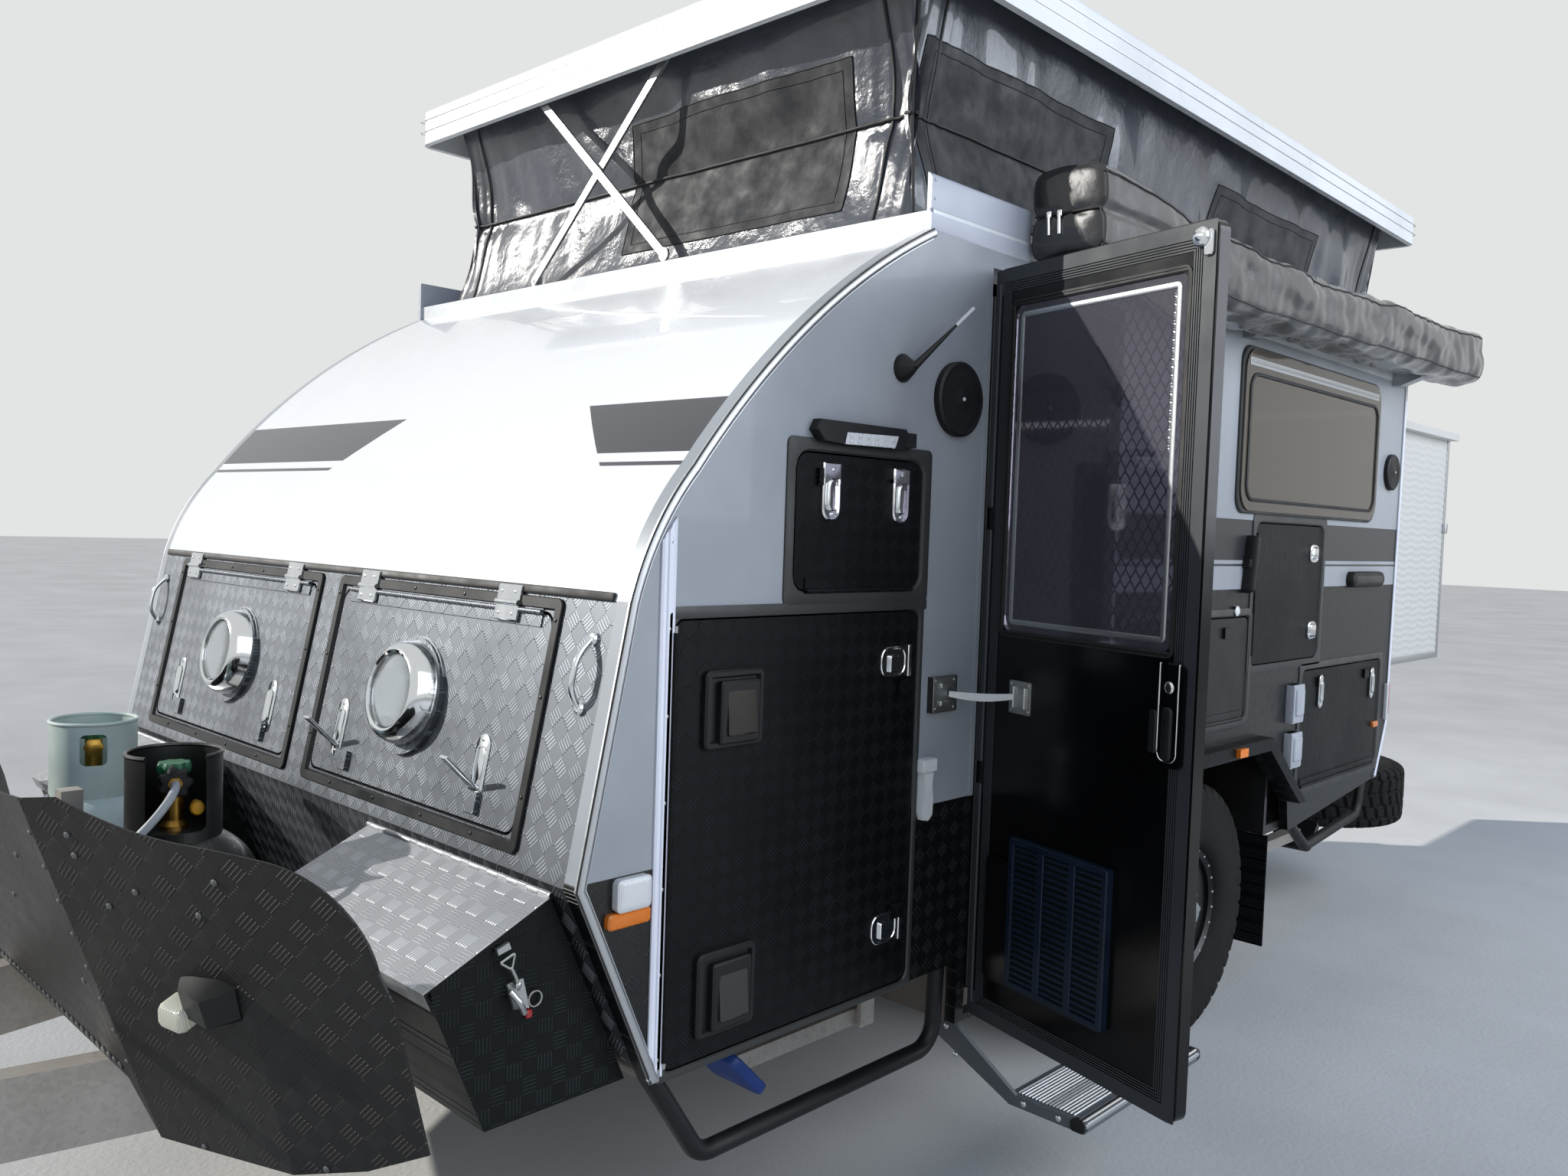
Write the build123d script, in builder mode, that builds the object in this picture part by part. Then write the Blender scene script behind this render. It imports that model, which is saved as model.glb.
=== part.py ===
from build123d import *
import math
import os

os.makedirs("parts", exist_ok=True)

# Frame. The origin is the mouth of the tow coupling's bore, on the centre line.
# +Y runs aft, +X is the kerb side with the entry door, +Z is up. Millimetres.
hitch_height = 430
nose_from_coupling = 1780


def up(height):
    """A height above the ground, given in the part's frame."""
    return height - hitch_height


def aft(distance):
    """A distance aft of the body's nose, given in the part's frame."""
    return distance + nose_from_coupling


# Clearances
panel_gap = 6
seat = 0.3

# Body shell
body_width = 2134
wall = 30
half = body_width / 2
inner_half = half - wall
body_top = up(2215)
body_bottom = up(560)
floor_top = body_bottom + wall
nose_height = 940
front_corner = (aft(175), body_bottom)
nose = (aft(0), up(nose_height))
brow_start = (aft(100), up(1424))
brow_mid = (aft(154), up(1556))
brow_end = (aft(235), up(1668))
crown_mid = (aft(528), up(1970))
crown_end = (aft(908), body_top)
rear_top = (aft(4080), body_top)
rear_kink = (aft(4055), up(845))
rear_corner = (aft(3958), up(640))
taper_start = (aft(3100), body_bottom)

# Front slope of the lower front panel
slope_angle = math.degrees(math.atan2(brow_start[1] - nose[1], brow_start[0] - nose[0]))
slope_normal = (0, -math.sin(math.radians(slope_angle)), math.cos(math.radians(slope_angle)))
front_slope = Plane(origin=(0, nose[0], nose[1]), x_dir=(1, 0, 0), z_dir=slope_normal)

# Wheels
wheel_y = aft(2399)
tyre_radius = 402
tyre_width = 265
tyre_outer_x = half - 20
rim_radius = 203
axle_radius = 30
wheel_x = tyre_outer_x - tyre_width / 2
axle_z = up(tyre_radius)

# Entry door and its doorway
door_width = 622
door_hinge_y = aft(1143)
door_bottom = up(432)
door_top = up(2165)
door_thick = 28
door_open_angle = 105.4
doorway_sill = door_bottom - panel_gap
door_post = 32

# Panels in the kerb side: name, fore edge, aft edge, bottom, top, hinge edge, corner radius
hinge_radius = 5
hinge_leaf = 3
hinge_leaf_reach = 24
fixed_leaf_reach = 14
fixed_leaf_gap = 4.8
panel_thick = 24
kerb_panels = (
    ("tall_boot_door", aft(208), aft(910), up(572), up(1388), "fore", 20),
    ("upper_hatch", aft(508), aft(905), up(1440), up(1708), "bottom", 30),
    ("picnic_table", aft(1850), aft(2650), up(1000), up(1322), "bottom", 25),
    ("side_locker_door", aft(2682), aft(3254), up(1165), up(1625), "fore", 30),
    ("rear_boot_door", aft(3135), aft(3935), up(705), up(1115), "bottom", 25),
)
latch_size = (46, 34, 9)

# Windows: fore edge, aft edge, bottom, top
main_window = (aft(2525), aft(3725), up(1678), up(2155))
galley_window = (aft(1250), aft(2150), up(1600), up(2060))
window_radius = 55

# Wheel arch, fore bottom to aft bottom, as seen from the side
arch_top = up(880)
arch_points = (
    (aft(1815), body_bottom - 60),
    (aft(1830), up(640)),
    (aft(2000), arch_top),
    (aft(2785), arch_top),
    (aft(3060), up(665)),
    (aft(3090), body_bottom - 60),
)
arch_inner_x = half - 347
arch_box_front = aft(1840)
arch_box_rear = aft(2960)
flare_out = 45
flare_width = 42

# Rear bed slide-out
slide_half = half - 117
slide_bottom = up(1050)
slide_top = up(2070)
slide_wall = 28
slide_rear = aft(5110)
slide_front = aft(4030)
slide_flange = 45

# Pop-top roof
roof_half = half - 12
roof_front = aft(885)
roof_rear = aft(4115)
roof_skirt_bottom = up(2780)
roof_underside = up(2865)
roof_top = up(2892)
roof_skirt = 20
rail_top = body_top + 40
canvas_half = half - 82
canvas_front = aft(947)
canvas_rear = aft(4053)
canvas_thick = 8
canvas_corner = 60

# Scissor lifts at the front and rear of the roof
lift_x = -440
lift_low_z = rail_top + 20
lift_high_z = up(2825)
lift_angle = 42
lift_bar = 24
lift_thick = 8
lift_pin = 5
lift_length = (lift_high_z - lift_low_z) / math.sin(math.radians(lift_angle))

# Chassis
rail_top_z = body_bottom
rail_height = 150
rail_width = 50
chassis_rail_x = 500
drawbar_tip_half = 70
drawbar_tip_y = 60

# Front toolboxes
box_inner_x = 400
box_outer_x = half - 47
box_sheet = 4
box_profile = (
    (aft(-12), up(922)),
    (aft(-235), up(820)),
    (aft(-225), up(776)),
    (aft(-133), up(560) + seat),
    (aft(158), up(560) + seat),
)

# Gas bottles
bottle_x = 235
bottle_y = aft(-335)
bottle_radius = 155
bottle_base = rail_top_z + 12
bottle_shoulder = up(935)
collar_radius = 86
collar_sheet = 4
collar_top = up(1088)
valve_z = up(1034)
valve_turn = -17
valve_reach = 46
valve_window = 52
bottle_post = 40
post_y = bottle_y - 135
regulator_z = up(870)
regulator_radius = 34
regulator_depth = 60
hose_port_y = post_y - regulator_depth / 2
hose_radius = 8

# Awning
awning_front = aft(1265)
awning_rear = aft(4360)
awning_x = half + 105
awning_z = up(2310)
awning_radius = 78
bag_head_length = 330
bag_head_sections = (
    (0, 130, 140, 50),
    (32, 186, 204, 64),
    (150, 190, 206, 70),
    (bag_head_length, 148, 148, 70),
)

# Jockey wheel
jockey_y = aft(-1180)
jockey_radius = 125
jockey_wheel_width = 75
jockey_tube = 30
jockey_inner = 24
jockey_trail = 45

# Corner steadies
steady_x = half - 267
steady_length = 430
steady_boss = 33 - seat
steady_z = up(375)
steady_front_y = aft(1060)
steady_rear_y = aft(3430)

# Folding step
step_front = aft(1130)
step_rear = aft(1690)
step_inner_x = half + 143
step_outer_x = half + 338
step_z = up(290)

# Spare wheel, lying flat under the rear bar's beam
spare_x = 600
spare_y = aft(4500)
spare_z = up(470)
rear_bar_y = aft(4030)
rear_bar_z = up(612)


def outline_face():
    """The body's side outline, with the sloped front, the brow and the crown as arcs."""
    with BuildSketch() as sketch:
        with BuildLine():
            Line(front_corner, nose)
            Line(nose, brow_start)
            ThreePointArc(brow_start, brow_mid, brow_end)
            ThreePointArc(brow_end, crown_mid, crown_end)
            Polyline(crown_end, rear_top, rear_kink, rear_corner, taper_start, front_corner)
        make_face()
    return sketch.sketch


def save(piece, name):
    """Label a finished piece and write its STEP file."""
    piece.part.label = name
    export_step(piece.part, f"parts/{name}.step")


def span(y0, y1, z0, z1, x0, x1):
    """A box given by its limits, as an object outside any builder."""
    size = (x1 - x0, y1 - y0, z1 - z0)
    return Pos((x0 + x1) / 2, (y0 + y1) / 2, (z0 + z1) / 2) * Box(*size, mode=Mode.PRIVATE)


# Body shell between the side walls: one ring, cut into its real panels
with BuildPart() as shell_ring:
    with BuildSketch(Plane.YZ.offset(-inner_half)):
        add(outline_face())
        offset(amount=-wall, mode=Mode.SUBTRACT)
    extrude(amount=2 * inner_half)

lid_half_inner = 66
lid_half_outer = half - 198
lid_low = 52
lid_high = 462
floor_cut_y = aft(225)
rear_cut_y = aft(3940)

with BuildPart() as front_upper_skin:
    add(shell_ring.part)
    add(span(aft(-50), crown_end[0], brow_start[1], body_top + 10, -half, half), mode=Mode.INTERSECT)
save(front_upper_skin, "front_upper_skin")

with BuildPart() as front_lower_panel:
    add(shell_ring.part)
    add(span(aft(-50), floor_cut_y, floor_top, brow_start[1], -half, half), mode=Mode.INTERSECT)
    with BuildSketch(front_slope):
        for side in (-1, 1):
            with Locations((side * (lid_half_inner + lid_half_outer) / 2, (lid_low + lid_high) / 2)):
                RectangleRounded(lid_half_outer - lid_half_inner, lid_high - lid_low, 30)
    extrude(amount=-2 * wall, mode=Mode.SUBTRACT)
    with BuildSketch(front_slope):
        for side in (-1, 1):
            with Locations((side * (lid_half_inner + lid_half_outer) / 2,
                            lid_high - panel_gap / 2 + fixed_leaf_gap + fixed_leaf_reach / 2)):
                Rectangle(lid_half_outer - lid_half_inner - 72, fixed_leaf_reach)
    extrude(amount=hinge_leaf)
save(front_lower_panel, "front_lower_panel")

step_well_inner = half - 317
step_well_front = door_hinge_y - door_post
step_well_rear = door_hinge_y + door_width + 2 * panel_gap + door_post
with BuildPart() as body_floor:
    add(shell_ring.part)
    add(span(front_corner[0], rear_cut_y, body_bottom - 5, up(700), -half, half), mode=Mode.INTERSECT)
    add(span(aft(170), floor_cut_y, floor_top, up(700), -half, half), mode=Mode.SUBTRACT)
    for side in (-1, 1):
        arch_x = sorted((side * (arch_inner_x - wall), side * inner_half))
        add(span(arch_box_front, arch_box_rear, body_bottom - 5, up(700), *arch_x), mode=Mode.SUBTRACT)
        with BuildSketch(Plane.YZ.offset(arch_x[0])):
            with Locations(((arch_box_front + arch_box_rear) / 2, (body_bottom + arch_top + 25) / 2)):
                Rectangle(arch_box_rear - arch_box_front, arch_top + 25 - body_bottom)
        extrude(amount=arch_x[1] - arch_x[0])
        hollow_x = sorted((side * arch_inner_x, side * inner_half))
        add(
            span(arch_box_front + 20, arch_box_rear - 20, body_bottom - 5, arch_top + 5, *hollow_x),
            mode=Mode.SUBTRACT,
        )
    add(span(step_well_front, step_well_rear, doorway_sill - 15, floor_top, step_well_inner, inner_half))
    add(
        span(step_well_front + 15, step_well_rear - 15, doorway_sill, floor_top + 1,
             step_well_inner + 15, inner_half + 1),
        mode=Mode.SUBTRACT,
    )
save(body_floor, "body_floor")

slide_clear = 10
slide_opening_half = slide_half + slide_flange + slide_clear
with BuildPart() as rear_wall:
    add(shell_ring.part)
    add(span(rear_cut_y, aft(4200), body_bottom, body_top - wall, -half, half), mode=Mode.INTERSECT)
    add(
        span(aft(3980), aft(4200), slide_bottom - slide_clear, slide_top + slide_flange + slide_clear,
             -slide_opening_half, slide_opening_half),
        mode=Mode.SUBTRACT,
    )
    for side in (-1, 1):
        add(span(slide_front, aft(4058), slide_bottom - slide_clear - 1, slide_bottom - seat,
                 *sorted((side * 600, side * 700))))
save(rear_wall, "rear_wall")


def arch_cut(side):
    """The wheel arch's outline, pushed through one side wall."""
    with BuildPart() as cut:
        with BuildSketch(Plane.YZ.offset(side * (half + 1) if side < 0 else inner_half - 1)):
            with BuildLine():
                Polyline(*arch_points, close=True)
            make_face()
        extrude(amount=wall + 2)
    return cut.part


def window_cut(window, side):
    """A rounded window opening through one side wall."""
    fore, rear, low, high = window
    with BuildPart() as cut:
        with BuildSketch(Plane.YZ.offset(side * (half + 1) if side < 0 else inner_half - 1)):
            with Locations(((fore + rear) / 2, (low + high) / 2)):
                RectangleRounded(rear - fore, high - low, window_radius)
        extrude(amount=wall + 2)
    return cut.part


with BuildPart() as kerb_side_wall:
    with BuildSketch(Plane.YZ.offset(inner_half)):
        add(outline_face())
        with Locations(((step_well_front + step_well_rear) / 2, (doorway_sill - 15 + body_top) / 2)):
            Rectangle(step_well_rear - step_well_front, body_top - doorway_sill + 15)
    extrude(amount=wall)
    with BuildSketch(Plane.YZ.offset(inner_half)):
        for name, fore, rear, low, high, hinge_edge, radius in kerb_panels:
            with Locations(((fore + rear) / 2, (low + high) / 2)):
                RectangleRounded(rear - fore + 2 * panel_gap, high - low + 2 * panel_gap, radius + panel_gap)
        with Locations((door_hinge_y + door_width / 2 + panel_gap, (doorway_sill + door_top + panel_gap) / 2)):
            Rectangle(door_width + 2 * panel_gap, door_top + panel_gap - doorway_sill)
    extrude(amount=wall, mode=Mode.SUBTRACT)
    add(arch_cut(1), mode=Mode.SUBTRACT)
    add(window_cut(main_window, 1), mode=Mode.SUBTRACT)
    for name, fore, rear, low, high, hinge_edge, radius in kerb_panels:
        if hinge_edge == "fore":
            leaf_edge = fore - panel_gap / 2 - fixed_leaf_gap
            add(span(leaf_edge - fixed_leaf_reach, leaf_edge, low + radius, high - radius,
                     half, half + hinge_leaf))
        else:
            leaf_edge = low - panel_gap / 2 - fixed_leaf_gap
            add(span(fore + radius, rear - radius, leaf_edge - fixed_leaf_reach, leaf_edge,
                     half, half + hinge_leaf))
    leaf_edge = door_hinge_y + panel_gap / 2 - fixed_leaf_gap
    add(span(leaf_edge - fixed_leaf_reach, leaf_edge, door_bottom + 60, door_top - 60,
             half, half + hinge_leaf))
save(kerb_side_wall, "kerb_side_wall")

with BuildPart() as off_side_wall:
    with BuildSketch(Plane.YZ.offset(-half)):
        add(outline_face())
    extrude(amount=wall)
    add(arch_cut(-1), mode=Mode.SUBTRACT)
    add(window_cut(main_window, -1), mode=Mode.SUBTRACT)
    add(window_cut(galley_window, -1), mode=Mode.SUBTRACT)
save(off_side_wall, "off_side_wall")

# Top rail, which carries the roof and the canvas
rail_inner_x = half - 142
rail_inner_front = aft(1010)
rail_inner_rear = aft(3990)
with BuildPart() as top_rail:
    add(shell_ring.part)
    add(span(crown_end[0], aft(4200), body_top - wall, body_top, -half, half), mode=Mode.INTERSECT)
    add(span(crown_end[0], rear_top[0], body_top, rail_top, -half, half))
    add(
        span(rail_inner_front, rail_inner_rear, body_top - wall - 5, rail_top + 5,
             -rail_inner_x, rail_inner_x),
        mode=Mode.SUBTRACT,
    )
save(top_rail, "top_rail")

# Brackets with pins for the scissor lifts, on the top rail
with BuildPart() as lift_brackets:
    for y0, y1 in ((canvas_front - 13, canvas_front - 5), (canvas_rear + 5, canvas_rear + 13)):
        add(span(y0, y1, rail_top + seat, lift_low_z + 14, lift_x - 20, lift_x + 20))
    for y0, y1 in ((canvas_front - 25, canvas_front - 13), (canvas_rear + 13, canvas_rear + 25)):
        with BuildSketch(Plane(origin=(lift_x, y0, lift_low_z), z_dir=(0, 1, 0))):
            Circle(lift_pin)
        extrude(amount=y1 - y0)
save(lift_brackets, "lift_brackets")

# Edge mouldings along the front and rear corners of the side walls
trim_out = 4
trim_width = 22
with BuildPart() as edge_trims:
    for side in (-1, 1):
        x0 = half if side > 0 else -half - trim_out
        with BuildSketch(Plane.YZ.offset(x0)):
            add(outline_face())
            offset(amount=-trim_width, mode=Mode.SUBTRACT)
        extrude(amount=trim_out)
    add(span(aft(196), aft(3935), body_bottom - 50, up(700), -half - 9, half + 9), mode=Mode.SUBTRACT)
    add(span(crown_end[0], aft(4055), body_top - 60, body_top + 9, -half - 9, half + 9), mode=Mode.SUBTRACT)
save(edge_trims, "edge_trims")

# Fit-out seen through the doorway and the windows
bulkhead_y = aft(935)
bench_top = up(1480)
bench_x = 507 - half
bed_base_half = half - 467
board = 18
with BuildPart() as cabin_fitout:
    add(span(bulkhead_y, bulkhead_y + board, floor_top + seat, up(2150), -inner_half + 1, inner_half - 1))
    add(span(aft(235), bulkhead_y, up(1402), up(1402) + board, -inner_half + 1, inner_half - 1))
    add(span(bulkhead_y + board, arch_box_front - 5, floor_top + seat, bench_top, -inner_half + 1, bench_x))
    add(
        span(bulkhead_y + 2 * board, arch_box_front - 5 - board, floor_top,
             bench_top - board, -inner_half + 1 + board, bench_x - board),
        mode=Mode.SUBTRACT,
    )
    with BuildSketch(Plane.YZ.offset(-bed_base_half)):
        with BuildLine():
            Polyline(
                (aft(3000), floor_top + seat), (taper_start[0], floor_top + seat),
                (aft(3925), up(672)), (aft(3925), slide_bottom - seat), (aft(3000), slide_bottom - seat),
                close=True,
            )
        make_face()
        offset(amount=-board, mode=Mode.SUBTRACT)
    extrude(amount=2 * bed_base_half)
save(cabin_fitout, "cabin_fitout")

# Side windows, tinted panes in framed openings
with BuildPart() as cabin_windows:
    for side, window in ((1, main_window), (-1, main_window), (-1, galley_window)):
        fore, rear, low, high = window
        x0 = half - 12 if side > 0 else -half - 16
        with BuildSketch(Plane.YZ.offset(x0)):
            with Locations(((fore + rear) / 2, (low + high) / 2)):
                RectangleRounded(rear - fore - 2 * seat, high - low - 2 * seat, window_radius - seat)
        extrude(amount=28)
        with BuildSketch(Plane.YZ.offset(half if side > 0 else -half - 16)):
            with Locations(((fore + rear) / 2, (low + high) / 2)):
                RectangleRounded(rear - fore + 30, high - low + 30, window_radius + 15)
                RectangleRounded(rear - fore - 40, high - low - 40, window_radius - 20, mode=Mode.SUBTRACT)
        extrude(amount=16)
save(cabin_windows, "cabin_windows")

# Chassis: main rails, drawbar, cross members and the rear bar with the spare wheel's beam
rail_bottom_z = rail_top_z - rail_height
drawbar_root_y = aft(250)


def rail_inner(y):
    """Half the clear width between the drawbar's or the chassis's rails at a place along them."""
    if y >= drawbar_root_y:
        return chassis_rail_x - rail_width
    share = (y - drawbar_tip_y) / (drawbar_root_y - drawbar_tip_y)
    return drawbar_tip_half - rail_width + share * (chassis_rail_x - drawbar_tip_half)


spare_hub_top = spare_z + tyre_width / 2 - 62 - 24 + 66
with BuildPart() as chassis_frame:
    with BuildSketch(Plane.XY.offset(rail_bottom_z)):
        for side in (-1, 1):
            with BuildLine():
                Polyline(
                    (side * (drawbar_tip_half), drawbar_tip_y),
                    (side * (drawbar_tip_half - rail_width), drawbar_tip_y),
                    (side * (chassis_rail_x - rail_width), drawbar_root_y),
                    (side * (chassis_rail_x - rail_width), rear_bar_y + 50),
                    (side * chassis_rail_x, rear_bar_y + 50),
                    (side * chassis_rail_x, drawbar_root_y),
                    close=True,
                )
            make_face()
        for cross_y in (drawbar_tip_y, 320, 1500, aft(0), aft(600), aft(2640), aft(3400), aft(3850)):
            with Locations((0, cross_y + 25)):
                Rectangle(2 * rail_inner(cross_y) + 40, 50)
    extrude(amount=rail_height)
    for cross_y in (steady_front_y, steady_rear_y):
        add(span(cross_y - 25, cross_y + 25, rail_top_z - 110, rail_top_z - 10,
                 -steady_x - 45, steady_x + 45))
    for side in (-1, 1):
        for cross_y in (steady_front_y, steady_rear_y):
            for inner in (-45, 33):
                x0 = side * steady_x + inner
                add(span(cross_y - 25, cross_y + 25, steady_z - 22, rail_top_z - 100, x0, x0 + 12))
    for side in (-1, 1):
        x0, x1 = sorted((side * (chassis_rail_x - rail_width), side * chassis_rail_x))
        add(span(rear_bar_y, rear_bar_y + 50, rail_top_z - 20, rear_bar_z + 50, x0, x1))
    add(span(rear_bar_y, rear_bar_y + 50, rear_bar_z, rear_bar_z + 50, -760, 1000))
    add(span(rear_bar_y + 20, spare_y + 40, rear_bar_z, rear_bar_z + 50, spare_x - 30, spare_x + 30))
    with BuildSketch(Plane.XY.offset(spare_hub_top + seat)):
        with Locations((spare_x, spare_y)):
            Circle(70)
    extrude(amount=rear_bar_z - spare_hub_top)
save(chassis_frame, "chassis_frame")

# Tow coupling: a head with an upright bore, bolted on the drawbar's tip
coupling_radius = 46
bore_radius = 18
bore_depth = 70
with BuildPart() as coupling:
    with BuildSketch(Plane.XY):
        Circle(coupling_radius)
    extrude(amount=110)
    add(span(0, drawbar_tip_y - seat, 20, 90, -38, 38))
    with BuildSketch(Plane.XY):
        Circle(bore_radius)
    extrude(amount=bore_depth, mode=Mode.SUBTRACT)
    add(span(-20, 30, 110, 150, -9, 9))
save(coupling, "tow_coupling")

# Trailing arms with stub axles and springs
arm_pivot_y = wheel_y - 420
arm_pivot_z = rail_bottom_z - 45 - seat
arm_outer_x = wheel_x - 224.5
arm_inner_x = arm_outer_x - 90
with BuildPart() as axle_arms:
    add(span(arm_pivot_y - 45, arm_pivot_y + 45, arm_pivot_z - 45, arm_pivot_z + 45, -arm_inner_x - 40, arm_inner_x + 40))
    for side in (-1, 1):
        x0, x1 = sorted((side * arm_inner_x, side * arm_outer_x))
        with BuildSketch(Plane.YZ.offset(x0)):
            with BuildLine():
                Polyline(
                    (arm_pivot_y - 45, arm_pivot_z - 45), (arm_pivot_y - 45, arm_pivot_z + 45),
                    (wheel_y - 60, axle_z + 60), (wheel_y + 60, axle_z + 60),
                    (wheel_y + 60, axle_z - 60), (wheel_y - 60, axle_z - 60),
                    close=True,
                )
            make_face()
        extrude(amount=x1 - x0)
        with BuildSketch(Plane.YZ.offset(side * (arm_outer_x - 10))):
            with Locations((wheel_y, axle_z)):
                Circle(axle_radius)
        extrude(amount=side * (wheel_x + 70 - arm_outer_x))
        with BuildSketch(Plane.YZ.offset(side * arm_outer_x)):
            with Locations((wheel_y, axle_z)):
                Circle(150)
        extrude(amount=side * 30)
        with BuildSketch(Plane.XY.offset(axle_z + 55)):
            with Locations((side * (arm_outer_x - 45), wheel_y - 130)):
                Circle(48)
        extrude(amount=body_bottom - seat - axle_z - 55)
        add(span(arm_pivot_y - 45, arm_pivot_y + 45, arm_pivot_z + 40, body_bottom - seat,
                 *sorted((side * (arm_inner_x - 80), side * arm_inner_x))))
save(axle_arms, "suspension_arms")


def tyre_part(name, location_plane):
    """An off-road tyre as a revolved section with a rounded tread shoulder."""
    w = tyre_width / 2
    with BuildPart() as tyre:
        with BuildSketch(location_plane) as section:
            with BuildLine():
                Line((rim_radius + seat, -w + 25), (rim_radius + 40, -w + 6))
                ThreePointArc((rim_radius + 40, -w + 6), (rim_radius + 95, -w), (tyre_radius - 45, -w + 7))
                Line((tyre_radius - 45, -w + 7), (tyre_radius - 12, -w + 14))
                ThreePointArc((tyre_radius - 12, -w + 14), (tyre_radius, 0), (tyre_radius - 12, w - 14))
                Line((tyre_radius - 12, w - 14), (tyre_radius - 45, w - 7))
                ThreePointArc((tyre_radius - 45, w - 7), (rim_radius + 95, w), (rim_radius + 40, w - 6))
                Line((rim_radius + 40, w - 6), (rim_radius + seat, w - 25))
                Line((rim_radius + seat, w - 25), (rim_radius + seat, -w + 25))
            make_face()
        revolve(axis=Axis(location_plane.origin, location_plane.y_dir))
    save(tyre, name)


def rim_part(name, location_plane, bore):
    """A wheel: a rim barrel with lips, a spoked face and a hub cap."""
    w = tyre_width / 2
    face_at = w - 62
    with BuildPart() as rim:
        with BuildSketch(location_plane):
            with BuildLine():
                Polyline(
                    (rim_radius, -w + 27), (rim_radius, w - 27), (rim_radius - 9, w - 22),
                    (rim_radius - 22, w - 32), (rim_radius - 22, -w + 32), (rim_radius - 9, -w + 22),
                    close=True,
                )
            make_face()
        revolve(axis=Axis(location_plane.origin, location_plane.y_dir))
        face_plane = Plane(
            origin=location_plane.origin + location_plane.y_dir * face_at,
            x_dir=location_plane.x_dir, z_dir=location_plane.y_dir,
        )
        with BuildSketch(face_plane):
            Circle(rim_radius - 21)
            with PolarLocations((rim_radius + 62) / 2, 8, start_angle=22.5):
                SlotOverall(74, 40)
        extrude(amount=18)
        with BuildSketch(face_plane.offset(-24)):
            Circle(78)
        extrude(amount=66)
        if bore:
            with BuildSketch(face_plane.offset(-26)):
                Circle(axle_radius + seat)
            extrude(amount=50, mode=Mode.SUBTRACT)
    save(rim, name)


for side, word in ((1, "kerb"), (-1, "off")):
    wheel_plane = Plane(origin=(side * wheel_x, wheel_y, axle_z), x_dir=(0, 0, 1), z_dir=(0, side, 0))
    tyre_part(f"{word}_tyre", wheel_plane)
    rim_part(f"{word}_rim", wheel_plane, True)

spare_plane = Plane(origin=(spare_x, spare_y, spare_z), x_dir=(1, 0, 0), z_dir=(0, -1, 0))
tyre_part("spare_tyre", spare_plane)
rim_part("spare_rim", spare_plane, False)

# Mudguard flares and mud flaps
with BuildPart() as mudguards:
    for side in (-1, 1):
        with BuildSketch(Plane.YZ.offset(half if side > 0 else -half - flare_out)):
            with BuildLine():
                Polyline(*arch_points[1:5], close=False)
                Polyline(
                    arch_points[4],
                    (arch_points[4][0] + flare_width + 14, arch_points[4][1]),
                    (arch_points[3][0] + 18, arch_top + flare_width),
                    (arch_points[2][0] - 24, arch_top + flare_width),
                    (arch_points[1][0] - flare_width, arch_points[1][1]),
                    arch_points[1],
                )
            make_face()
        extrude(amount=flare_out)
        flap_x = sorted((side * (half - 297), side * (half - 12)))
        add(span(aft(2935), aft(2941), up(175), body_bottom - seat, *flap_x))
save(mudguards, "mudguards")

# Round side rails below the body
side_rail_radius = 19
with BuildPart() as side_rails:
    for side in (-1, 1):
        rail_x = side * (half - 32)
        for points in (
            ((aft(180), body_bottom + 30), (aft(330), up(365)), (aft(1065), up(365)),
             (aft(1075), body_bottom + 30)),
            ((aft(3090), body_bottom + 60), (aft(3330), up(455)), (aft(3860), up(500)),
             (aft(3900), body_bottom + 120)),
        ):
            with BuildLine(Plane.YZ.offset(rail_x)) as path:
                FilletPolyline(*points, radius=60)
            with BuildSketch(Plane(origin=path.line @ 0, z_dir=path.line % 0)):
                Circle(side_rail_radius)
            sweep(path=path.line)
    with BuildSketch(Plane.YZ.offset(-half)):
        with BuildLine():
            Polyline(
                (aft(100), body_bottom - seat), (taper_start[0], taper_start[1] - seat),
                (rear_corner[0], rear_corner[1] - seat), (rear_corner[0] + 50, body_bottom + 300),
                (aft(100), body_bottom + 300),
                close=True,
            )
        make_face()
    extrude(amount=body_width, mode=Mode.SUBTRACT)
save(side_rails, "side_rails")

# Stone guard: a prow of flat sheets with a waved top edge
guard_sheet = 4
guard_top = up(1110)
guard_low = up(440)
# Folds from the centre outwards: x, y at the top level, y at the low level
guard_plan = (
    (500, aft(-673), aft(-438)),
    (800, aft(-512), aft(-337)),
    (half - 7, aft(-368), aft(-214)),
)


def guard_outline(column):
    """The guard's plan at one level, as a closed strip, from its table column."""
    outer = [(row[0], row[column]) for row in guard_plan]
    front = [(-x, y) for x, y in outer[::-1]] + outer
    return front + [(x, y + guard_sheet) for x, y in front[::-1]]


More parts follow.
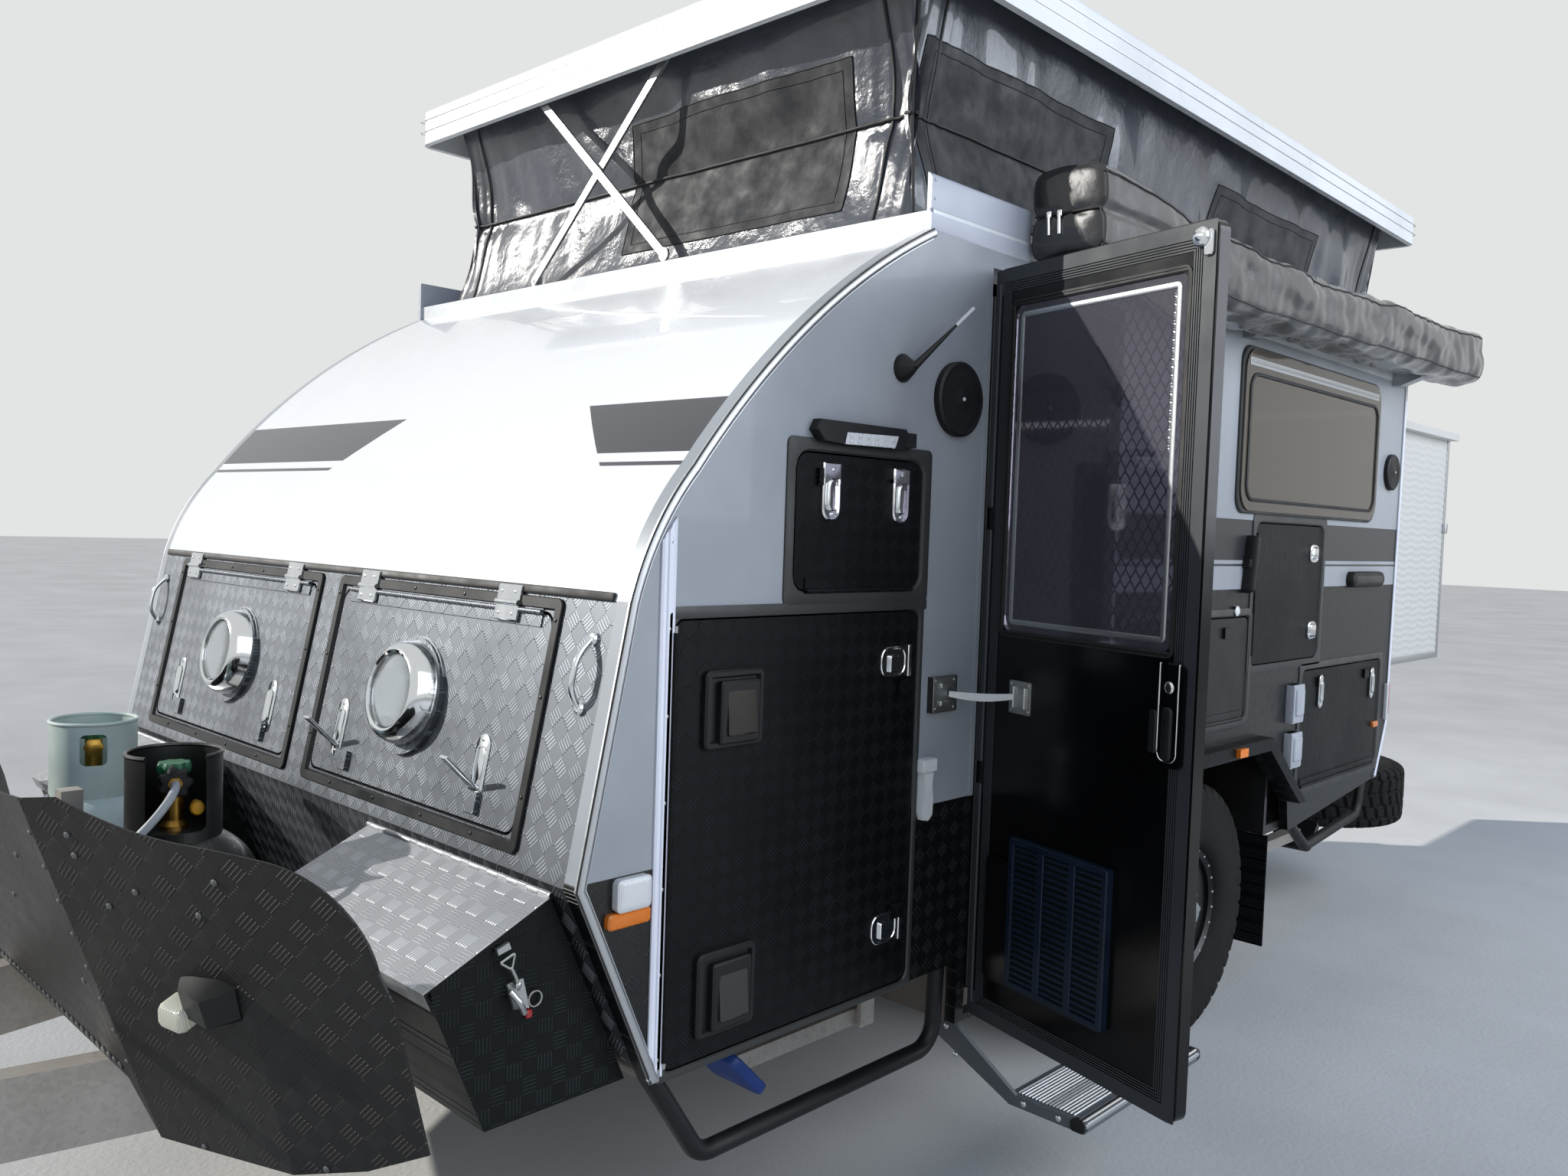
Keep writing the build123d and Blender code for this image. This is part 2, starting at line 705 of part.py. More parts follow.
with BuildPart() as stone_guard:
    with BuildSketch(Plane.XY.offset(guard_low)):
        with BuildLine():
            Polyline(*guard_outline(2), close=True)
        make_face()
    with BuildSketch(Plane.XY.offset(guard_top)):
        with BuildLine():
            Polyline(*guard_outline(1), close=True)
        make_face()
    loft(ruled=True)
    with BuildSketch(Plane(origin=(0, aft(-700), 0), x_dir=(1, 0, 0), z_dir=(0, -1, 0))):
        with BuildLine():
            ThreePointArc((-565, up(1100)), (0, up(1062)), (565, up(1100)))
            ThreePointArc((565, up(1100)), (640, up(1068)), (750, up(1046)))
            ThreePointArc((750, up(1046)), (820, up(1041)), (890, up(1033)))
            ThreePointArc((890, up(1033)), (985, up(985)), (1030, up(873)))
            Polyline((1030, up(873)), (1043, up(828)), (1049, up(574)), (937, up(520)), (800, up(480)),
                     (500, up(464)), (440, rail_top_z + seat), (-440, rail_top_z + seat),
                     (-500, up(464)), (-800, up(480)), (-937, up(520)), (-1049, up(574)),
                     (-1043, up(828)), (-1030, up(873)))
            ThreePointArc((-1030, up(873)), (-985, up(985)), (-890, up(1033)))
            ThreePointArc((-890, up(1033)), (-820, up(1041)), (-750, up(1046)))
            ThreePointArc((-750, up(1046)), (-640, up(1068)), (-565, up(1100)))
        make_face()
    extrude(amount=-700, mode=Mode.INTERSECT)
save(stone_guard, "stone_guard")

# Toolboxes ahead of the nose and their lids
lid_hinge_y = aft(-14)
lid_hinge_z = up(929)
lid_slope = math.degrees(math.atan2(up(922) - up(820), aft(-12) - aft(-235)))
with BuildPart() as toolboxes:
    for side in (-1, 1):
        x0, x1 = sorted((side * box_inner_x, side * box_outer_x))
        with BuildSketch(Plane.YZ.offset(x0)):
            with BuildLine():
                Polyline(*box_profile, close=True)
            make_face()
        extrude(amount=x1 - x0)
        with BuildSketch(Plane.YZ.offset(x0 + box_sheet)):
            with BuildLine():
                Polyline(
                    (aft(-12) - 2, up(960)), (aft(-235) + 4, up(858)),
                    (aft(-235) + 4, up(820)), (aft(-225) + 5, up(776)), (aft(-133) + 6, up(565)),
                    (aft(158) - 9, up(565)), (aft(-12) - 2, up(912)),
                    close=True,
                )
            make_face()
        extrude(amount=x1 - x0 - 2 * box_sheet, mode=Mode.SUBTRACT)
save(toolboxes, "toolboxes")

lid_plane = Plane(
    origin=(0, aft(-12), up(922) + 1),
    x_dir=(1, 0, 0),
    z_dir=(0, -math.sin(math.radians(lid_slope)), math.cos(math.radians(lid_slope))),
)
lid_depth = math.hypot(223, 102)
for side, word in ((1, "kerb"), (-1, "off")):
    x0, x1 = sorted((side * (box_inner_x - 8), side * (box_outer_x + 4)))
    with BuildPart() as toolbox_lid:
        with BuildSketch(lid_plane):
            with Locations(((x0 + x1) / 2, -lid_depth / 2 - 6)):
                Rectangle(x1 - x0, lid_depth + 16)
        extrude(amount=box_sheet)
        with BuildSketch(lid_plane):
            with Locations(((x0 + x1) / 2, -lid_depth - 12)):
                Rectangle(x1 - x0, 4)
        extrude(amount=-28)
        with BuildSketch(Plane.YZ.offset(x0)):
            with Locations((lid_hinge_y, lid_hinge_z)):
                Circle(hinge_radius)
        extrude(amount=x1 - x0)
    save(toolbox_lid, f"{word}_toolbox_lid")

# Gas bottles with collars and valves
with BuildPart() as gas_bottles:
    for side in (-1, 1):
        with BuildSketch(Plane(origin=(side * bottle_x, bottle_y, 0), x_dir=(1, 0, 0), z_dir=(0, -1, 0))):
            with BuildLine():
                Line((0, bottle_base), (bottle_radius - 25, bottle_base))
                Line((bottle_radius - 25, bottle_base), (bottle_radius, bottle_base + 45))
                Line((bottle_radius, bottle_base + 45), (bottle_radius, bottle_shoulder - 95))
                ThreePointArc((bottle_radius, bottle_shoulder - 95),
                              (bottle_radius * 0.76, bottle_shoulder - 30), (40, bottle_shoulder + 6))
                Line((40, bottle_shoulder + 6), (0, bottle_shoulder + 6))
                Line((0, bottle_shoulder + 6), (0, bottle_base))
            make_face()
        revolve(axis=Axis((side * bottle_x, bottle_y, 0), (0, 0, 1)))
        with BuildSketch(Plane.XY.offset(bottle_shoulder - 20)):
            with Locations((side * bottle_x, bottle_y)):
                Circle(collar_radius)
                Circle(collar_radius - collar_sheet, mode=Mode.SUBTRACT)
        extrude(amount=collar_top - bottle_shoulder + 20)
        valve_plane = Plane(
            origin=(side * bottle_x, bottle_y, 0),
            x_dir=(-math.sin(math.radians(valve_turn)), math.cos(math.radians(valve_turn)), 0),
            z_dir=(math.cos(math.radians(valve_turn)), math.sin(math.radians(valve_turn)), 0),
        )
        with BuildSketch(valve_plane):
            if side > 0:
                with Locations((0, (bottle_shoulder + 12 + collar_top + 20) / 2)):
                    RectangleRounded(2 * valve_window, collar_top - bottle_shoulder + 8, 12)
            else:
                with Locations((0, valve_z)):
                    RectangleRounded(valve_window, 1.3 * valve_window, 12)
        extrude(amount=collar_radius + 20, mode=Mode.SUBTRACT)
        with BuildSketch(Plane.XY.offset(bottle_shoulder - 5)):
            with Locations((side * bottle_x, bottle_y)):
                Circle(16)
        extrude(amount=valve_z + 22 - bottle_shoulder)
        with BuildSketch(Plane.XY.offset(valve_z + 16)):
            with Locations((side * bottle_x, bottle_y)):
                Circle(26)
        extrude(amount=18)
        with BuildSketch(valve_plane):
            with Locations((0, valve_z)):
                Circle(13)
        extrude(amount=valve_reach)
save(gas_bottles, "gas_bottles")

# Bottle tray on the drawbar, with a post between the bottles that carries the regulator
with BuildPart() as bottle_holder:
    add(span(bottle_y - 135, bottle_y + 150, rail_top_z, bottle_base - seat, -390, 390))
    add(span(post_y, post_y + bottle_post, bottle_base - seat, regulator_z + 120,
             -bottle_post / 2, bottle_post / 2))
    with BuildSketch(Plane.XZ.offset(-post_y)):
        with Locations((0, regulator_z)):
            Circle(regulator_radius)
    extrude(amount=regulator_depth)
    with BuildSketch(Plane.YZ):
        with Locations((hose_port_y, regulator_z)):
            Circle(13)
    extrude(amount=regulator_radius + 16)
save(bottle_holder, "bottle_holder")

# Gas hose from the kerb side bottle's valve down to the regulator
hose_start = (
    bottle_x + (valve_reach + seat) * math.cos(math.radians(valve_turn)),
    bottle_y + (valve_reach + seat) * math.sin(math.radians(valve_turn)),
)
hose_turn = (
    bottle_x + (valve_reach + 50) * math.cos(math.radians(valve_turn)),
    bottle_y + (valve_reach + 50) * math.sin(math.radians(valve_turn)),
)
hose_route = (
    (*hose_start, valve_z), (*hose_turn, valve_z), (352, aft(-408), up(990)), (340, aft(-462), up(935)),
    (262, aft(-494), up(892)), (150, hose_port_y - 1, regulator_z + 1),
    (regulator_radius + 16 + seat, hose_port_y, regulator_z),
)
hose_bends = (46, 102, 80, 190, 400)
with BuildPart() as gas_hose:
    with BuildLine() as path:
        FilletPolyline(*hose_route, radius=hose_bends)
    with BuildSketch(Plane(origin=path.line @ 0, z_dir=path.line % 0)):
        Circle(hose_radius)
    sweep(path=path.line)
save(gas_hose, "gas_hose")

# Awning bag on brackets along the kerb side's top rail
with BuildPart() as awning_bag:
    with BuildSketch(Plane.XZ.offset(-awning_front - bag_head_length + 30)):
        with Locations((awning_x, awning_z)):
            Circle(awning_radius)
    extrude(amount=-(awning_rear - awning_front - bag_head_length + 30))
    # The full pouch at the fore end: distance aft, width, height, corner radius
    for fore, rear in zip(bag_head_sections, bag_head_sections[1:]):
        for distance, width, height, radius in (fore, rear):
            with BuildSketch(Plane.XZ.offset(-awning_front - distance)):
                with Locations((awning_x, awning_z)):
                    RectangleRounded(width, height, radius)
        loft(ruled=True)
save(awning_bag, "awning_bag")

with BuildPart() as awning_brackets:
    for y0 in (aft(1640), aft(2500), aft(3900)):
        with BuildSketch(Plane.XZ.offset(-y0)):
            with BuildLine():
                Polyline(
                    (half, rail_top - 60), (half + 30, rail_top - 60),
                    (awning_x, awning_z - awning_radius - 8), (awning_x, awning_z - awning_radius - seat),
                    (awning_x - awning_radius - seat, awning_z), (half, rail_top),
                    close=True,
                )
            make_face()
            with Locations((awning_x, awning_z)):
                Circle(awning_radius + seat, mode=Mode.SUBTRACT)
        extrude(amount=-60)
save(awning_brackets, "awning_brackets")

# Lamps and fittings on the body
with BuildPart() as marker_lamps:
    for x0, y0, z0, height in (
        (half, aft(95), up(912), 34), (half + flare_out, aft(2510), arch_top + 8, 26),
        (half, aft(3685), up(1439), 26),
    ):
        add(span(y0, y0 + 60, z0, z0 + height, x0, x0 + 14))
    for side in (-1, 1):
        x0, x1 = sorted((side * (half - 55), side * (half - 5)))
        add(span(aft(4059), aft(4098), up(880), up(1010), x0, x1))
save(marker_lamps, "marker_lamps")

with BuildPart() as side_fittings:
    for y0, z0, radius in ((aft(1018), up(1858), 82), (aft(3929), up(1858), 70)):
        with BuildSketch(Plane.YZ.offset(half)):
            with Locations((y0, z0)):
                Circle(radius)
        extrude(amount=16, taper=12)
    for y0, y1, z0, z1, depth in (
        (aft(555), aft(852), up(1738), up(1768), 22), (aft(3005), aft(3100), up(945), up(1077), 24),
        (aft(3005), aft(3100), up(788), up(910), 24), (aft(954), aft(1046), up(1160), up(1240), 14),
        (aft(2530), aft(2560), up(1330), up(1360), 10),
    ):
        add(span(y0, y1, z0, z1, half, half + depth))
save(side_fittings, "side_fittings")


# Doors and hatches in the kerb side
def kerb_panel(name, fore, rear, low, high, hinge_edge, radius):
    """A flush panel with its piano hinge along one edge and two latches on the other."""
    with BuildPart() as panel:
        with BuildSketch(Plane.YZ.offset(half - panel_thick)):
            with Locations(((fore + rear) / 2, (low + high) / 2)):
                RectangleRounded(rear - fore, high - low, radius)
        extrude(amount=panel_thick)
        barrel_x = half + seat + hinge_radius
        if hinge_edge == "fore":
            add(span(fore - panel_gap / 2, fore + hinge_leaf_reach, low + radius, high - radius,
                     half, half + hinge_leaf))
            with BuildSketch(Plane.XY.offset(low + radius)):
                with Locations((barrel_x, fore - panel_gap / 2)):
                    Circle(hinge_radius)
            extrude(amount=high - low - 2 * radius)
            latches = [(rear - 45, low + (high - low) * share) for share in (0.2, 0.8)]
        else:
            add(span(fore + radius, rear - radius, low - panel_gap / 2, low + hinge_leaf_reach,
                     half, half + hinge_leaf))
            with BuildSketch(Plane.XZ.offset(-fore - radius)):
                with Locations((barrel_x, low - panel_gap / 2)):
                    Circle(hinge_radius)
            extrude(amount=-(rear - fore - 2 * radius))
            latches = [(fore + (rear - fore) * share, high - 45) for share in (0.2, 0.8)]
        for y0, z0 in latches:
            add(span(y0 - latch_size[0] / 2, y0 + latch_size[0] / 2, z0 - latch_size[1] / 2,
                     z0 + latch_size[1] / 2, half, half + latch_size[2]))
    save(panel, name)


for row in kerb_panels:
    kerb_panel(*row)

# Entry door, built on its own plane, which stands open about its fore edge
door_turn = math.radians(door_open_angle)
door_axis_x = half + seat + hinge_radius
door_axis_y = door_hinge_y + panel_gap / 2
door_along = (math.sin(door_turn), math.cos(door_turn), 0)
door_out = (math.cos(door_turn), -math.sin(door_turn), 0)
door_plane = Plane(
    origin=(door_axis_x, door_axis_y, door_bottom), x_dir=door_along, z_dir=door_out
)
door_height = door_top - door_bottom
leaf_start = panel_gap / 2
face_back = seat + hinge_radius
pane_left, pane_right, pane_low, pane_high = 60, 560, 905, 1650
louvre_left, louvre_right, louvre_low, louvre_high = 60, 400, 110, 395
with BuildPart() as entry_door:
    with BuildSketch(door_plane.offset(-face_back - door_thick)):
        with Locations((leaf_start + door_width / 2, door_height / 2)):
            RectangleRounded(door_width, door_height, 25)
    extrude(amount=door_thick)
    with BuildSketch(door_plane.offset(-face_back - door_thick - 1)):
        with Locations(((pane_left + pane_right) / 2, (pane_low + pane_high) / 2)):
            RectangleRounded(pane_right - pane_left, pane_high - pane_low, 40)
    extrude(amount=door_thick + 2, mode=Mode.SUBTRACT)
    with BuildSketch(door_plane.offset(-face_back)):
        with Locations(((leaf_start + hinge_leaf_reach) / 2, door_height / 2)):
            Rectangle(hinge_leaf_reach - leaf_start + 6, door_height - 120)
    extrude(amount=hinge_leaf)
    with BuildSketch(Plane.XY.offset(door_bottom + 60)):
        with Locations((door_axis_x, door_axis_y)):
            Circle(hinge_radius)
    extrude(amount=door_height - 120)
    with BuildSketch(door_plane.offset(-face_back)):
        with Locations((door_width - 55, 790)):
            RectangleRounded(70, 200, 12)
        with Locations(((louvre_left + louvre_right) / 2, (louvre_low + louvre_high) / 2)):
            RectangleRounded(louvre_right - louvre_left, louvre_high - louvre_low, 14)
    extrude(amount=12)
save(entry_door, "entry_door")

with BuildPart() as entry_door_window:
    with BuildSketch(door_plane.offset(-face_back - door_thick + 4)):
        with Locations(((pane_left + pane_right) / 2, (pane_low + pane_high) / 2)):
            RectangleRounded(pane_right - pane_left - 2 * seat, pane_high - pane_low - 2 * seat, 40 - seat)
    extrude(amount=door_thick - 8)
save(entry_door_window, "entry_door_window")

# Front boot lids with portholes, hinged along their top edges
porthole_radius = 95
for side, word in ((1, "kerb"), (-1, "off")):
    lid_x = side * (lid_half_inner + lid_half_outer) / 2
    lid_w = lid_half_outer - lid_half_inner - 2 * panel_gap
    lid_h = lid_high - lid_low - 2 * panel_gap
    with BuildPart() as boot_lid:
        with BuildSketch(front_slope.offset(-panel_thick)):
            with Locations((lid_x, (lid_low + lid_high) / 2)):
                RectangleRounded(lid_w, lid_h, 24)
        extrude(amount=panel_thick)
        with BuildSketch(front_slope):
            with Locations((side * 435, (lid_low + lid_high) / 2)):
                Circle(porthole_radius + 25)
        extrude(amount=10)
        with BuildSketch(front_slope):
            with Locations((lid_x, lid_high - panel_gap - 10.5)):
                Rectangle(lid_w - 60, 27)
        extrude(amount=hinge_leaf)
        barrel_at = front_slope.from_local_coords((lid_x - lid_w / 2 + 30, lid_high - 3, seat + hinge_radius))
        with BuildSketch(Plane(origin=barrel_at, z_dir=(1, 0, 0))):
            Circle(hinge_radius)
        extrude(amount=lid_w - 60)
        with BuildSketch(front_slope):
            for share in (-0.32, 0.32):
                with Locations((lid_x + share * lid_w, lid_low + 40)):
                    Rectangle(50, 40)
        extrude(amount=latch_size[2])
    save(boot_lid, f"{word}_boot_lid")

# Rear slide-out with its mattress
with BuildPart() as slide_out:
    add(span(slide_front, slide_rear, slide_bottom, slide_top, -slide_half, slide_half))
    add(
        span(slide_front - 1, slide_rear - slide_wall, slide_bottom + slide_wall, slide_top - slide_wall,
             -slide_half + slide_wall, slide_half - slide_wall),
        mode=Mode.SUBTRACT,
    )
    add(span(aft(4094), slide_rear, slide_top, slide_top + 30, -slide_half - slide_flange,
             slide_half + slide_flange))
save(slide_out, "slide_out")

with BuildPart() as mattress:
    add(span(slide_front + 20, slide_rear - slide_wall - 8, slide_bottom + slide_wall + seat,
             slide_bottom + slide_wall + 130, -slide_half + slide_wall + 8, slide_half - slide_wall - 8))
    fillet(mattress.edges().filter_by(Axis.Z), 60)
save(mattress, "bed_mattress")

# Roof, canvas and scissor lifts
with BuildPart() as roof:
    add(span(roof_front, roof_rear, roof_skirt_bottom, roof_top, -roof_half, roof_half))
    fillet(roof.edges().filter_by(Axis.Z), 45)
    fillet(roof.faces().sort_by(Axis.Z)[-1].edges(), 14)
    add(
        span(roof_front + roof_skirt, roof_rear - roof_skirt, roof_skirt_bottom - 1, roof_underside,
             -roof_half + roof_skirt, roof_half - roof_skirt),
        mode=Mode.SUBTRACT,
    )
save(roof, "pop_top_roof")

with BuildPart() as canvas:
    with BuildSketch(Plane.XY.offset(rail_top + seat)):
        with Locations((0, (canvas_front + canvas_rear) / 2)):
            RectangleRounded(2 * canvas_half, canvas_rear - canvas_front, canvas_corner)
            RectangleRounded(
                2 * (canvas_half - canvas_thick), canvas_rear - canvas_front - 2 * canvas_thick,
                canvas_corner - canvas_thick, mode=Mode.SUBTRACT,
            )
    extrude(amount=roof_underside - seat - rail_top - seat)
save(canvas, "roof_canvas")


mid_plane = Plane.XZ.offset(-(roof_front + roof_rear) / 2)


def lift_bar_part(name, start, end, y0, pin_hole, mid_hole, boss_to, roller):
    """One scissor bar for the front lift, and its mirrored twin for the rear lift."""
    direction = Vector(end[0] - start[0], 0, end[1] - start[1]).normalized()
    bar_plane = Plane(origin=(start[0], y0, start[1]), x_dir=direction, z_dir=(0, -1, 0))
    with BuildPart() as bar:
        with BuildSketch(bar_plane):
            with Locations((lift_length / 2, 0)):
                SlotOverall(lift_length + lift_bar, lift_bar)
        extrude(amount=lift_thick)
        if boss_to:
            with BuildSketch(bar_plane):
                with Locations((lift_length, 0)):
                    Circle(9)
            extrude(amount=boss_to)
        if roller:
            with BuildSketch(bar_plane):
                Circle(lift_low_z - rail_top - 2)
            extrude(amount=lift_thick)
        if pin_hole:
            with BuildSketch(bar_plane):
                Circle(lift_pin + seat)
            extrude(amount=lift_thick, mode=Mode.SUBTRACT)
        if mid_hole == "hole":
            with BuildSketch(bar_plane):
                with Locations((lift_length / 2, 0)):
                    Circle(lift_pin + seat)
            extrude(amount=lift_thick, mode=Mode.SUBTRACT)
        if mid_hole == "pin":
            with BuildSketch(bar_plane):
                with Locations((lift_length / 2, 0)):
                    Circle(lift_pin)
            extrude(amount=-lift_thick - 4)
    save(bar, f"front_{name}")
    with BuildPart() as twin:
        mirror(bar.part, about=mid_plane)
    save(twin, f"rear_{name}")


lift_run = lift_length * math.cos(math.radians(lift_angle))
low_left = (lift_x, lift_low_z)
high_right = (lift_x + lift_run, lift_high_z)
low_right = (lift_x + lift_run, lift_low_z)
high_left = (lift_x, lift_high_z)
bar_a_front = canvas_front - 15
bar_b_front = canvas_front - 27
lift_bar_part("lift_bar_a", low_left, high_right, bar_a_front, True, "hole",
              bar_a_front - roof_front - roof_skirt - seat, False)
lift_bar_part("lift_bar_b", low_right, high_left, bar_b_front, False, "pin",
              bar_b_front - roof_front - roof_skirt - seat, True)

# Folding step, steadies and jockey wheel
with BuildPart() as entry_step:
    add(span(step_front, step_rear, step_z - 25, step_z, step_inner_x, step_outer_x))
    for y0 in (step_front, step_rear - 12):
        with BuildSketch(Plane.XZ.offset(-y0)):
            with BuildLine():
                Polyline(
                    (step_outer_x - 20, step_z - 24), (step_inner_x, step_z - 24), (990, up(370)),
                    (990, doorway_sill - 15 - seat), (1040, doorway_sill - 15 - seat),
                    (step_inner_x + 20, step_z - 1), (step_outer_x - 20, step_z - 1),
                    close=True,
                )
            make_face()
        extrude(amount=-12)
save(entry_step, "entry_step")

for side, word in ((1, "kerb"), (-1, "off")):
    for end, pivot_y, heading in (("front", steady_front_y, -1), ("rear", steady_rear_y, 1)):
        tip_y = pivot_y + heading * steady_length
        with BuildPart() as steady:
            y0, y1 = sorted((pivot_y, tip_y))
            add(span(y0, y1, steady_z - 20, steady_z + 20, side * steady_x - 25, side * steady_x + 25))
            with BuildSketch(Plane.YZ.offset(side * steady_x - steady_boss)):
                with Locations((pivot_y, steady_z)):
                    Circle(24)
            extrude(amount=2 * steady_boss)
            pad_normal = Vector(0, heading, -1).normalized()
            pad_plane = Plane(origin=(side * steady_x, tip_y, steady_z), x_dir=(1, 0, 0), z_dir=pad_normal)
            with BuildSketch(pad_plane):
                Rectangle(150, 130)
            extrude(amount=12)
        save(steady, f"{word}_{end}_steady")

with BuildPart() as jockey_post:
    with BuildSketch(Plane.XY.offset(up(395))):
        with Locations((0, jockey_y)):
            Circle(jockey_tube)
            Circle(jockey_inner + seat, mode=Mode.SUBTRACT)
    extrude(amount=555)
    with BuildSketch(Plane.XY.offset(up(950))):
        with Locations((0, jockey_y)):
            Circle(jockey_tube)
    extrude(amount=40)
    add(span(jockey_y - 12, jockey_y + 200, up(975), up(1000), -10, 10))
    with BuildSketch(Plane.XY.offset(rail_bottom_z + 20)):
        with Locations((0, jockey_y)):
            Rectangle(2 * rail_inner(jockey_y - 45) - 2 * seat, 90)
            Circle(jockey_tube - 1, mode=Mode.SUBTRACT)
    extrude(amount=rail_height - 40)
save(jockey_post, "jockey_post")

with BuildPart() as jockey_leg:
    with BuildSketch(Plane.XY.offset(up(300))):
        with Locations((0, jockey_y)):
            Circle(jockey_inner)
    extrude(amount=400)
save(jockey_leg, "jockey_leg")

fork_gap = 5
with BuildPart() as jockey_fork:
    add(span(jockey_y - 30, jockey_y + jockey_trail + 30, up(280), up(300) - seat,
             -jockey_wheel_width / 2 - fork_gap - 8, jockey_wheel_width / 2 + fork_gap + 8))
    for side in (-1, 1):
        x0, x1 = sorted((side * (jockey_wheel_width / 2 + fork_gap), side * (jockey_wheel_width / 2 + fork_gap + 8)))
        add(span(jockey_y + jockey_trail - 25, jockey_y + jockey_trail + 25, up(jockey_radius - 25), up(280), x0, x1))
    with BuildSketch(Plane.YZ.offset(-jockey_wheel_width / 2 - fork_gap - 4)):
        with Locations((jockey_y + jockey_trail, up(jockey_radius))):
            Circle(9)
    extrude(amount=jockey_wheel_width + 2 * fork_gap + 8)
save(jockey_fork, "jockey_fork")

with BuildPart() as jockey_wheel:
    with BuildSketch(Plane.YZ.offset(-jockey_wheel_width / 2)):
        with Locations((jockey_y + jockey_trail, up(jockey_radius))):
            Circle(jockey_radius)
            Circle(9 + seat, mode=Mode.SUBTRACT)
    extrude(amount=jockey_wheel_width)
save(jockey_wheel, "jockey_wheel")
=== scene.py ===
"""Looks for a touring caravan with a raised pop-top roof and a slide-out rear bed.

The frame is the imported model: +X kerb side, +Y aft, +Z up, origin at the tow coupling's mouth, metres.
"""
import math

import bmesh
import bpy
import numpy as np
from mathutils import Matrix, Vector


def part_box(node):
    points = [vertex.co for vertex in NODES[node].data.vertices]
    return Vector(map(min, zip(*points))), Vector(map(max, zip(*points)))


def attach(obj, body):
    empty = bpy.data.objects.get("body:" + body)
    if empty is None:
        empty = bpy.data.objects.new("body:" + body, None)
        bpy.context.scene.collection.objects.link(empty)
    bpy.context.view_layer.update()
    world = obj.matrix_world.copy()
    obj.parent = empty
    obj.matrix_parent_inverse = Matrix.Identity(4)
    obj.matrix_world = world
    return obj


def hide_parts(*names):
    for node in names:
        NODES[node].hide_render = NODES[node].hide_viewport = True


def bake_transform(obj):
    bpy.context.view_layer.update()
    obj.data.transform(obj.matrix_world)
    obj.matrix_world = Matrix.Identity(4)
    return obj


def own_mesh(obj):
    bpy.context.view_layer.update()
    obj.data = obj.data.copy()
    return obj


bl_info = {
    "name": "Touring caravan looks",
    "version": (1, 0, 0),
    "blender": (4, 5, 0),
    "location": "3D View > Sidebar > Caravan",
    "description": "Materials, fittings and soft goods of a touring caravan",
    "category": "Object",
}

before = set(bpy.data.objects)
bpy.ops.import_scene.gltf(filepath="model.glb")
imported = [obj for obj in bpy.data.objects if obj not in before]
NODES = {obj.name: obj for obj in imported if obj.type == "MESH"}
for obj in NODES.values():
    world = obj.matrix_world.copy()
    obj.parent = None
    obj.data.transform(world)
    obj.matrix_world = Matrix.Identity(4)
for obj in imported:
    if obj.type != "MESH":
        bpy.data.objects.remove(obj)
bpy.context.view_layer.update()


def up(height):
    """Metres in the frame from millimetres above the ground."""
    return (height - 430) / 1000


def aft(distance):
    """Metres in the frame from millimetres aft of the body's nose."""
    return (distance + 1780) / 1000


HALF = 1.067  # half the body's width
WHEEL = (0.9145, aft(2399), -0.028)  # the kerb wheel's centre
SPARE = (0.600, aft(4500), up(470))  # the spare wheel's centre
DOOR_SKIN = -0.0053  # the door skin's depth in its frame
LOUVRE = DOOR_SKIN + 0.012  # the raised panel under the door's vent
CANVAS_LOW, CANVAS_TOP = up(2255), up(2865)
CANVAS_ELASTIC, CANVAS_PACKED = up(2515), up(2345)  # the elastic's height, and the top's with the roof down
SLIDE_HALF, SLIDE_LOW, SLIDE_TOP = 0.950, up(1050), up(2070)
SLIDE_START = aft(4100)  # where the slide-out leaves the body
BOTTLE_X, BOTTLE_Y, OUTLET_HEIGHT = 0.235, aft(-335), up(1034)
TOOLBOX_HALF = 1.020
STEP_TOP = up(290)
WINDOW_LOW, WINDOW_TOP = up(1678), up(2155)
SPEAKERS = ((aft(1018), up(1858), 0.0815), (aft(3929), up(1858), 0.0695))  # y, z, radius
SIDES = ((1, "kerb"), (-1, "off"))
SKEW = (0.31, 0.17, 0.93)  # a direction that no bar lies along
QUARTER = math.pi / 2
FULL = 2 * math.pi
DOOR_TURN = math.radians(105.4)  # how far the entry door stands open
DOOR_AXIS = np.array((1.0723, aft(1146), up(432)))  # the foot of the door's hinge line
SLOPE = math.atan2(484, 100)  # the front panel rises 484 mm over 100 mm


def mm(*rows):
    """Rows of lengths given in millimetres, in metres."""
    return [tuple(length / 1000 for length in row) for row in rows]


# Frames: an origin, two directions in a face and its outward normal
def face_frame(origin, u, v):
    """A face's frame from its origin and two directions; the normal is u cross v."""
    u, v = np.array(u, float), np.array(v, float)
    return np.array(origin, float), u, v, np.cross(u, v)


KERB = face_frame((HALF, 0, 0), (0, 1, 0), (0, 0, 1))
OFF = face_frame((-HALF, 0, 0), (0, -1, 0), (0, 0, 1))
SLOPE_FACE = face_frame((0, aft(0), up(940)), (1, 0, 0), (0, math.cos(SLOPE), math.sin(SLOPE)))
DOOR_FACE = face_frame(DOOR_AXIS, (math.sin(DOOR_TURN), math.cos(DOOR_TURN), 0), (0, 0, 1))


def joined(*values):
    """Coordinates, each a number or an array, joined into one array of points."""
    return np.stack(np.broadcast_arrays(*values), -1).astype(float)


def placed(face, local):
    """Local (a, b, c) arrays in a face's frame turned into frame coordinates: origin + a u + b v + c n."""
    origin, u, v, n = face
    local = np.asarray(local, float)
    return origin + local[..., 0:1] * u + local[..., 1:2] * v + local[..., 2:3] * n


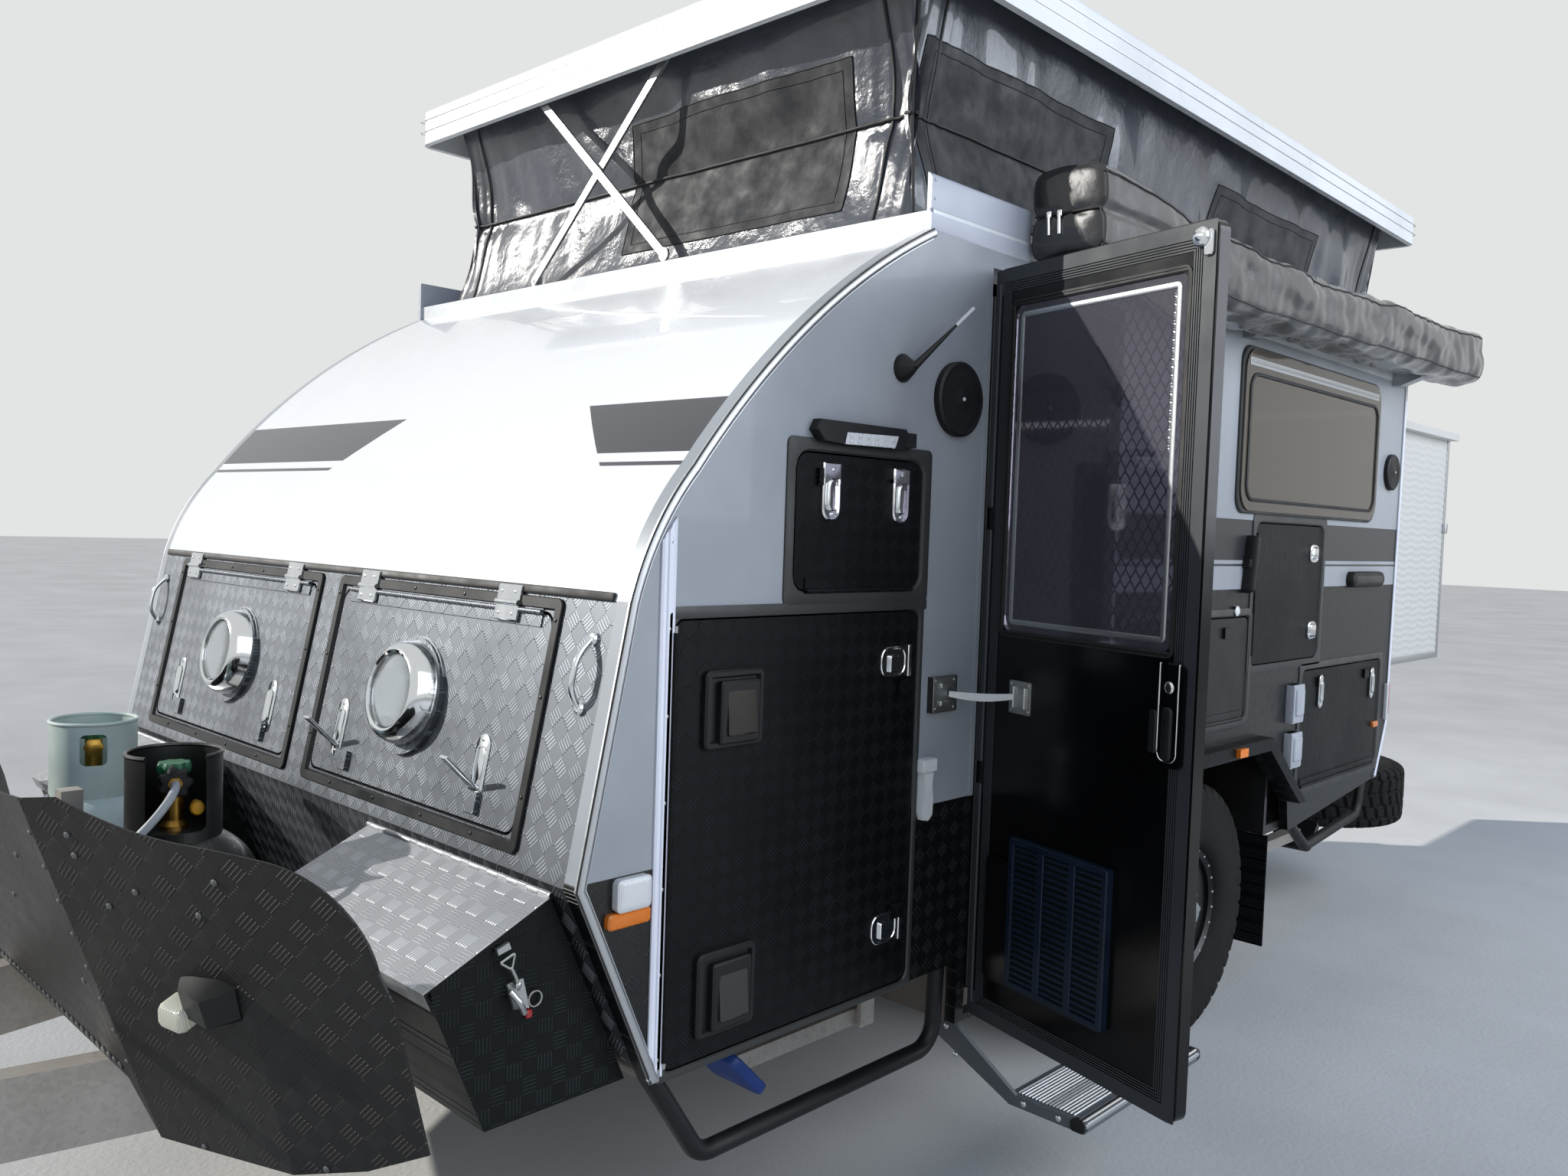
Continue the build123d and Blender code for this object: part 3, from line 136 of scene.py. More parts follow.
# Surfaces: every function returns (points, faces)
def grid_faces(rows, columns, wrap_rows=False, wrap_columns=False):
    """Quads of a rows by columns grid, wrapped round in either direction."""
    i = np.arange(rows if wrap_rows else rows - 1)[:, None]
    j = np.arange(columns if wrap_columns else columns - 1)[None, :]
    i1, j1 = (i + 1) % rows, (j + 1) % columns
    quads = np.stack(
        [i * columns + j + 0 * i1, i * columns + j1, i1 * columns + j1, i1 * columns + j], axis=-1
    )
    return quads.reshape(-1, 4).tolist()


def sheet_of(points, wrap_rows=False, wrap_columns=False, cap_ends=False):
    """A grid of points (rows, columns, 3) as a surface; its first and last rows can be capped."""
    rows, columns = points.shape[:2]
    faces = grid_faces(rows, columns, wrap_rows, wrap_columns)
    if cap_ends:
        faces.append(list(range(columns))[::-1])
        faces.append([(rows - 1) * columns + k for k in range(columns)])
    return points.reshape(-1, 3), faces


def rounded(width, height, radius, corner=6):
    """A rounded rectangle about its centre, anticlockwise: four quarter circles of the given radius."""
    radius = max(min(radius, width / 2 - 1e-5, height / 2 - 1e-5), 1e-5)
    turn = np.linspace(0, QUARTER, corner)
    angles = np.concatenate([turn + quarter * QUARTER for quarter in range(4)])
    sx = np.repeat([1, -1, -1, 1], corner) * (width / 2 - radius)
    sy = np.repeat([1, 1, -1, -1], corner) * (height / 2 - radius)
    return np.stack([sx + radius * np.cos(angles), sy + radius * np.sin(angles)], axis=-1)


def boss(face, centre, width, height, radius, rings, loop=False, corner=6, turn=0.0):
    """A raised form: a rounded rectangle carried through rings of (inset, height) off the face.

    A ring can name a corner radius of its own. A plain boss is closed by flat caps. With loop, the last ring
    joins the first, which makes a frame.
    """
    outlines = []
    for inset, lift, *own in rings:
        flat = rounded(width - 2 * inset, height - 2 * inset, own[0] if own else radius - inset, corner)
        outlines.append(np.column_stack([flat, np.full(len(flat), lift)]))
    local = np.array(outlines)
    c, s = math.cos(turn), math.sin(turn)
    x, y = local[..., 0].copy(), local[..., 1].copy()
    local[..., 0], local[..., 1] = centre[0] + c * x - s * y, centre[1] + s * x + c * y
    points = placed(face, local)
    return sheet_of(points, wrap_rows=loop, wrap_columns=True, cap_ends=not loop)


def plate(face, outline, low, high, edge=0.0):
    """A flat plate from a closed outline (n, 2), between two heights, with a small edge chamfer inwards."""
    outline = np.asarray(outline, float)
    centre = outline.mean(0)
    reach = np.abs(outline - centre).max()
    tight = centre + (outline - centre) * (1 - edge / reach)
    levels = [(outline, low), (outline, high - edge), (tight, high)]
    local = np.array([np.column_stack([o, np.full(len(o), z)]) for o, z in levels])
    return sheet_of(placed(face, local), wrap_columns=True, cap_ends=True)


def lathe(face, centre, profile, steps=32):
    """A turned form: a profile of (radius, height) carried round the face's normal at a centre."""
    profile = np.asarray(profile, float)
    angle = np.linspace(0, FULL, steps, endpoint=False)
    local = np.stack(
        [
            centre[0] + profile[:, 0:1] * np.cos(angle),
            centre[1] + profile[:, 0:1] * np.sin(angle),
            np.repeat(profile[:, 1:2], steps, axis=1),
        ],
        axis=-1,
    )
    return sheet_of(placed(face, local), wrap_columns=True, cap_ends=True)


def swept(path, section, sections=None, closed=False, reference=(0, 0, 1)):
    """A section (m, 2) carried along a path (n, 3), square to it, its second axis near the reference."""
    path = np.asarray(path, float)
    if closed:
        along = np.roll(path, -1, 0) - np.roll(path, 1, 0)
    else:
        along = np.gradient(path, axis=0)
    along /= np.linalg.norm(along, axis=1, keepdims=True)
    side = np.cross(along, np.asarray(reference, float))
    side /= np.linalg.norm(side, axis=1, keepdims=True)
    rise = np.cross(side, along)
    shape = np.broadcast_to(
        np.asarray(section, float), (len(path),) + np.shape(section)) if sections is None else sections
    points = path[:, None] + shape[..., 0:1] * side[:, None] + shape[..., 1:2] * rise[:, None]
    return sheet_of(points, wrap_rows=closed, wrap_columns=True, cap_ends=not closed)


def ring_section(radius, sides=12):
    """A circle's outline, wound so that a sweep's faces point outwards."""
    angle = np.linspace(0, FULL, sides, endpoint=False)
    return np.stack([np.cos(angle), -np.sin(angle)], -1) * radius


def bent(corners, radius):
    """A path through corners with each inner corner rounded: a quadratic curve from one run to the next."""
    corners = np.asarray(corners, float)
    t = np.linspace(0, 1, 6)[:, None]
    pieces = [corners[:1]]
    for before, here, after in zip(corners[:-2], corners[1:-1], corners[2:]):
        back, on = before - here, after - here
        reach = min(radius, np.linalg.norm(back) * 0.49, np.linalg.norm(on) * 0.49)
        start = here + back / np.linalg.norm(back) * reach
        end = here + on / np.linalg.norm(on) * reach
        pieces.append((1 - t) ** 2 * start + 2 * t * (1 - t) * here + t**2 * end)
    pieces.append(corners[-1:])
    return np.concatenate(pieces)


def rod(corners, radius, bend=0.02, sides=12):
    """A round bar along bent corners."""
    return swept(bent(corners, bend), ring_section(radius, sides), reference=SKEW)


def arc_through(a, b, c, count=24):
    """Points on the circle through three points of a plane, from the first to the last."""
    a, b, c = (np.asarray(p, float) for p in (a, b, c))
    m = np.array([b - a, c - a])
    centre = a + np.linalg.solve(2 * m, (m**2).sum(1))
    turns = np.unwrap([math.atan2(*(p - centre)[::-1]) for p in (a, b, c)])
    run = np.linspace(turns[0], turns[2], count)
    return centre + np.linalg.norm(a - centre) * np.stack([np.cos(run), np.sin(run)], -1)


def side_bead(path, inset, half, height):
    """A half-round bead on the kerb side along a path (y, z), set in to the path's right by an inset."""
    along = np.gradient(path, axis=0)
    along /= np.linalg.norm(along, axis=1, keepdims=True)
    inward = np.stack([along[:, 1], -along[:, 0]], -1)
    angle = np.linspace(0, math.pi, 9)
    flat = path[:, None] + inward[:, None] * (inset + half * np.cos(angle))[None, :, None]
    rise = np.broadcast_to(HALF + 0.0035 + height * np.sin(angle)[None, :, None], flat.shape[:2] + (1,))
    return sheet_of(np.concatenate([rise, flat], -1), wrap_columns=True, cap_ends=True)


def resampled(path, count):
    """A path's points spaced evenly along its length."""
    path = np.asarray(path, float)
    run = np.concatenate([[0], np.cumsum(np.linalg.norm(np.diff(path, axis=0), axis=1))])
    want = np.linspace(0, run[-1], count)
    return np.stack([np.interp(want, run, path[:, k]) for k in range(path.shape[1])], -1)


def even_outline(width, height, radius, corner, count):
    """A rounded rectangle's outline as points spaced evenly."""
    flat = rounded(width, height, radius, corner)
    return resampled(np.concatenate([flat, flat[:1]]), count + 1)[:-1]


def mirrored(part):
    """A part mirrored to the other side, with its faces turned the right way again."""
    return part[0] * (-1, 1, 1), [face[::-1] for face in part[1]]


def piece(name, parts, look, body="body", sharp=35, stands_for=()):
    """Join parts into one object, give it a finish and that finish's slot, and let it ride on a body."""
    points, faces, base = [], [], 0
    for part_points, part_faces in parts:
        points.append(part_points)
        faces += [[base + k for k in face] for face in part_faces]
        base += len(part_points)
    mesh = bpy.data.meshes.new(name)
    mesh.from_pydata(np.concatenate(points).tolist(), [], faces)
    mesh.validate()
    solid = bmesh.new()
    solid.from_mesh(mesh)
    bmesh.ops.recalc_face_normals(solid, faces=solid.faces[:])
    solid.to_mesh(mesh)
    solid.free()
    mesh.shade_smooth()
    mesh.set_sharp_from_angle(angle=math.radians(sharp))
    made = bpy.data.objects.new(name, mesh)
    bpy.context.scene.collection.objects.link(made)
    made.data.materials.append(FINISH[look])
    if body:
        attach(made, body)
    if stands_for:
        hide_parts(*stands_for)
    return made


# Finishes
def linear(colour):
    """An sRGB hex colour as the linear RGBA that a shader takes; a linear colour stays as it is."""
    if not isinstance(colour, str):
        return tuple(colour)
    parts = [int(colour[k : k + 2], 16) / 255 for k in (1, 3, 5)]
    return tuple(c / 12.92 if c <= 0.04045 else ((c + 0.055) / 1.055) ** 2.4 for c in parts) + (1.0,)


def put(tree, kind, inputs=(), **settings):
    """Add one node with its settings, and fill its inputs, in order or by key, with values or links."""
    made = tree.nodes.new("ShaderNode" + kind)
    for key, value in settings.items():
        setattr(made, key, value)
    for key, value in inputs.items() if isinstance(inputs, dict) else enumerate(inputs):
        if isinstance(value, bpy.types.Node):
            value = value.outputs[0]
        if isinstance(value, bpy.types.NodeSocket):
            tree.links.new(value, made.inputs[key])
        else:
            made.inputs[key].default_value = value
    return made


def new_finish(name, colour, roughness, **sockets):
    """A Principled material with its constant values on the shader's own sockets."""
    material = bpy.data.materials.new(name)
    material.use_nodes = True
    tree = material.node_tree
    shader = tree.nodes["Principled BSDF"]
    shader.inputs["Base Color"].default_value = linear(colour)
    shader.inputs["Roughness"].default_value = roughness
    for key, value in sockets.items():
        shader.inputs[key.replace("_", " ")].default_value = value
    where = put(tree, "TexCoord").outputs["Object"]
    return material, tree, shader, where


CLOUDY = (0.3, 0.7)  # the part of a noise's range that shows


def clouds(where, size_mm, detail):
    """A noise's inputs: soft blotches about size_mm across."""
    return {"Vector": where, "Scale": 1000 / size_mm, "Detail": detail, "Roughness": 0.55}


def tinted(tree, shader, factor, colour_a, colour_b):
    """Mix the base colour between two colours by a factor."""
    mix = put(
        tree, "Mix", {"Factor": factor, 6: linear(colour_a), 7: linear(colour_b)}, data_type="RGBA"
    )
    tree.links.new(mix.outputs[2], shader.inputs["Base Color"])
    return mix


def dulled(tree, shader, value, low, high, span=CLOUDY):
    """Let a value move the roughness between two limits."""
    dull = put(tree, "MapRange", (value, *span, low, high))
    tree.links.new(dull.outputs[0], shader.inputs["Roughness"])


def raised(tree, shader, height, depth_mm, strength=1.0, under=None):
    """Add relief of a real depth to a shader, over any relief that is already there."""
    inputs = {"Height": height, "Distance": depth_mm / 1000, "Strength": strength}
    if under is not None:
        inputs["Normal"] = under
    bump = put(tree, "Bump", inputs)
    tree.links.new(bump.outputs[0], shader.inputs["Normal"])
    return bump


def bar_plate(tree, u, v, cell_mm=43.0, bars=4.0):
    """Bar tread plate: square cells in a chequer, each with short bars, turned 90 degrees from the next.

    In each cell the bars lie at 45 degrees to the lattice. The result is 1 on a bar and 0 on the flat.
    """
    scale = 1000 / cell_mm
    cu = put(tree, "Math", (u, scale), operation="MULTIPLY")
    cv = put(tree, "Math", (v, scale), operation="MULTIPLY")
    fu = put(tree, "Math", (cu,), operation="FLOOR")
    fv = put(tree, "Math", (cv,), operation="FLOOR")
    total = put(tree, "Math", (fu, fv), operation="ADD")
    parity = put(tree, "Math", (total, 2.0), operation="FLOORED_MODULO")
    lu = put(tree, "Math", (put(tree, "Math", (cu,), operation="FRACT"), 0.5), operation="SUBTRACT")
    lv = put(tree, "Math", (put(tree, "Math", (cv,), operation="FRACT"), 0.5), operation="SUBTRACT")
    plus = put(tree, "Math", (lu, lv), operation="ADD")
    minus = put(tree, "Math", (lu, lv), operation="SUBTRACT")
    along = put(tree, "Mix", {0: parity, 2: plus, 3: minus}, data_type="FLOAT")
    across = put(tree, "Mix", {0: parity, 2: minus, 3: plus}, data_type="FLOAT")
    reach = put(tree, "Math", (along,), operation="ABSOLUTE")
    ends = put(tree, "MapRange", (reach, 0.50, 0.40))
    ripple = put(tree, "Math", (across, bars * FULL / 1.1), operation="MULTIPLY")
    wave = put(tree, "Math", (ripple,), operation="COSINE")
    crest = put(tree, "MapRange", (wave, 0.1, 0.75))
    width = put(tree, "Math", (across,), operation="ABSOLUTE")
    sides = put(tree, "MapRange", (width, 0.52, 0.46))
    both = put(tree, "Math", (ends, sides), operation="MULTIPLY")
    return put(tree, "Math", (both, crest), operation="MULTIPLY")


def plain_paint(name, colour, worn, roughness=0.3, coat=0.0, orange_peel_mm=3.0, specular=0.5):
    """Sprayed or rolled paint: faint orange peel in the gloss, slight dust and tone drift."""
    material, tree, shader, where = new_finish(
        name, colour, roughness, Specular_IOR_Level=specular, Coat_Weight=coat)
    tinted(
        tree, shader,
        put(tree, "MapRange", (put(tree, "TexNoise", clouds(where, 420, 5)), *CLOUDY, 0.0, 1.0)), colour, worn
    )
    dulled(tree, shader, put(tree, "TexNoise", clouds(where, 120, 6)), roughness * 0.8, roughness * 1.35)
    raised(tree, shader, put(tree, "TexNoise", clouds(where, orange_peel_mm, 2)), 0.12, 0.5)
    return material


def tread_plate(name, directions, colour, crest, roughness=0.42, metallic=0.0, specular=0.5, shaded_sides=None):
    """Aluminium five-bar tread plate, painted dark or light grey: the bars' tops are paler than the flat.

    Faces turned to the side can be painted a darker colour of their own: painted shade.
    """
    material, tree, shader, where = new_finish(
        name, colour, roughness, Metallic=metallic, Specular_IOR_Level=specular)
    u = put(tree, "VectorMath", (where, directions[0]), operation="DOT_PRODUCT").outputs["Value"]
    v = put(tree, "VectorMath", (where, directions[1]), operation="DOT_PRODUCT").outputs["Value"]
    bars = bar_plate(tree, u, v, bars=5.0)
    dust = put(tree, "TexNoise", clouds(where, 260, 6))
    worn = put(tree, "Math", (bars, put(tree, "MapRange", (dust, *CLOUDY, 0.4, 1.0))), operation="MULTIPLY")
    mix = tinted(tree, shader, worn, colour, crest)
    # Painted shade: faces turned to the side, found by their normal, take a darker colour than the top.
    if shaded_sides:
        normal = put(tree, "TexCoord").outputs["Normal"]
        reach = put(tree, "Math", (put(tree, "SeparateXYZ", (normal,)).outputs[0],), operation="ABSOLUTE")
        edge = put(tree, "Math", (reach, 0.7), operation="GREATER_THAN")
        tree.links.new(layered(tree, mix.outputs[2], edge, shaded_sides), shader.inputs["Base Color"])
    dulled(tree, shader, dust, roughness * 0.85, roughness * 1.25)
    raised(tree, shader, bars, 2.2, 1.0)
    return material


def brushed_metal(name, colour, roughness):
    """Drawn or plated metal: a grain in the gloss, a little smudged, drawn 2 mm across so that it shows."""
    material, tree, shader, where = new_finish(name, colour, roughness, Metallic=1.0)
    lines = put(tree, "TexNoise", clouds(where, 2.0, 3))
    dulled(tree, shader, lines, roughness * 0.75, roughness * 1.3)
    raised(tree, shader, lines, 0.05, 0.4)
    return material


def polished_metal(name, colour):
    """Chrome plate or polished stainless steel: near mirror, with a breath of fingermarks."""
    roughness = 0.08
    material, tree, shader, where = new_finish(name, colour, roughness, Metallic=1.0)
    dulled(tree, shader, put(tree, "TexNoise", clouds(where, 35, 6)), roughness * 0.6, roughness * 2.2)
    return material


def galvanised_steel(name, colour, dark):
    """Hot-dip galvanised steel: spangle of flat crystals about 9 mm across, each of its own tone."""
    material, tree, shader, where = new_finish(name, colour, 0.45, Metallic=0.5)
    spangle = put(tree, "TexVoronoi", {"Vector": where, "Scale": 1000 / 9.0})
    grey = put(tree, "RGBToBW", (spangle.outputs["Color"],))
    cloud = put(tree, "TexNoise", clouds(where, 180, 5))
    both = put(
        tree, "Math",
        (put(tree, "MapRange", (grey, 0, 1, 0.0, 0.5)), put(tree, "MapRange", (cloud, *CLOUDY, 0, 0.5))),
        operation="ADD")
    tinted(tree, shader, both, colour, dark)
    dulled(tree, shader, grey, 0.35, 0.58, (0, 1))
    raised(tree, shader, grey, 0.08, 0.4)
    return material


def moulded(name, colour, roughness, grain_mm=1.2, depth_mm=0.15, light=None, specular=0.5):
    """Moulded plastic or rubber: an even grain, slightly dusty on top.

    The real grain is under 0.5 mm, too fine to show, so it is drawn grain_mm across.
    """
    material, tree, shader, where = new_finish(name, colour, roughness, Specular_IOR_Level=specular)
    grain = put(tree, "TexNoise", clouds(where, grain_mm, 2))
    raised(tree, shader, grain, depth_mm, 0.5)
    dust = put(tree, "TexNoise", clouds(where, 90, 5))
    tinted(tree, shader, put(tree, "MapRange", (dust, *CLOUDY, 0.0, 1.0)), colour, light or colour)
    dulled(tree, shader, dust, roughness * 0.85, roughness * 1.2)
    return material


def clear_pane(name, colour, transmission):
    """Tinted acrylic: smooth and glossy, with a slow ripple from its forming."""
    material, tree, shader, where = new_finish(name, colour, 0.04, Transmission_Weight=transmission, IOR=1.49)
    raised(tree, shader, put(tree, "TexNoise", clouds(where, 140, 2)), 0.6, 0.25)
    return material


def coated_cloth(
    name, colour, light, thread_mm, roughness=0.42, crease_mm=70, crease_depth=3.0, sheen=0.15, coat=0.0):
    """Coated polyester or screen cloth: a square weave with soft creases.

    Real threads lie 1 to 1.5 mm apart, too fine to show, so they are drawn thread_mm apart.
    """
    material, tree, shader, where = new_finish(name, colour, roughness, Sheen_Weight=sheen, Coat_Weight=coat)
    split = put(tree, "SeparateXYZ", (where,))
    flat = put(tree, "Math", (split.outputs[0], split.outputs[1]), operation="ADD")
    waves = []
    for axis in (flat, split.outputs[2]):
        turn = put(tree, "Math", (axis, FULL * 1000 / thread_mm), operation="MULTIPLY")
        waves.append(put(tree, "Math", (turn,), operation="SINE"))
    weave = put(tree, "Math", (waves[0], waves[1]), operation="MULTIPLY")
    folds = put(tree, "TexNoise", clouds(where, crease_mm, 5))
    first = put(
        tree, "Bump", {"Height": folds, "Distance": crease_depth / 1000, "Strength": 0.9}
    )
    raised(tree, shader, weave, 0.25, 0.35, under=first)
    tinted(
        tree, shader,
        put(tree, "MapRange", (put(tree, "TexNoise", clouds(where, 300, 6)), *CLOUDY, 0.0, 1.0)), colour,
        light)
    dulled(tree, shader, folds, roughness * 0.8, roughness * 1.25)
    return material


def lens(name, colour):
    """Moulded lamp lens: clear gloss with fine upright flutes 4 mm apart."""
    material, tree, shader, where = new_finish(name, colour, 0.12, Coat_Weight=0.5, Transmission_Weight=0.15)
    split = put(tree, "SeparateXYZ", (where,))
    flat = put(tree, "Math", (split.outputs[0], split.outputs[1]), operation="ADD")
    turn = put(tree, "Math", (flat, FULL * 1000 / 4.0), operation="MULTIPLY")
    raised(tree, shader, put(tree, "Math", (turn,), operation="SINE"), 0.5, 0.6)
    return material


def banded(name, colour, axis, low, high, other, height=9.0):
    """Grained mouldings of one colour, and of another between two places on an axis, below a height."""
    material, tree, shader, where = new_finish(name, colour, 0.4, Coat_Weight=0.2)
    split = put(tree, "SeparateXYZ", (where,))
    mask = livery_mask(tree, split.outputs[axis], low, high)
    mask = put(tree, "Math", (mask, livery_mask(tree, split.outputs[2], -9.0, height)), operation="MULTIPLY")
    tree.links.new(layered(tree, linear(colour), mask, other), shader.inputs["Base Color"])
    dulled(tree, shader, put(tree, "TexNoise", clouds(where, 60, 5)), 0.32, 0.5)
    raised(tree, shader, put(tree, "TexNoise", clouds(where, 1.6, 2)), 0.12, 0.5)
    return material


def shown(name, finish):
    """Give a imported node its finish."""
    node = NODES[name]
    if not node.material_slots:
        node.data.materials.append(finish)
    for place in node.material_slots:
        place.material = finish


def livery_mask(tree, value, low, high):
    """1 where a value lies between two limits, with an edge 1 mm soft."""
    rise = put(tree, "MapRange", (value, low, low + 0.001))
    fall = put(tree, "MapRange", (value, high, high + 0.001, 1.0, 0.0))
    return put(tree, "Math", (rise, fall), operation="MULTIPLY")


def layered(tree, base, mask, colour):
    """Paint a colour over a base colour where a mask is 1."""
    mix = put(tree, "Mix", {"Factor": mask, 6: base, 7: linear(colour)}, data_type="RGBA")
    return mix.outputs[2]


def side_livery(name, silver, black):
    """Composite side panel: silver gelcoat above, a dark band and pinstripe aft, black tread plate below."""
    material, tree, shader, where = new_finish(name, silver, 0.34, Coat_Weight=0.1, Specular_IOR_Level=0.35)
    split = put(tree, "SeparateXYZ", (where,))
    y, z = split.outputs[1], split.outputs[2]
    aft_part = livery_mask(tree, y, aft(1790), 9.0)
    plate_fore = livery_mask(tree, z, -9.0, up(950))
    plate_aft = livery_mask(tree, z, -9.0, up(1413))
    aft_plate = put(tree, "Math", (aft_part, plate_aft), operation="MULTIPLY")
    lower = put(tree, "Math", (aft_plate, plate_fore), operation="MAXIMUM")
    band = put(tree, "Math", (aft_part, livery_mask(tree, z, up(1505), up(1634))), operation="MULTIPLY")
    stripe = put(tree, "Math", (aft_part, livery_mask(tree, z, up(1486), up(1493))), operation="MULTIPLY")
    bars = put(tree, "Math", (bar_plate(tree, y, z), lower), operation="MULTIPLY")
    cloud = put(tree, "TexNoise", clouds(where, 500, 5))
    base = put(
        tree, "Mix",
        {"Factor": put(tree, "MapRange", (cloud, *CLOUDY, 0, 1)), 6: linear(silver), 7: linear("#878c91")},
        data_type="RGBA")
    colour = layered(tree, base.outputs[2], band, "#26262a")
    colour = layered(tree, colour, stripe, "#2c2c30")
    colour = layered(tree, colour, lower, black)
    colour = layered(tree, colour, put(tree, "Math", (bars, 0.6), operation="MULTIPLY"), "#2a2f2f")
    tree.links.new(colour, shader.inputs["Base Color"])
    raised(
        tree, shader, bars, 2.0, 1.0,
        under=put(
            tree, "Bump",
            {"Height": put(tree, "TexNoise", clouds(where, 4.0, 2)), "Distance": 0.0001, "Strength": 0.4}))
    return material


def front_livery(name, white):
    """Gloss white front skin with a dark band at each side and a thin line below it."""
    material, tree, shader, where = new_finish(name, white, 0.22, Coat_Weight=0.5)
    split = put(tree, "SeparateXYZ", (where,))
    x, z = split.outputs[0], split.outputs[2]
    slant = put(tree, "Math", (z, 1.4, up(1740) * -1.4), operation="MULTIPLY_ADD")
    right = put(tree, "Math", (x, slant), operation="ADD")
    left = put(tree, "Math", (x, slant), operation="SUBTRACT")
    ends = put(
        tree, "Math",
        (livery_mask(tree, right, 0.70, 2.0), livery_mask(tree, left, -2.0, -0.22)), operation="MAXIMUM",
    )
    band = put(tree, "Math", (ends, livery_mask(tree, z, up(1692), up(1800))), operation="MULTIPLY")
    line = put(tree, "Math", (ends, livery_mask(tree, z, up(1666), up(1674))), operation="MULTIPLY")
    colour = layered(tree, linear(white), band, "#2b2d33")
    colour = layered(tree, colour, line, "#34363c")
    tree.links.new(colour, shader.inputs["Base Color"])
    dulled(tree, shader, put(tree, "TexNoise", clouds(where, 200, 6)), 0.18, 0.30)
    raised(tree, shader, put(tree, "TexNoise", clouds(where, 260, 2)), 1.2, 0.25)
    return material


def two_bottles(name):
    """Enamelled gas bottles: a pale grey-green one on the off side and a black one on the kerb side."""
    material, tree, shader, where = new_finish(name, "#c4d2cb", 0.38, Coat_Weight=0.2)
    x = put(tree, "SeparateXYZ", (where,)).outputs[0]
    kerb = livery_mask(tree, x, 0.0, 3.0)
    cloud = put(tree, "MapRange", (put(tree, "TexNoise", clouds(where, 90, 6)), *CLOUDY, 0, 1))
    pale = put(tree, "Mix", {"Factor": cloud, 6: linear("#c4d2cb"), 7: linear("#aebcb5")}, data_type="RGBA")
    colour = layered(tree, pale.outputs[2], kerb, "#141615")
    tree.links.new(colour, shader.inputs["Base Color"])
    raised(tree, shader, put(tree, "TexNoise", clouds(where, 3.0, 2)), 0.15, 0.5)
    return material


def weave_pad(name, colour, light):
    """Knitted mattress ticking: rows of small raised stitches about 6 mm apart over soft quilting."""
    return coated_cloth(name, colour, light, 6.0, roughness=0.85, crease_mm=110, crease_depth=2.0, sheen=0.4)


def length_choice(name, description, default, low, high):
    """A property for a length."""
    settings = {"default": default, "min": low, "max": high, "unit": "LENGTH"}
    return bpy.props.FloatProperty(name=name, description=description, **settings)


def colour_choice(name, description, colour):
    """A property for a colour."""
    settings = {"subtype": "COLOR", "size": 4, "min": 0, "max": 1, "default": linear(colour)}
    return bpy.props.FloatVectorProperty(name=name, description=description, **settings)


class CaravanColours(bpy.types.PropertyGroup):
    """Colours that an owner would choose."""
    silver: colour_choice("Silver panel", "Upper side panels", "#9da1a5")
    white: colour_choice("White skin", "Front skin, roof and top rail", "#dcdedf")
    black: colour_choice("Black plate", "Tread plate and frames", "#0c0e0e")
    canvas: colour_choice("Canvas", "Pop-top wall fabric", "#2b2f36")
    bag: colour_choice("Awning bag", "Awning bag fabric", "#131416")
    pad: colour_choice("Steady pads", "Plastic covers of the corner steadies", "#1c3f86")


class CaravanSizes(bpy.types.PropertyGroup):
    """Sizes of fittings that an owner would choose."""
    lug_depth: length_choice("Lug depth", "Depth of the tyre's tread", 0.010, 0.004, 0.016)
    lug_count: bpy.props.IntProperty(
        name="Lugs", description="Tread blocks round the tyre", default=42, min=20, max=60)
    mesh_pitch: length_choice("Mesh pitch", "Width of the door's security mesh diamonds", 0.027, 0.02, 0.08)
    crease: length_choice("Canvas crease", "How far the canvas folds in at half height", 0.075, 0.0, 0.12)
    porthole: length_choice("Porthole", "Radius of the portholes' chrome rings", 0.118, 0.09, 0.12)


# Every finish by its short name
FINISH = {}


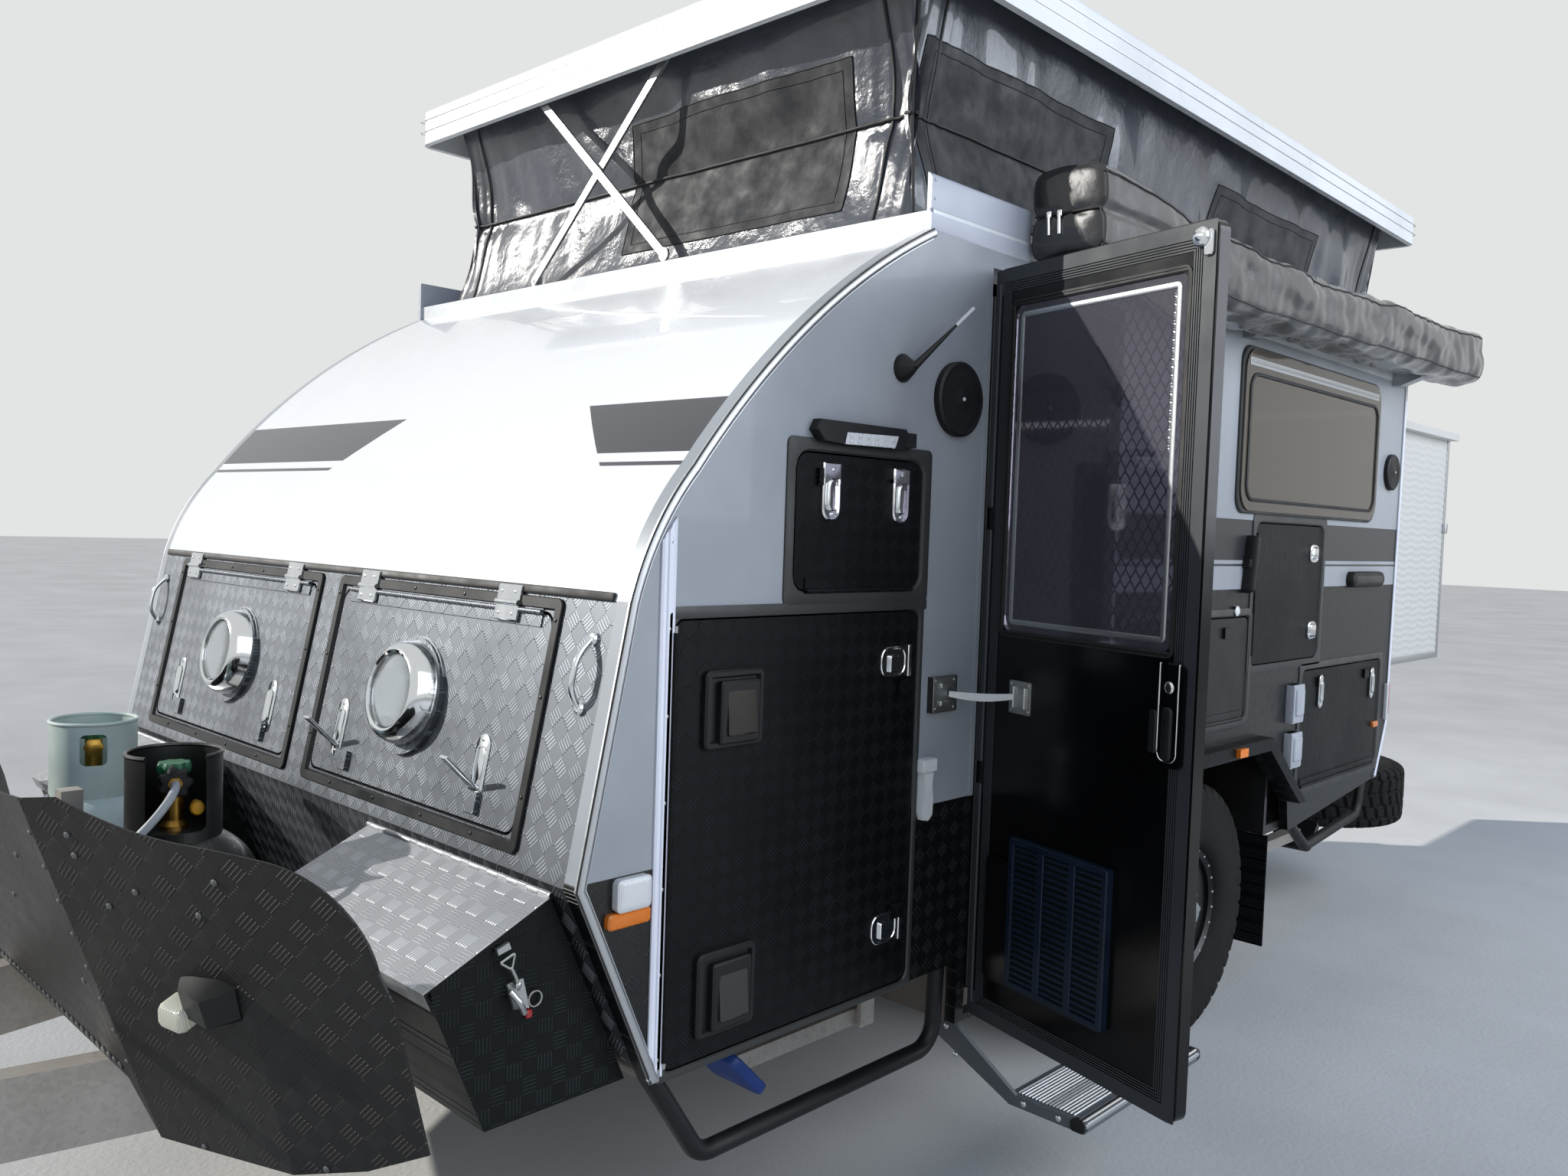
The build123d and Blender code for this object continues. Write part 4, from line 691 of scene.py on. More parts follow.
def make_finishes(colours):
    """Every finish of the caravan by a short name."""
    silver, white, black = tuple(colours.silver), tuple(colours.white), tuple(colours.black)
    slope_v = (0, math.cos(SLOPE), math.sin(SLOPE))
    lid_v = (0, 0.909, 0.416)
    root = math.sqrt(0.5)
    FINISH.update(
        side=side_livery("Gelcoat and black tread plate side", silver, black),
        front=front_livery("Gelcoat front skin, polished", white),
        white=plain_paint("White enamelled aluminium, rolled", white, "#c9cccd", 0.3, coat=0.3),
        black=plain_paint("Black enamel, sprayed", black, "#17191b", 0.38, specular=0.3),
        door=plain_paint(
            "Black acrylic-faced door skin, polished", "#060708", "#0a0b0d", 0.2, orange_peel_mm=9,
            specular=0.3),
        plate_slope=tread_plate(
            "Aluminium tread plate on the slope, rolled and dulled", ((1, 0, 0), slope_v), "#5f6368",
            "#a5abb3", 0.42, metallic=0.75),
        plate_side=tread_plate(
            "Aluminium tread plate on the side, painted black", ((0, 1, 0), (0, 0, 1)), "#0b0d0e", "#24292d",
            0.38, specular=0.14),
        plate_front=tread_plate(
            "Aluminium tread plate on the guard, painted black", ((1, 0, 0), (0, 0, 1)), "#0a0908", "#1b1b1d",
            0.5, specular=0.4),
        # Painted light and shade: the lids' light top and dark side faces are split by facing direction.
        plate_lid=tread_plate(
            "Aluminium tread plate on the toolbox lids, worn bright",
            ((root, lid_v[1] * root, lid_v[2] * root), (-root, lid_v[1] * root, lid_v[2] * root)), "#9fa1a4",
            "#d2d5d9", 0.45, metallic=0.7, shaded_sides="#0d0e10"),
        plate_box=tread_plate(
            "Aluminium tread plate on the toolboxes, painted black", ((0, root, root), (0, -root, root)),
            "#0b0e0d", "#2a3234", 0.42, specular=0.14),
        anodised=brushed_metal("Aluminium, extruded and anodised", "#b4b7ba", 0.36),
        chrome=polished_metal("Steel, chrome plated", "#dfe2e4"),
        zinc=brushed_metal("Steel, zinc plated and passivated", "#a8abab", 0.4),
        dark_zinc=brushed_metal("Steel, zinc plated and weathered", "#6d6f70", 0.5),
        galvanised=galvanised_steel("Steel, hot-dip galvanised", "#b9b4ad", "#a09a92"),
        dark_steel=plain_paint("Steel, black powder coated", "#0e0f10", "#17191b", 0.45, specular=0.3),
        alloy=plain_paint(
            "Aluminium wheel alloy, cast and painted black", "#0a0b0c", "#121315", 0.34, specular=0.35),
        rubber=moulded("Rubber, moulded", "#121213", 0.7, 1.5, 0.2, light="#1c1c1c", specular=0.25),
        tyre=moulded("Tyre rubber, moulded", "#0d0d0e", 0.8, 2.2, 0.3, light="#191817", specular=0.2),
        seal=moulded("Rubber seal, extruded", "#111112", 0.6, 2.0, 0.1),
        plastic=moulded("ABS, moulded and grained", "#101112", 0.5, 1.2, 0.2, light="#17181a", specular=0.3),
        grey_plastic=moulded("ABS, moulded light grey", "#a9adb3", 0.42, 1.2, 0.12, light="#969aa1"),
        white_plastic=moulded("ABS, moulded white", "#d9dbda", 0.4, 1.2, 0.1, light="#c9cbca"),
        pane=clear_pane("Acrylic, cast and tinted dark", "#75727c", transmission=0.72),
        window=clear_pane("Acrylic, cast and tinted brown", "#5d564b", transmission=0.45),
        glaze=plain_paint("Acrylic cover, smoked and polished", "#1f1c19", "#282420", 0.1, coat=0.4),
        clear=clear_pane("Acrylic lens, clear", "#e8ecee", transmission=0.9),
        amber=lens("Acrylic lens, amber", "#e07714"), red=lens("Acrylic lens, red", "#a3141a"),
        cream_lens=lens("Acrylic lens, cream", "#dcdcc8"), white_lens=lens("Acrylic lens, white", "#dfe1e2"),
        canvas=coated_cloth(
            "Polyester canvas, vinyl coated", tuple(colours.canvas), "#3d434d", 3.0, roughness=0.2,
            crease_mm=160, crease_depth=12.0, coat=0.5),
        mesh=coated_cloth(
            "Polyester insect screen, woven", "#121316", "#1b1d21", 4.0, roughness=0.75, crease_mm=60,
            crease_depth=3.0),
        bag=coated_cloth(
            "Polyester awning bag, vinyl coated", tuple(colours.bag), "#1c1d1f", 3.0, roughness=0.24,
            crease_mm=110, crease_depth=6.0, coat=0.5),
        ticking=weave_pad("Mattress ticking, knitted", "#c9c6bd", "#b5b1a6"),
        laminate=banded(
            "Plywood, laminated; tarred in the wheel arch", "#b3ada0", 1, aft(1815), aft(3095), "#141414",
            up(885)),
        floor=banded(
            "Vinyl floor on plywood; tarred in the wheel arch", "#655f56", 1, aft(1815), aft(3095), "#141414",
            up(885)),
        slide=brushed_metal("Aluminium cladding, rolled white", "#c9c9c5", 0.42),
        bottles=two_bottles("Steel gas bottles, enamelled"),
        hose=moulded("Rubber gas hose, braided grey", "#83878a", 0.4, 2.0, 0.4, light="#a5a9ab"),
        yellow=moulded("ABS, moulded yellow", "#d09a1c", 0.45, 1.2, 0.1, light="#b98514"),
        lamps=banded("Acrylic lenses, amber and red", "#e07714", 1, aft(4050), 9.0, "#a3141a"),
        fittings=banded("ABS fittings, black and grey", "#101112", 1, aft(2990), aft(3110), "#aeb2b9"),
        step=plain_paint("Aluminium step arms, extruded and weathered", "#5c6064", "#4a4e52", 0.42),
        brass=brushed_metal("Brass, machined", "#b08a42", 0.35),
        door_trim=plain_paint(
            "Aluminium door frame, extruded and painted charcoal", "#2f3235", "#383b3e", 0.5, specular=0.35),
        # Painted shade: the black tray behind the door vent's slats stands in for the shade inside its
        # openings.
        vent=moulded(
            "ABS door vent, moulded dark blue", "#0c1828", 0.45, 1.2, 0.1, light="#122234", specular=0.3),
        vent_back=moulded("Vent tray, black as painted shade in the slots", "#060a0c", 0.6, 1.2, 0.1, specular=0.2),
        charcoal=plain_paint("Charcoal enamel, sprayed", "#303130", "#3a3b3a", 0.45, specular=0.35),
        white_trim=plain_paint("Aluminium strip, extruded and enamelled white", "#dfe1ea", "#cfd2dc", 0.35),
        # Painted shade: the white corner extrusion gets a greyer copy of the white trim, as it looks in
        # shade.
        grey_trim=plain_paint("Aluminium corner, extruded and enamelled grey", "#b9bdc6", "#a9adb6", 0.35),
        webbing=coated_cloth(
            "Nylon webbing, woven white", "#d5d6d4", "#c3c4c0", 2.0, roughness=0.6, crease_mm=40,
            crease_depth=0.5),
        pad=moulded("Polyethylene, moulded blue", tuple(colours.pad), 0.45, 1.5, 0.2),
        green=moulded("Nylon handwheel, moulded green", "#1d5a3c", 0.45, 1.2, 0.15),
        cast=plain_paint(
            "Cast iron, black painted", "#0c0d0e", "#151617", 0.5, orange_peel_mm=2, specular=0.3),)
    FINISH["slide"].node_tree.nodes["Principled BSDF"].inputs["Metallic"].default_value = 0.25


PLAIN_NODES = (
    ("kerb_side_wall off_side_wall rear_wall", "side"), ("front_upper_skin", "front"),
    ("front_lower_panel kerb_boot_lid off_boot_lid", "plate_slope"),
    ("tall_boot_door upper_hatch side_locker_door rear_boot_door mudguards", "plate_side"),
    ("picnic_table", "black"), ("stone_guard", "plate_front"), ("toolboxes", "plate_box"),
    ("kerb_toolbox_lid off_toolbox_lid", "plate_lid"), ("top_rail pop_top_roof", "white"),
    ("edge_trims awning_brackets", "anodised"), ("entry_step", "step"), ("marker_lamps", "lamps"),
    ("side_fittings", "fittings"), ("entry_door", "door"), ("entry_door_window", "pane"),
    ("cabin_windows", "window"),
    (
        "chassis_frame bottle_holder kerb_front_steady kerb_rear_steady off_front_steady off_rear_steady",
        "galvanised"),
    ("suspension_arms side_rails", "dark_steel"), ("kerb_rim off_rim spare_rim", "alloy"),
    ("jockey_post jockey_leg jockey_fork lift_brackets", "zinc"),
    ("front_lift_bar_a front_lift_bar_b rear_lift_bar_a rear_lift_bar_b", "zinc"), ("jockey_wheel", "rubber"),
    ("tow_coupling", "cast"), ("gas_bottles", "bottles"), ("slide_out", "slide"), ("body_floor", "floor"),
    ("cabin_fitout", "laminate"),)


class CARAVAN_OT_nodes(bpy.types.Operator):
    """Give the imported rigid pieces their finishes"""
    bl_idname = "caravan.nodes"
    bl_label = "Finish rigid pieces"

    def execute(self, context):
        make_finishes(context.scene.caravan_colours)
        for names, finish in PLAIN_NODES:
            for name in names.split():
                shown(name, FINISH[finish])
        return {"FINISHED"}


def tyre_surface(centre, axis, radius, half_width, bead, lug_depth, lugs, steps=504):
    """An off-road tyre: its section, bead to bead, carried round the axle, with tread blocks raised on it.

    Blocks stand where both a groove wave round the tyre and fixed grooves across it leave rubber.
    """
    axis = np.array(axis, float)
    start = np.cross(axis, (0.0, 0.31, 0.95))
    start /= np.linalg.norm(start)
    side = np.cross(axis, start)
    crown = radius - lug_depth
    w = half_width
    outer = np.concatenate([
        np.array([
            [bead, -w + 0.030], [bead + 0.012, -w + 0.016], [bead + 0.030, -w + 0.008],
            [bead + 0.060, -w + 0.0035], [bead + 0.095, -w + 0.0035], [crown - 0.060, -w + 0.008],
            [crown - 0.040, -w + 0.009]]),
        np.stack(
            [
                crown - 0.030 + 0.030 * np.sin(np.linspace(0, QUARTER, 9)),
                -w + 0.034 - 0.024 * np.cos(np.linspace(0, QUARTER, 9))],
            -1),])
    middle_w = np.linspace(-w + 0.040, w - 0.040, 25)
    middle = np.stack([crown + 0.003 * (1 - (middle_w / w) ** 2), middle_w], -1)
    profile = np.concatenate([
        outer, middle, outer[::-1] * (1, -1), [[bead - 0.004, w - 0.04], [bead - 0.004, -w + 0.04]]])
    angle = np.linspace(0, FULL, steps, endpoint=False)[:, None]
    r = np.repeat(profile[None, :, 0], steps, 0)
    across = np.repeat(profile[None, :, 1], steps, 0)
    tread = np.clip((r - (crown - 0.045)) / 0.012, 0, 1)
    row = np.round(across / (w * 0.42))
    phase = angle * lugs + row * 2.1 + across * 26.0 * np.sign(row + 0.1)
    cross_groove = np.clip((np.cos(phase) + 0.72) * 5.0, 0, 1)
    wander = 0.006 * np.sin(angle * lugs * 0.5 + row)
    ribs = np.abs(((across + wander) / (w * 0.42)) - np.round((across + wander) / (w * 0.42)))
    rib_groove = np.clip((0.45 - ribs) * 16.0, 0, 1)
    shoulder = np.clip((np.abs(across) - w * 0.72) / 0.004, 0, 1)
    height = cross_groove * np.maximum(rib_groove, shoulder) * tread
    lean = np.clip((r - (crown - 0.045)) / 0.045, 0, 1)
    r = r + lug_depth * height * (0.25 + 0.75 * lean)
    across = across + np.sign(across) * lug_depth * 0.32 * height * (1 - lean) * np.clip(
        (w - 0.001 - np.abs(across)) / 0.01, 0, 1)
    points = (
        np.array(centre, float)
        + r[..., None] * (np.cos(angle)[..., None] * start + np.sin(angle)[..., None] * side)
        + across[..., None] * axis
    )
    return sheet_of(points, wrap_rows=True, wrap_columns=True)


class CARAVAN_OT_wheels(bpy.types.Operator):
    """Add the treaded tyres, bead-ring bolts and hub caps"""
    bl_idname = "caravan.wheels"
    bl_label = "Wheels"

    def execute(self, context):
        sizes = context.scene.caravan_sizes
        for name, centre, axis, node, body in (
            ("kerb_treaded_tyre", WHEEL, (1, 0, 0), "kerb_tyre", "kerb_wheel"),
            ("off_treaded_tyre", (-WHEEL[0], *WHEEL[1:]), (-1, 0, 0), "off_tyre", "off_wheel"),
            ("spare_treaded_tyre", SPARE, (0, 0, -1), "spare_tyre", "body"),
        ):
            surface = tyre_surface(centre, axis, 0.4018, 0.1322, 0.2035, sizes.lug_depth, sizes.lug_count)
            piece(name, [surface], "tyre", body, sharp=30, stands_for=(node,))
        for name, side, body in (
            ("kerb_wheel_fittings", 1, "kerb_wheel"), ("off_wheel_fittings", -1, "off_wheel")):
            face = face_frame((side * (WHEEL[0] + 0.0705), *WHEEL[1:]), (0, side, 0), (0, 0, 1))
            parts = []
            for k in range(24):
                a = FULL * (k + 0.5) / 24
                parts.append(lathe(
                    face, (0.193 * math.cos(a), 0.193 * math.sin(a)), mm((5.5, 30), (5.5, 37.5), (3.5, 40)), 6
                ))
            for k in range(6):
                a = FULL * k / 6
                parts.append(lathe(
                    face, (0.057 * math.cos(a), 0.057 * math.sin(a)), mm((12, 40), (12, 52), (8, 58)), 6))
            parts.append(lathe(face, (0, 0), mm((40, 40), (40, 60), (34, 68), (18, 72)), 32))
            piece(name, parts, "zinc", body)
        return {"FINISHED"}


def relief(face, low, high, counts, height, base):
    """A plate whose top is a height function over a grid in a face, closed by a skirt and a flat base."""
    nu, nv = counts
    u, v = np.meshgrid(np.linspace(low[0], high[0], nu), np.linspace(low[1], high[1], nv), indexing="ij")
    top = np.stack([u, v, height(u, v)], -1)
    rim = np.concatenate([
        [(i, 0) for i in range(nu)], [(nu - 1, j) for j in range(1, nv)],
        [(i, nv - 1) for i in range(nu - 2, -1, -1)], [(0, j) for j in range(nv - 2, 0, -1)]])
    ring = rim[:, 0] * nv + rim[:, 1]
    points = top.reshape(-1, 3)
    foot = points[ring].copy()
    foot[:, 2] = base
    start = len(points)
    faces = grid_faces(nu, nv)
    after = np.roll(np.arange(len(ring)), -1)
    faces += [[int(ring[k]), start + int(k), start + int(n), int(ring[n])] for k, n in enumerate(after)]
    faces.append([start + k for k in range(len(ring))][::-1])
    return placed(face, np.concatenate([points, foot])), faces


def screws(face, places, radius=0.004, lift=0.0, steps=10):
    """Domed screw heads standing on a face."""
    dome = [
        (radius, lift - 0.001), (radius, lift + 0.0008), (radius * 0.8, lift + 0.0018),
        (radius * 0.35, lift + 0.0023)]
    return [lathe(face, place, dome, steps) for place in places]


def rib_rings(inset, widths, low, high):
    """The section of a run of ribs as (inset, height) pairs: each width in turn goes up and down."""
    rings = [(inset, low)]
    for k, width in enumerate(widths):
        level = high if k % 2 == 0 else low
        rings += [(inset, level), (inset + width, level)]
        inset += width
    return rings + [(inset, low)]


def latch(face, centre, length, width, lift=0.0, open_turn=None):
    """A pressed compression latch: a rounded plate with a raised paddle, standing off its base when open."""
    parts = [boss(
        face, centre, width, length, width * 0.48,
        [(0, lift - 0.001), (0, lift + 0.002), (0.0015, lift + 0.003)], corner=8)]
    reach = length * 0.5 - 0.011
    parts += screws(face, [(centre[0], centre[1] + end * reach) for end in (-1, 1)], 0.0038, lift + 0.003)
    if open_turn is None:
        parts.append(boss(
            face, centre, width * 0.62, length * 0.62, width * 0.28,
            [(0, lift + 0.002), (0, lift + 0.006), (0.002, lift + 0.0085), (0.006, lift + 0.009)], corner=8))
        return parts
    parts.append(boss(
        face, centre, width * 0.66, length * 0.64, width * 0.2,
        [(0, lift + 0.002), (0, lift + 0.005), (0.003, lift + 0.005), (0.003, lift + 0.002)], loop=True))
    origin, u, v, n = face
    foot = origin + centre[0] * u + (centre[1] - length * 0.32) * v + (lift + 0.003) * n
    reach = math.cos(open_turn) * n - math.sin(open_turn) * v
    out = np.linspace(0, 1, 6)[:, None]
    spine = foot + reach * out * 0.094
    flat = rounded(width * 0.66, 0.006, 0.0028, 3)
    sizes = np.array([flat * (1 - 0.15 * k, 1) for k in out[:, 0]])
    parts.append(swept(spine, flat, sections=sizes, reference=v))
    parts.append(rod([foot - u * width * 0.36, foot + u * width * 0.36], 0.0045, sides=10))
    return parts


def hinge(face, centre, width, height, lift):
    """A butt hinge: two leaves, a rolled knuckle and its screws."""
    parts = []
    for side in (-1, 1):
        parts.append(boss(face, (centre[0], centre[1] + side * height * 0.27), width, height * 0.44, 0.003,
                          [(0, lift - 0.001), (0, lift + 0.0035), (0.002, lift + 0.0055)], corner=4))
    origin, u, v, n = face
    middle = origin + centre[0] * u + centre[1] * v + (lift + 0.004) * n
    parts.append(rod([middle - u * width * 0.5, middle + u * width * 0.5], 0.0058, sides=14))
    places = [(centre[0] + a * width * 0.3, centre[1] + b * height * 0.3) for a in (-1, 1) for b in (-1, 1)]
    return parts + screws(face, places, 0.0034, lift + 0.0055)


class CARAVAN_OT_door(bpy.types.Operator):
    """Add the entry door's ribbed frame, window seal, screens, vent, handle and stay plate"""
    bl_idname = "caravan.door"
    bl_label = "Entry door"

    def execute(self, context):
        sizes = context.scene.caravan_sizes
        skin = DOOR_SKIN
        middle, size = (0.31, 0.8665), (0.622, 1.731)
        ribs = rib_rings(0.0015, [0.030, 0.0025] + [0.003, 0.0025] * 3 + [0.003], skin - 0.001, skin + 0.0022)
        parts = [boss(DOOR_FACE, middle, *size, 0.004, ribs, loop=True, corner=3)]
        pane_middle, pane_size = (0.31, 1.2775), (0.500, 0.745)
        piece("door_ribbed_frame", parts, "door_trim", "entry_door")

        seal = [
            (0, skin - 0.004), (0, skin + 0.0012), (0.004, skin + 0.002), (0.007, skin + 0.0005),
            (0.007, skin - 0.004)]
        parts = [boss(DOOR_FACE, pane_middle, *pane_size, 0.006, seal, loop=True)]
        rim = [(-0.006, skin - 0.001), (-0.006, skin + 0.003), (-0.001, skin + 0.003), (-0.001, skin - 0.001)]
        parts.append(boss(DOOR_FACE, pane_middle, *pane_size, 0.014, rim, loop=True, corner=6))
        piece("door_window_seal", parts, "seal", "entry_door")
        inner = mm((22, -9.5), (22, -8), (24, -7), (32, -7), (34, -8), (34, -9.5))
        parts = [boss(DOOR_FACE, pane_middle, *pane_size, 0.035, inner, loop=True, corner=10)]
        spring = joined(0.525, np.linspace(1.30, 1.61, 220), -0.0080)
        spring[:, 0] += 0.0022 * np.cos(np.arange(220) * 1.7)
        spring[:, 2] += 0.0015 * np.sin(np.arange(220) * 1.7)
        parts.append(swept(placed(DOOR_FACE, spring), ring_section(0.0011, 5), reference=(0.3, 0.9, 0.1)))
        piece("door_screen_frame", parts, "anodised", "entry_door")

        pitch = sizes.mesh_pitch
        strands, parts = int(0.46 / (pitch / 2)), []
        rise = np.linspace(0.925, 1.63, 161)
        period = pitch * 1.65
        wave = 2 * np.abs(2 * ((rise / period) % 1) - 1) - 1
        wave = np.clip(wave * 1.25, -1, 1)
        for k in range(strands + 1):
            x = 0.08 + k * pitch / 2 + (-1) ** k * wave * pitch / 4
            path = placed(DOOR_FACE, joined(x, rise, -0.0355))
            parts.append(swept(path, rounded(0.0035, 0.0016, 0.0004, 2), reference=DOOR_FACE[3]))
        piece("door_security_mesh", parts, "black", "entry_door")

        vent_middle, vent_size = (0.288, 0.285), (0.298, 0.338)
        # The black tray behind the slats is painted shade for the vent's openings.
        tray = [boss(DOOR_FACE, vent_middle, 0.292, 0.332, 0.006, [(0, skin - 0.001), (0, LOUVRE + 0.0005)])]
        piece("door_vent_tray", tray, "vent_back", "entry_door")
        parts = [boss(
            DOOR_FACE, vent_middle, *vent_size, 0.008,
            [
                (0, skin - 0.001), (0, LOUVRE + 0.004), (0.003, LOUVRE + 0.006), (0.014, LOUVRE + 0.006),
                (0.016, LOUVRE)],
            loop=True)]
        for a in (-0.0475, 0.0475):
            parts.append(boss(
                DOOR_FACE, (vent_middle[0] + a, vent_middle[1]), 0.020, vent_size[1] - 0.02, 0.003,
                [(0, LOUVRE), (0, LOUVRE + 0.004), (0.002, LOUVRE + 0.0055)], corner=3))
        for a in (-0.095, 0.0, 0.095):
            for v in vent_middle[1] + (np.arange(22) - 10.5) * 0.0140:
                parts.append(boss(DOOR_FACE, (vent_middle[0] + a, v), 0.077, 0.0075, 0.0035,
                                  [(0, LOUVRE), (0, LOUVRE + 0.0025), (0.002, LOUVRE + 0.0042)], corner=3))
        piece("door_vent", parts, "vent", "entry_door", sharp=30)

        grip = (0.567, 0.790)
        parts = [boss(
            DOOR_FACE, grip, 0.052, 0.205, 0.024,
            [(0, skin - 0.001), (0, skin + 0.006), (0.003, skin + 0.009)], corner=10)]
        parts.append(boss(
            DOOR_FACE, (grip[0], grip[1] - 0.035), 0.026, 0.105, 0.011,
            [(0, skin + 0.008), (0, skin + 0.014), (0.003, skin + 0.018), (0.009, skin + 0.019)], corner=8))
        parts.append(boss(DOOR_FACE, (grip[0] - 0.036, grip[1] - 0.035), 0.020, 0.085, 0.006,
                          [(0, skin - 0.001), (0, skin + 0.012), (0.003, skin + 0.015)], corner=5))
        piece("door_handle", parts, "plastic", "entry_door")
        loop = [(grip[0] + s * 0.0235, y) for s, y in ((-1, 0.892), (-1, 0.700), (1, 0.700), (1, 0.892))]
        path = placed(DOOR_FACE, [(x, y, skin + 0.011) for x, y in loop])
        parts = [rod(path, 0.0022, 0.022, 8)]
        parts.append(lathe(
            DOOR_FACE, (grip[0], grip[1] + 0.055),
            [(0.012, skin + 0.008), (0.012, skin + 0.012), (0.009, skin + 0.014), (0.006, skin + 0.0145)], 24
        ))
        parts.append(lathe(
            DOOR_FACE, (0.588, 1.700),
            [
                (0.019, skin - 0.001), (0.019, skin + 0.010), (0.016, skin + 0.014), (0.009, skin + 0.016),
                (0.004, skin + 0.024), (0.003, skin + 0.025)],
            28))
        parts.append(boss(
            DOOR_FACE, (0.604, 1.688), 0.022, 0.05, 0.008,
            [(0, skin - 0.001), (0, skin + 0.006), (0.002, skin + 0.008)]))
        piece("door_bright_fittings", parts, "chrome", "entry_door")

        parts = [boss(
            DOOR_FACE, (0.137, 0.766), 0.070, 0.074, 0.004,
            [(0, skin - 0.001), (0, skin + 0.003), (0.0015, skin + 0.004)])]
        for a in (-0.018, 0.018):
            parts.append(boss(
                DOOR_FACE, (0.137 + a, 0.766), 0.014, 0.050, 0.004,
                [(0, skin + 0.003), (0, skin + 0.010), (0.002, skin + 0.012)]))
        places = [(0.137 + a, 0.766 + b) for a in (-0.028, 0.028) for b in (-0.029, 0.029)]
        piece(
            "door_stay_plate", parts + screws(DOOR_FACE, places, 0.0032, skin + 0.004), "zinc", "entry_door")

        hinge_rail = []
        for low, high in ((0.03, 0.55), (0.60, 1.14), (1.19, 1.70)):
            hinge_rail.append(boss(DOOR_FACE, (0.012, (low + high) / 2), 0.018, high - low, 0.004,
                                   [(0, skin - 0.001), (0, skin + 0.004), (0.003, skin + 0.007)]))
        piece("door_hinge_cover", hinge_rail, "door_trim", "entry_door")
        return {"FINISHED"}


class CARAVAN_OT_front(bpy.types.Operator):
    """Add the front panel's lid frames, hinges, latches, portholes and grab handles"""
    bl_idname = "caravan.front"
    bl_label = "Front panel"

    def execute(self, context):
        radius = context.scene.caravan_sizes.porthole
        trims, handles = [], []
        for side in (1, -1):
            centre = (side * 0.4675, 0.257)
            rings = mm((0, -1), (0, 4.5), (2, 6.5), (20, 6.5), (22, 3), (24, -1))
            trims.append(boss(SLOPE_FACE, centre, 0.849, 0.462, 0.016, rings, loop=True))
            places = [(centre[0] + a * 0.413, 0.257 + b) for a in (-1, 1) for b in (-0.13, 0.05, 0.19)]
            places += [
                (centre[0] + a, 0.257 + b * 0.2195) for b in (-1, 1) for a in (-0.28, -0.09, 0.1, 0.28)]
            trims += screws(SLOPE_FACE, places, 0.0038, 0.0065)
            bow = [
                (side * 0.993, 0.302, 0.006), (side * 0.993, 0.330, 0.031), (side * 0.995, 0.389, 0.031),
                (side * 0.995, 0.424, 0.006)]
            for x, v, _ in (bow[0], bow[-1]):
                handles.append(lathe(SLOPE_FACE, (x, v), mm((12, -1), (12, 5), (9, 9), (5, 10)), 20))
            handles.append(rod(placed(SLOPE_FACE, bow), 0.0055, 0.02, 14))
        piece("front_lid_frames", trims, "black")
        piece("front_grab_handles", handles, "chrome")
        for name, side, opened in (("kerb", 1, -0.586), ("off", -1, None)):
            body = name + "_boot_lid"
            middle = side * 0.435
            parts = []
            for x in (0.185, 0.725) if side > 0 else (-0.795, -0.185):
                parts += hinge(SLOPE_FACE, (x, 0.470), 0.074, 0.070, 0.0062)
            for x in (0.174, 0.727) if side > 0 else (-0.750, -0.185):
                parts += latch(SLOPE_FACE, (x, 0.157), 0.125, 0.044, open_turn=opened)
            profile = [
                (radius, -0.001), (radius, 0.003), (radius * 0.985, 0.0045), (radius * 0.93, 0.0055),
                (radius * 0.905, 0.014), (radius * 0.88, 0.030), (radius * 0.83, 0.044),
                (radius * 0.76, 0.053), (radius * 0.70, 0.055), (radius * 0.655, 0.052),
                (radius * 0.64, 0.044)]
            profile.append((radius * 0.64, 0.034))
            parts.append(lathe(SLOPE_FACE, (middle, 0.262), profile, 72))
            turns = np.arange(3) * FULL / 3 + 0.9
            places = [
                (middle + radius * 0.955 * math.cos(a), 0.262 + radius * 0.955 * math.sin(a)) for a in turns]
            piece(
                body + "_bright_fittings", parts + screws(SLOPE_FACE, places, 0.0045, 0.0045), "chrome", body)
            glass = [
                (radius * 0.66, 0.036), (radius * 0.62, 0.048), (radius * 0.5, 0.0505), (radius * 0.3, 0.052),
                (radius * 0.08, 0.0525)]
            piece(body + "_porthole_lens", [lathe(SLOPE_FACE, (middle, 0.262), glass, 48)], "clear", body)
        ledge = [boss(SLOPE_FACE, (0, 0.5005), 2.06, 0.016, 0.004, mm((0, -2), (0, 4), (3, 6)))]
        piece("front_skin_seam", ledge, "seal")
        return {"FINISHED"}


HATCHES = (
    # body, aft low, aft high, height low, height high, corner radius
    ("upper_hatch", 508, 905, 1440, 1708, 0.030),
    ("side_locker_door", 2682, 3254, 1165, 1625, 0.030),
    ("rear_boot_door", 3135, 3935, 705, 1115, 0.025),
    ("tall_boot_door", 208, 910, 572, 1388, 0.020),
)


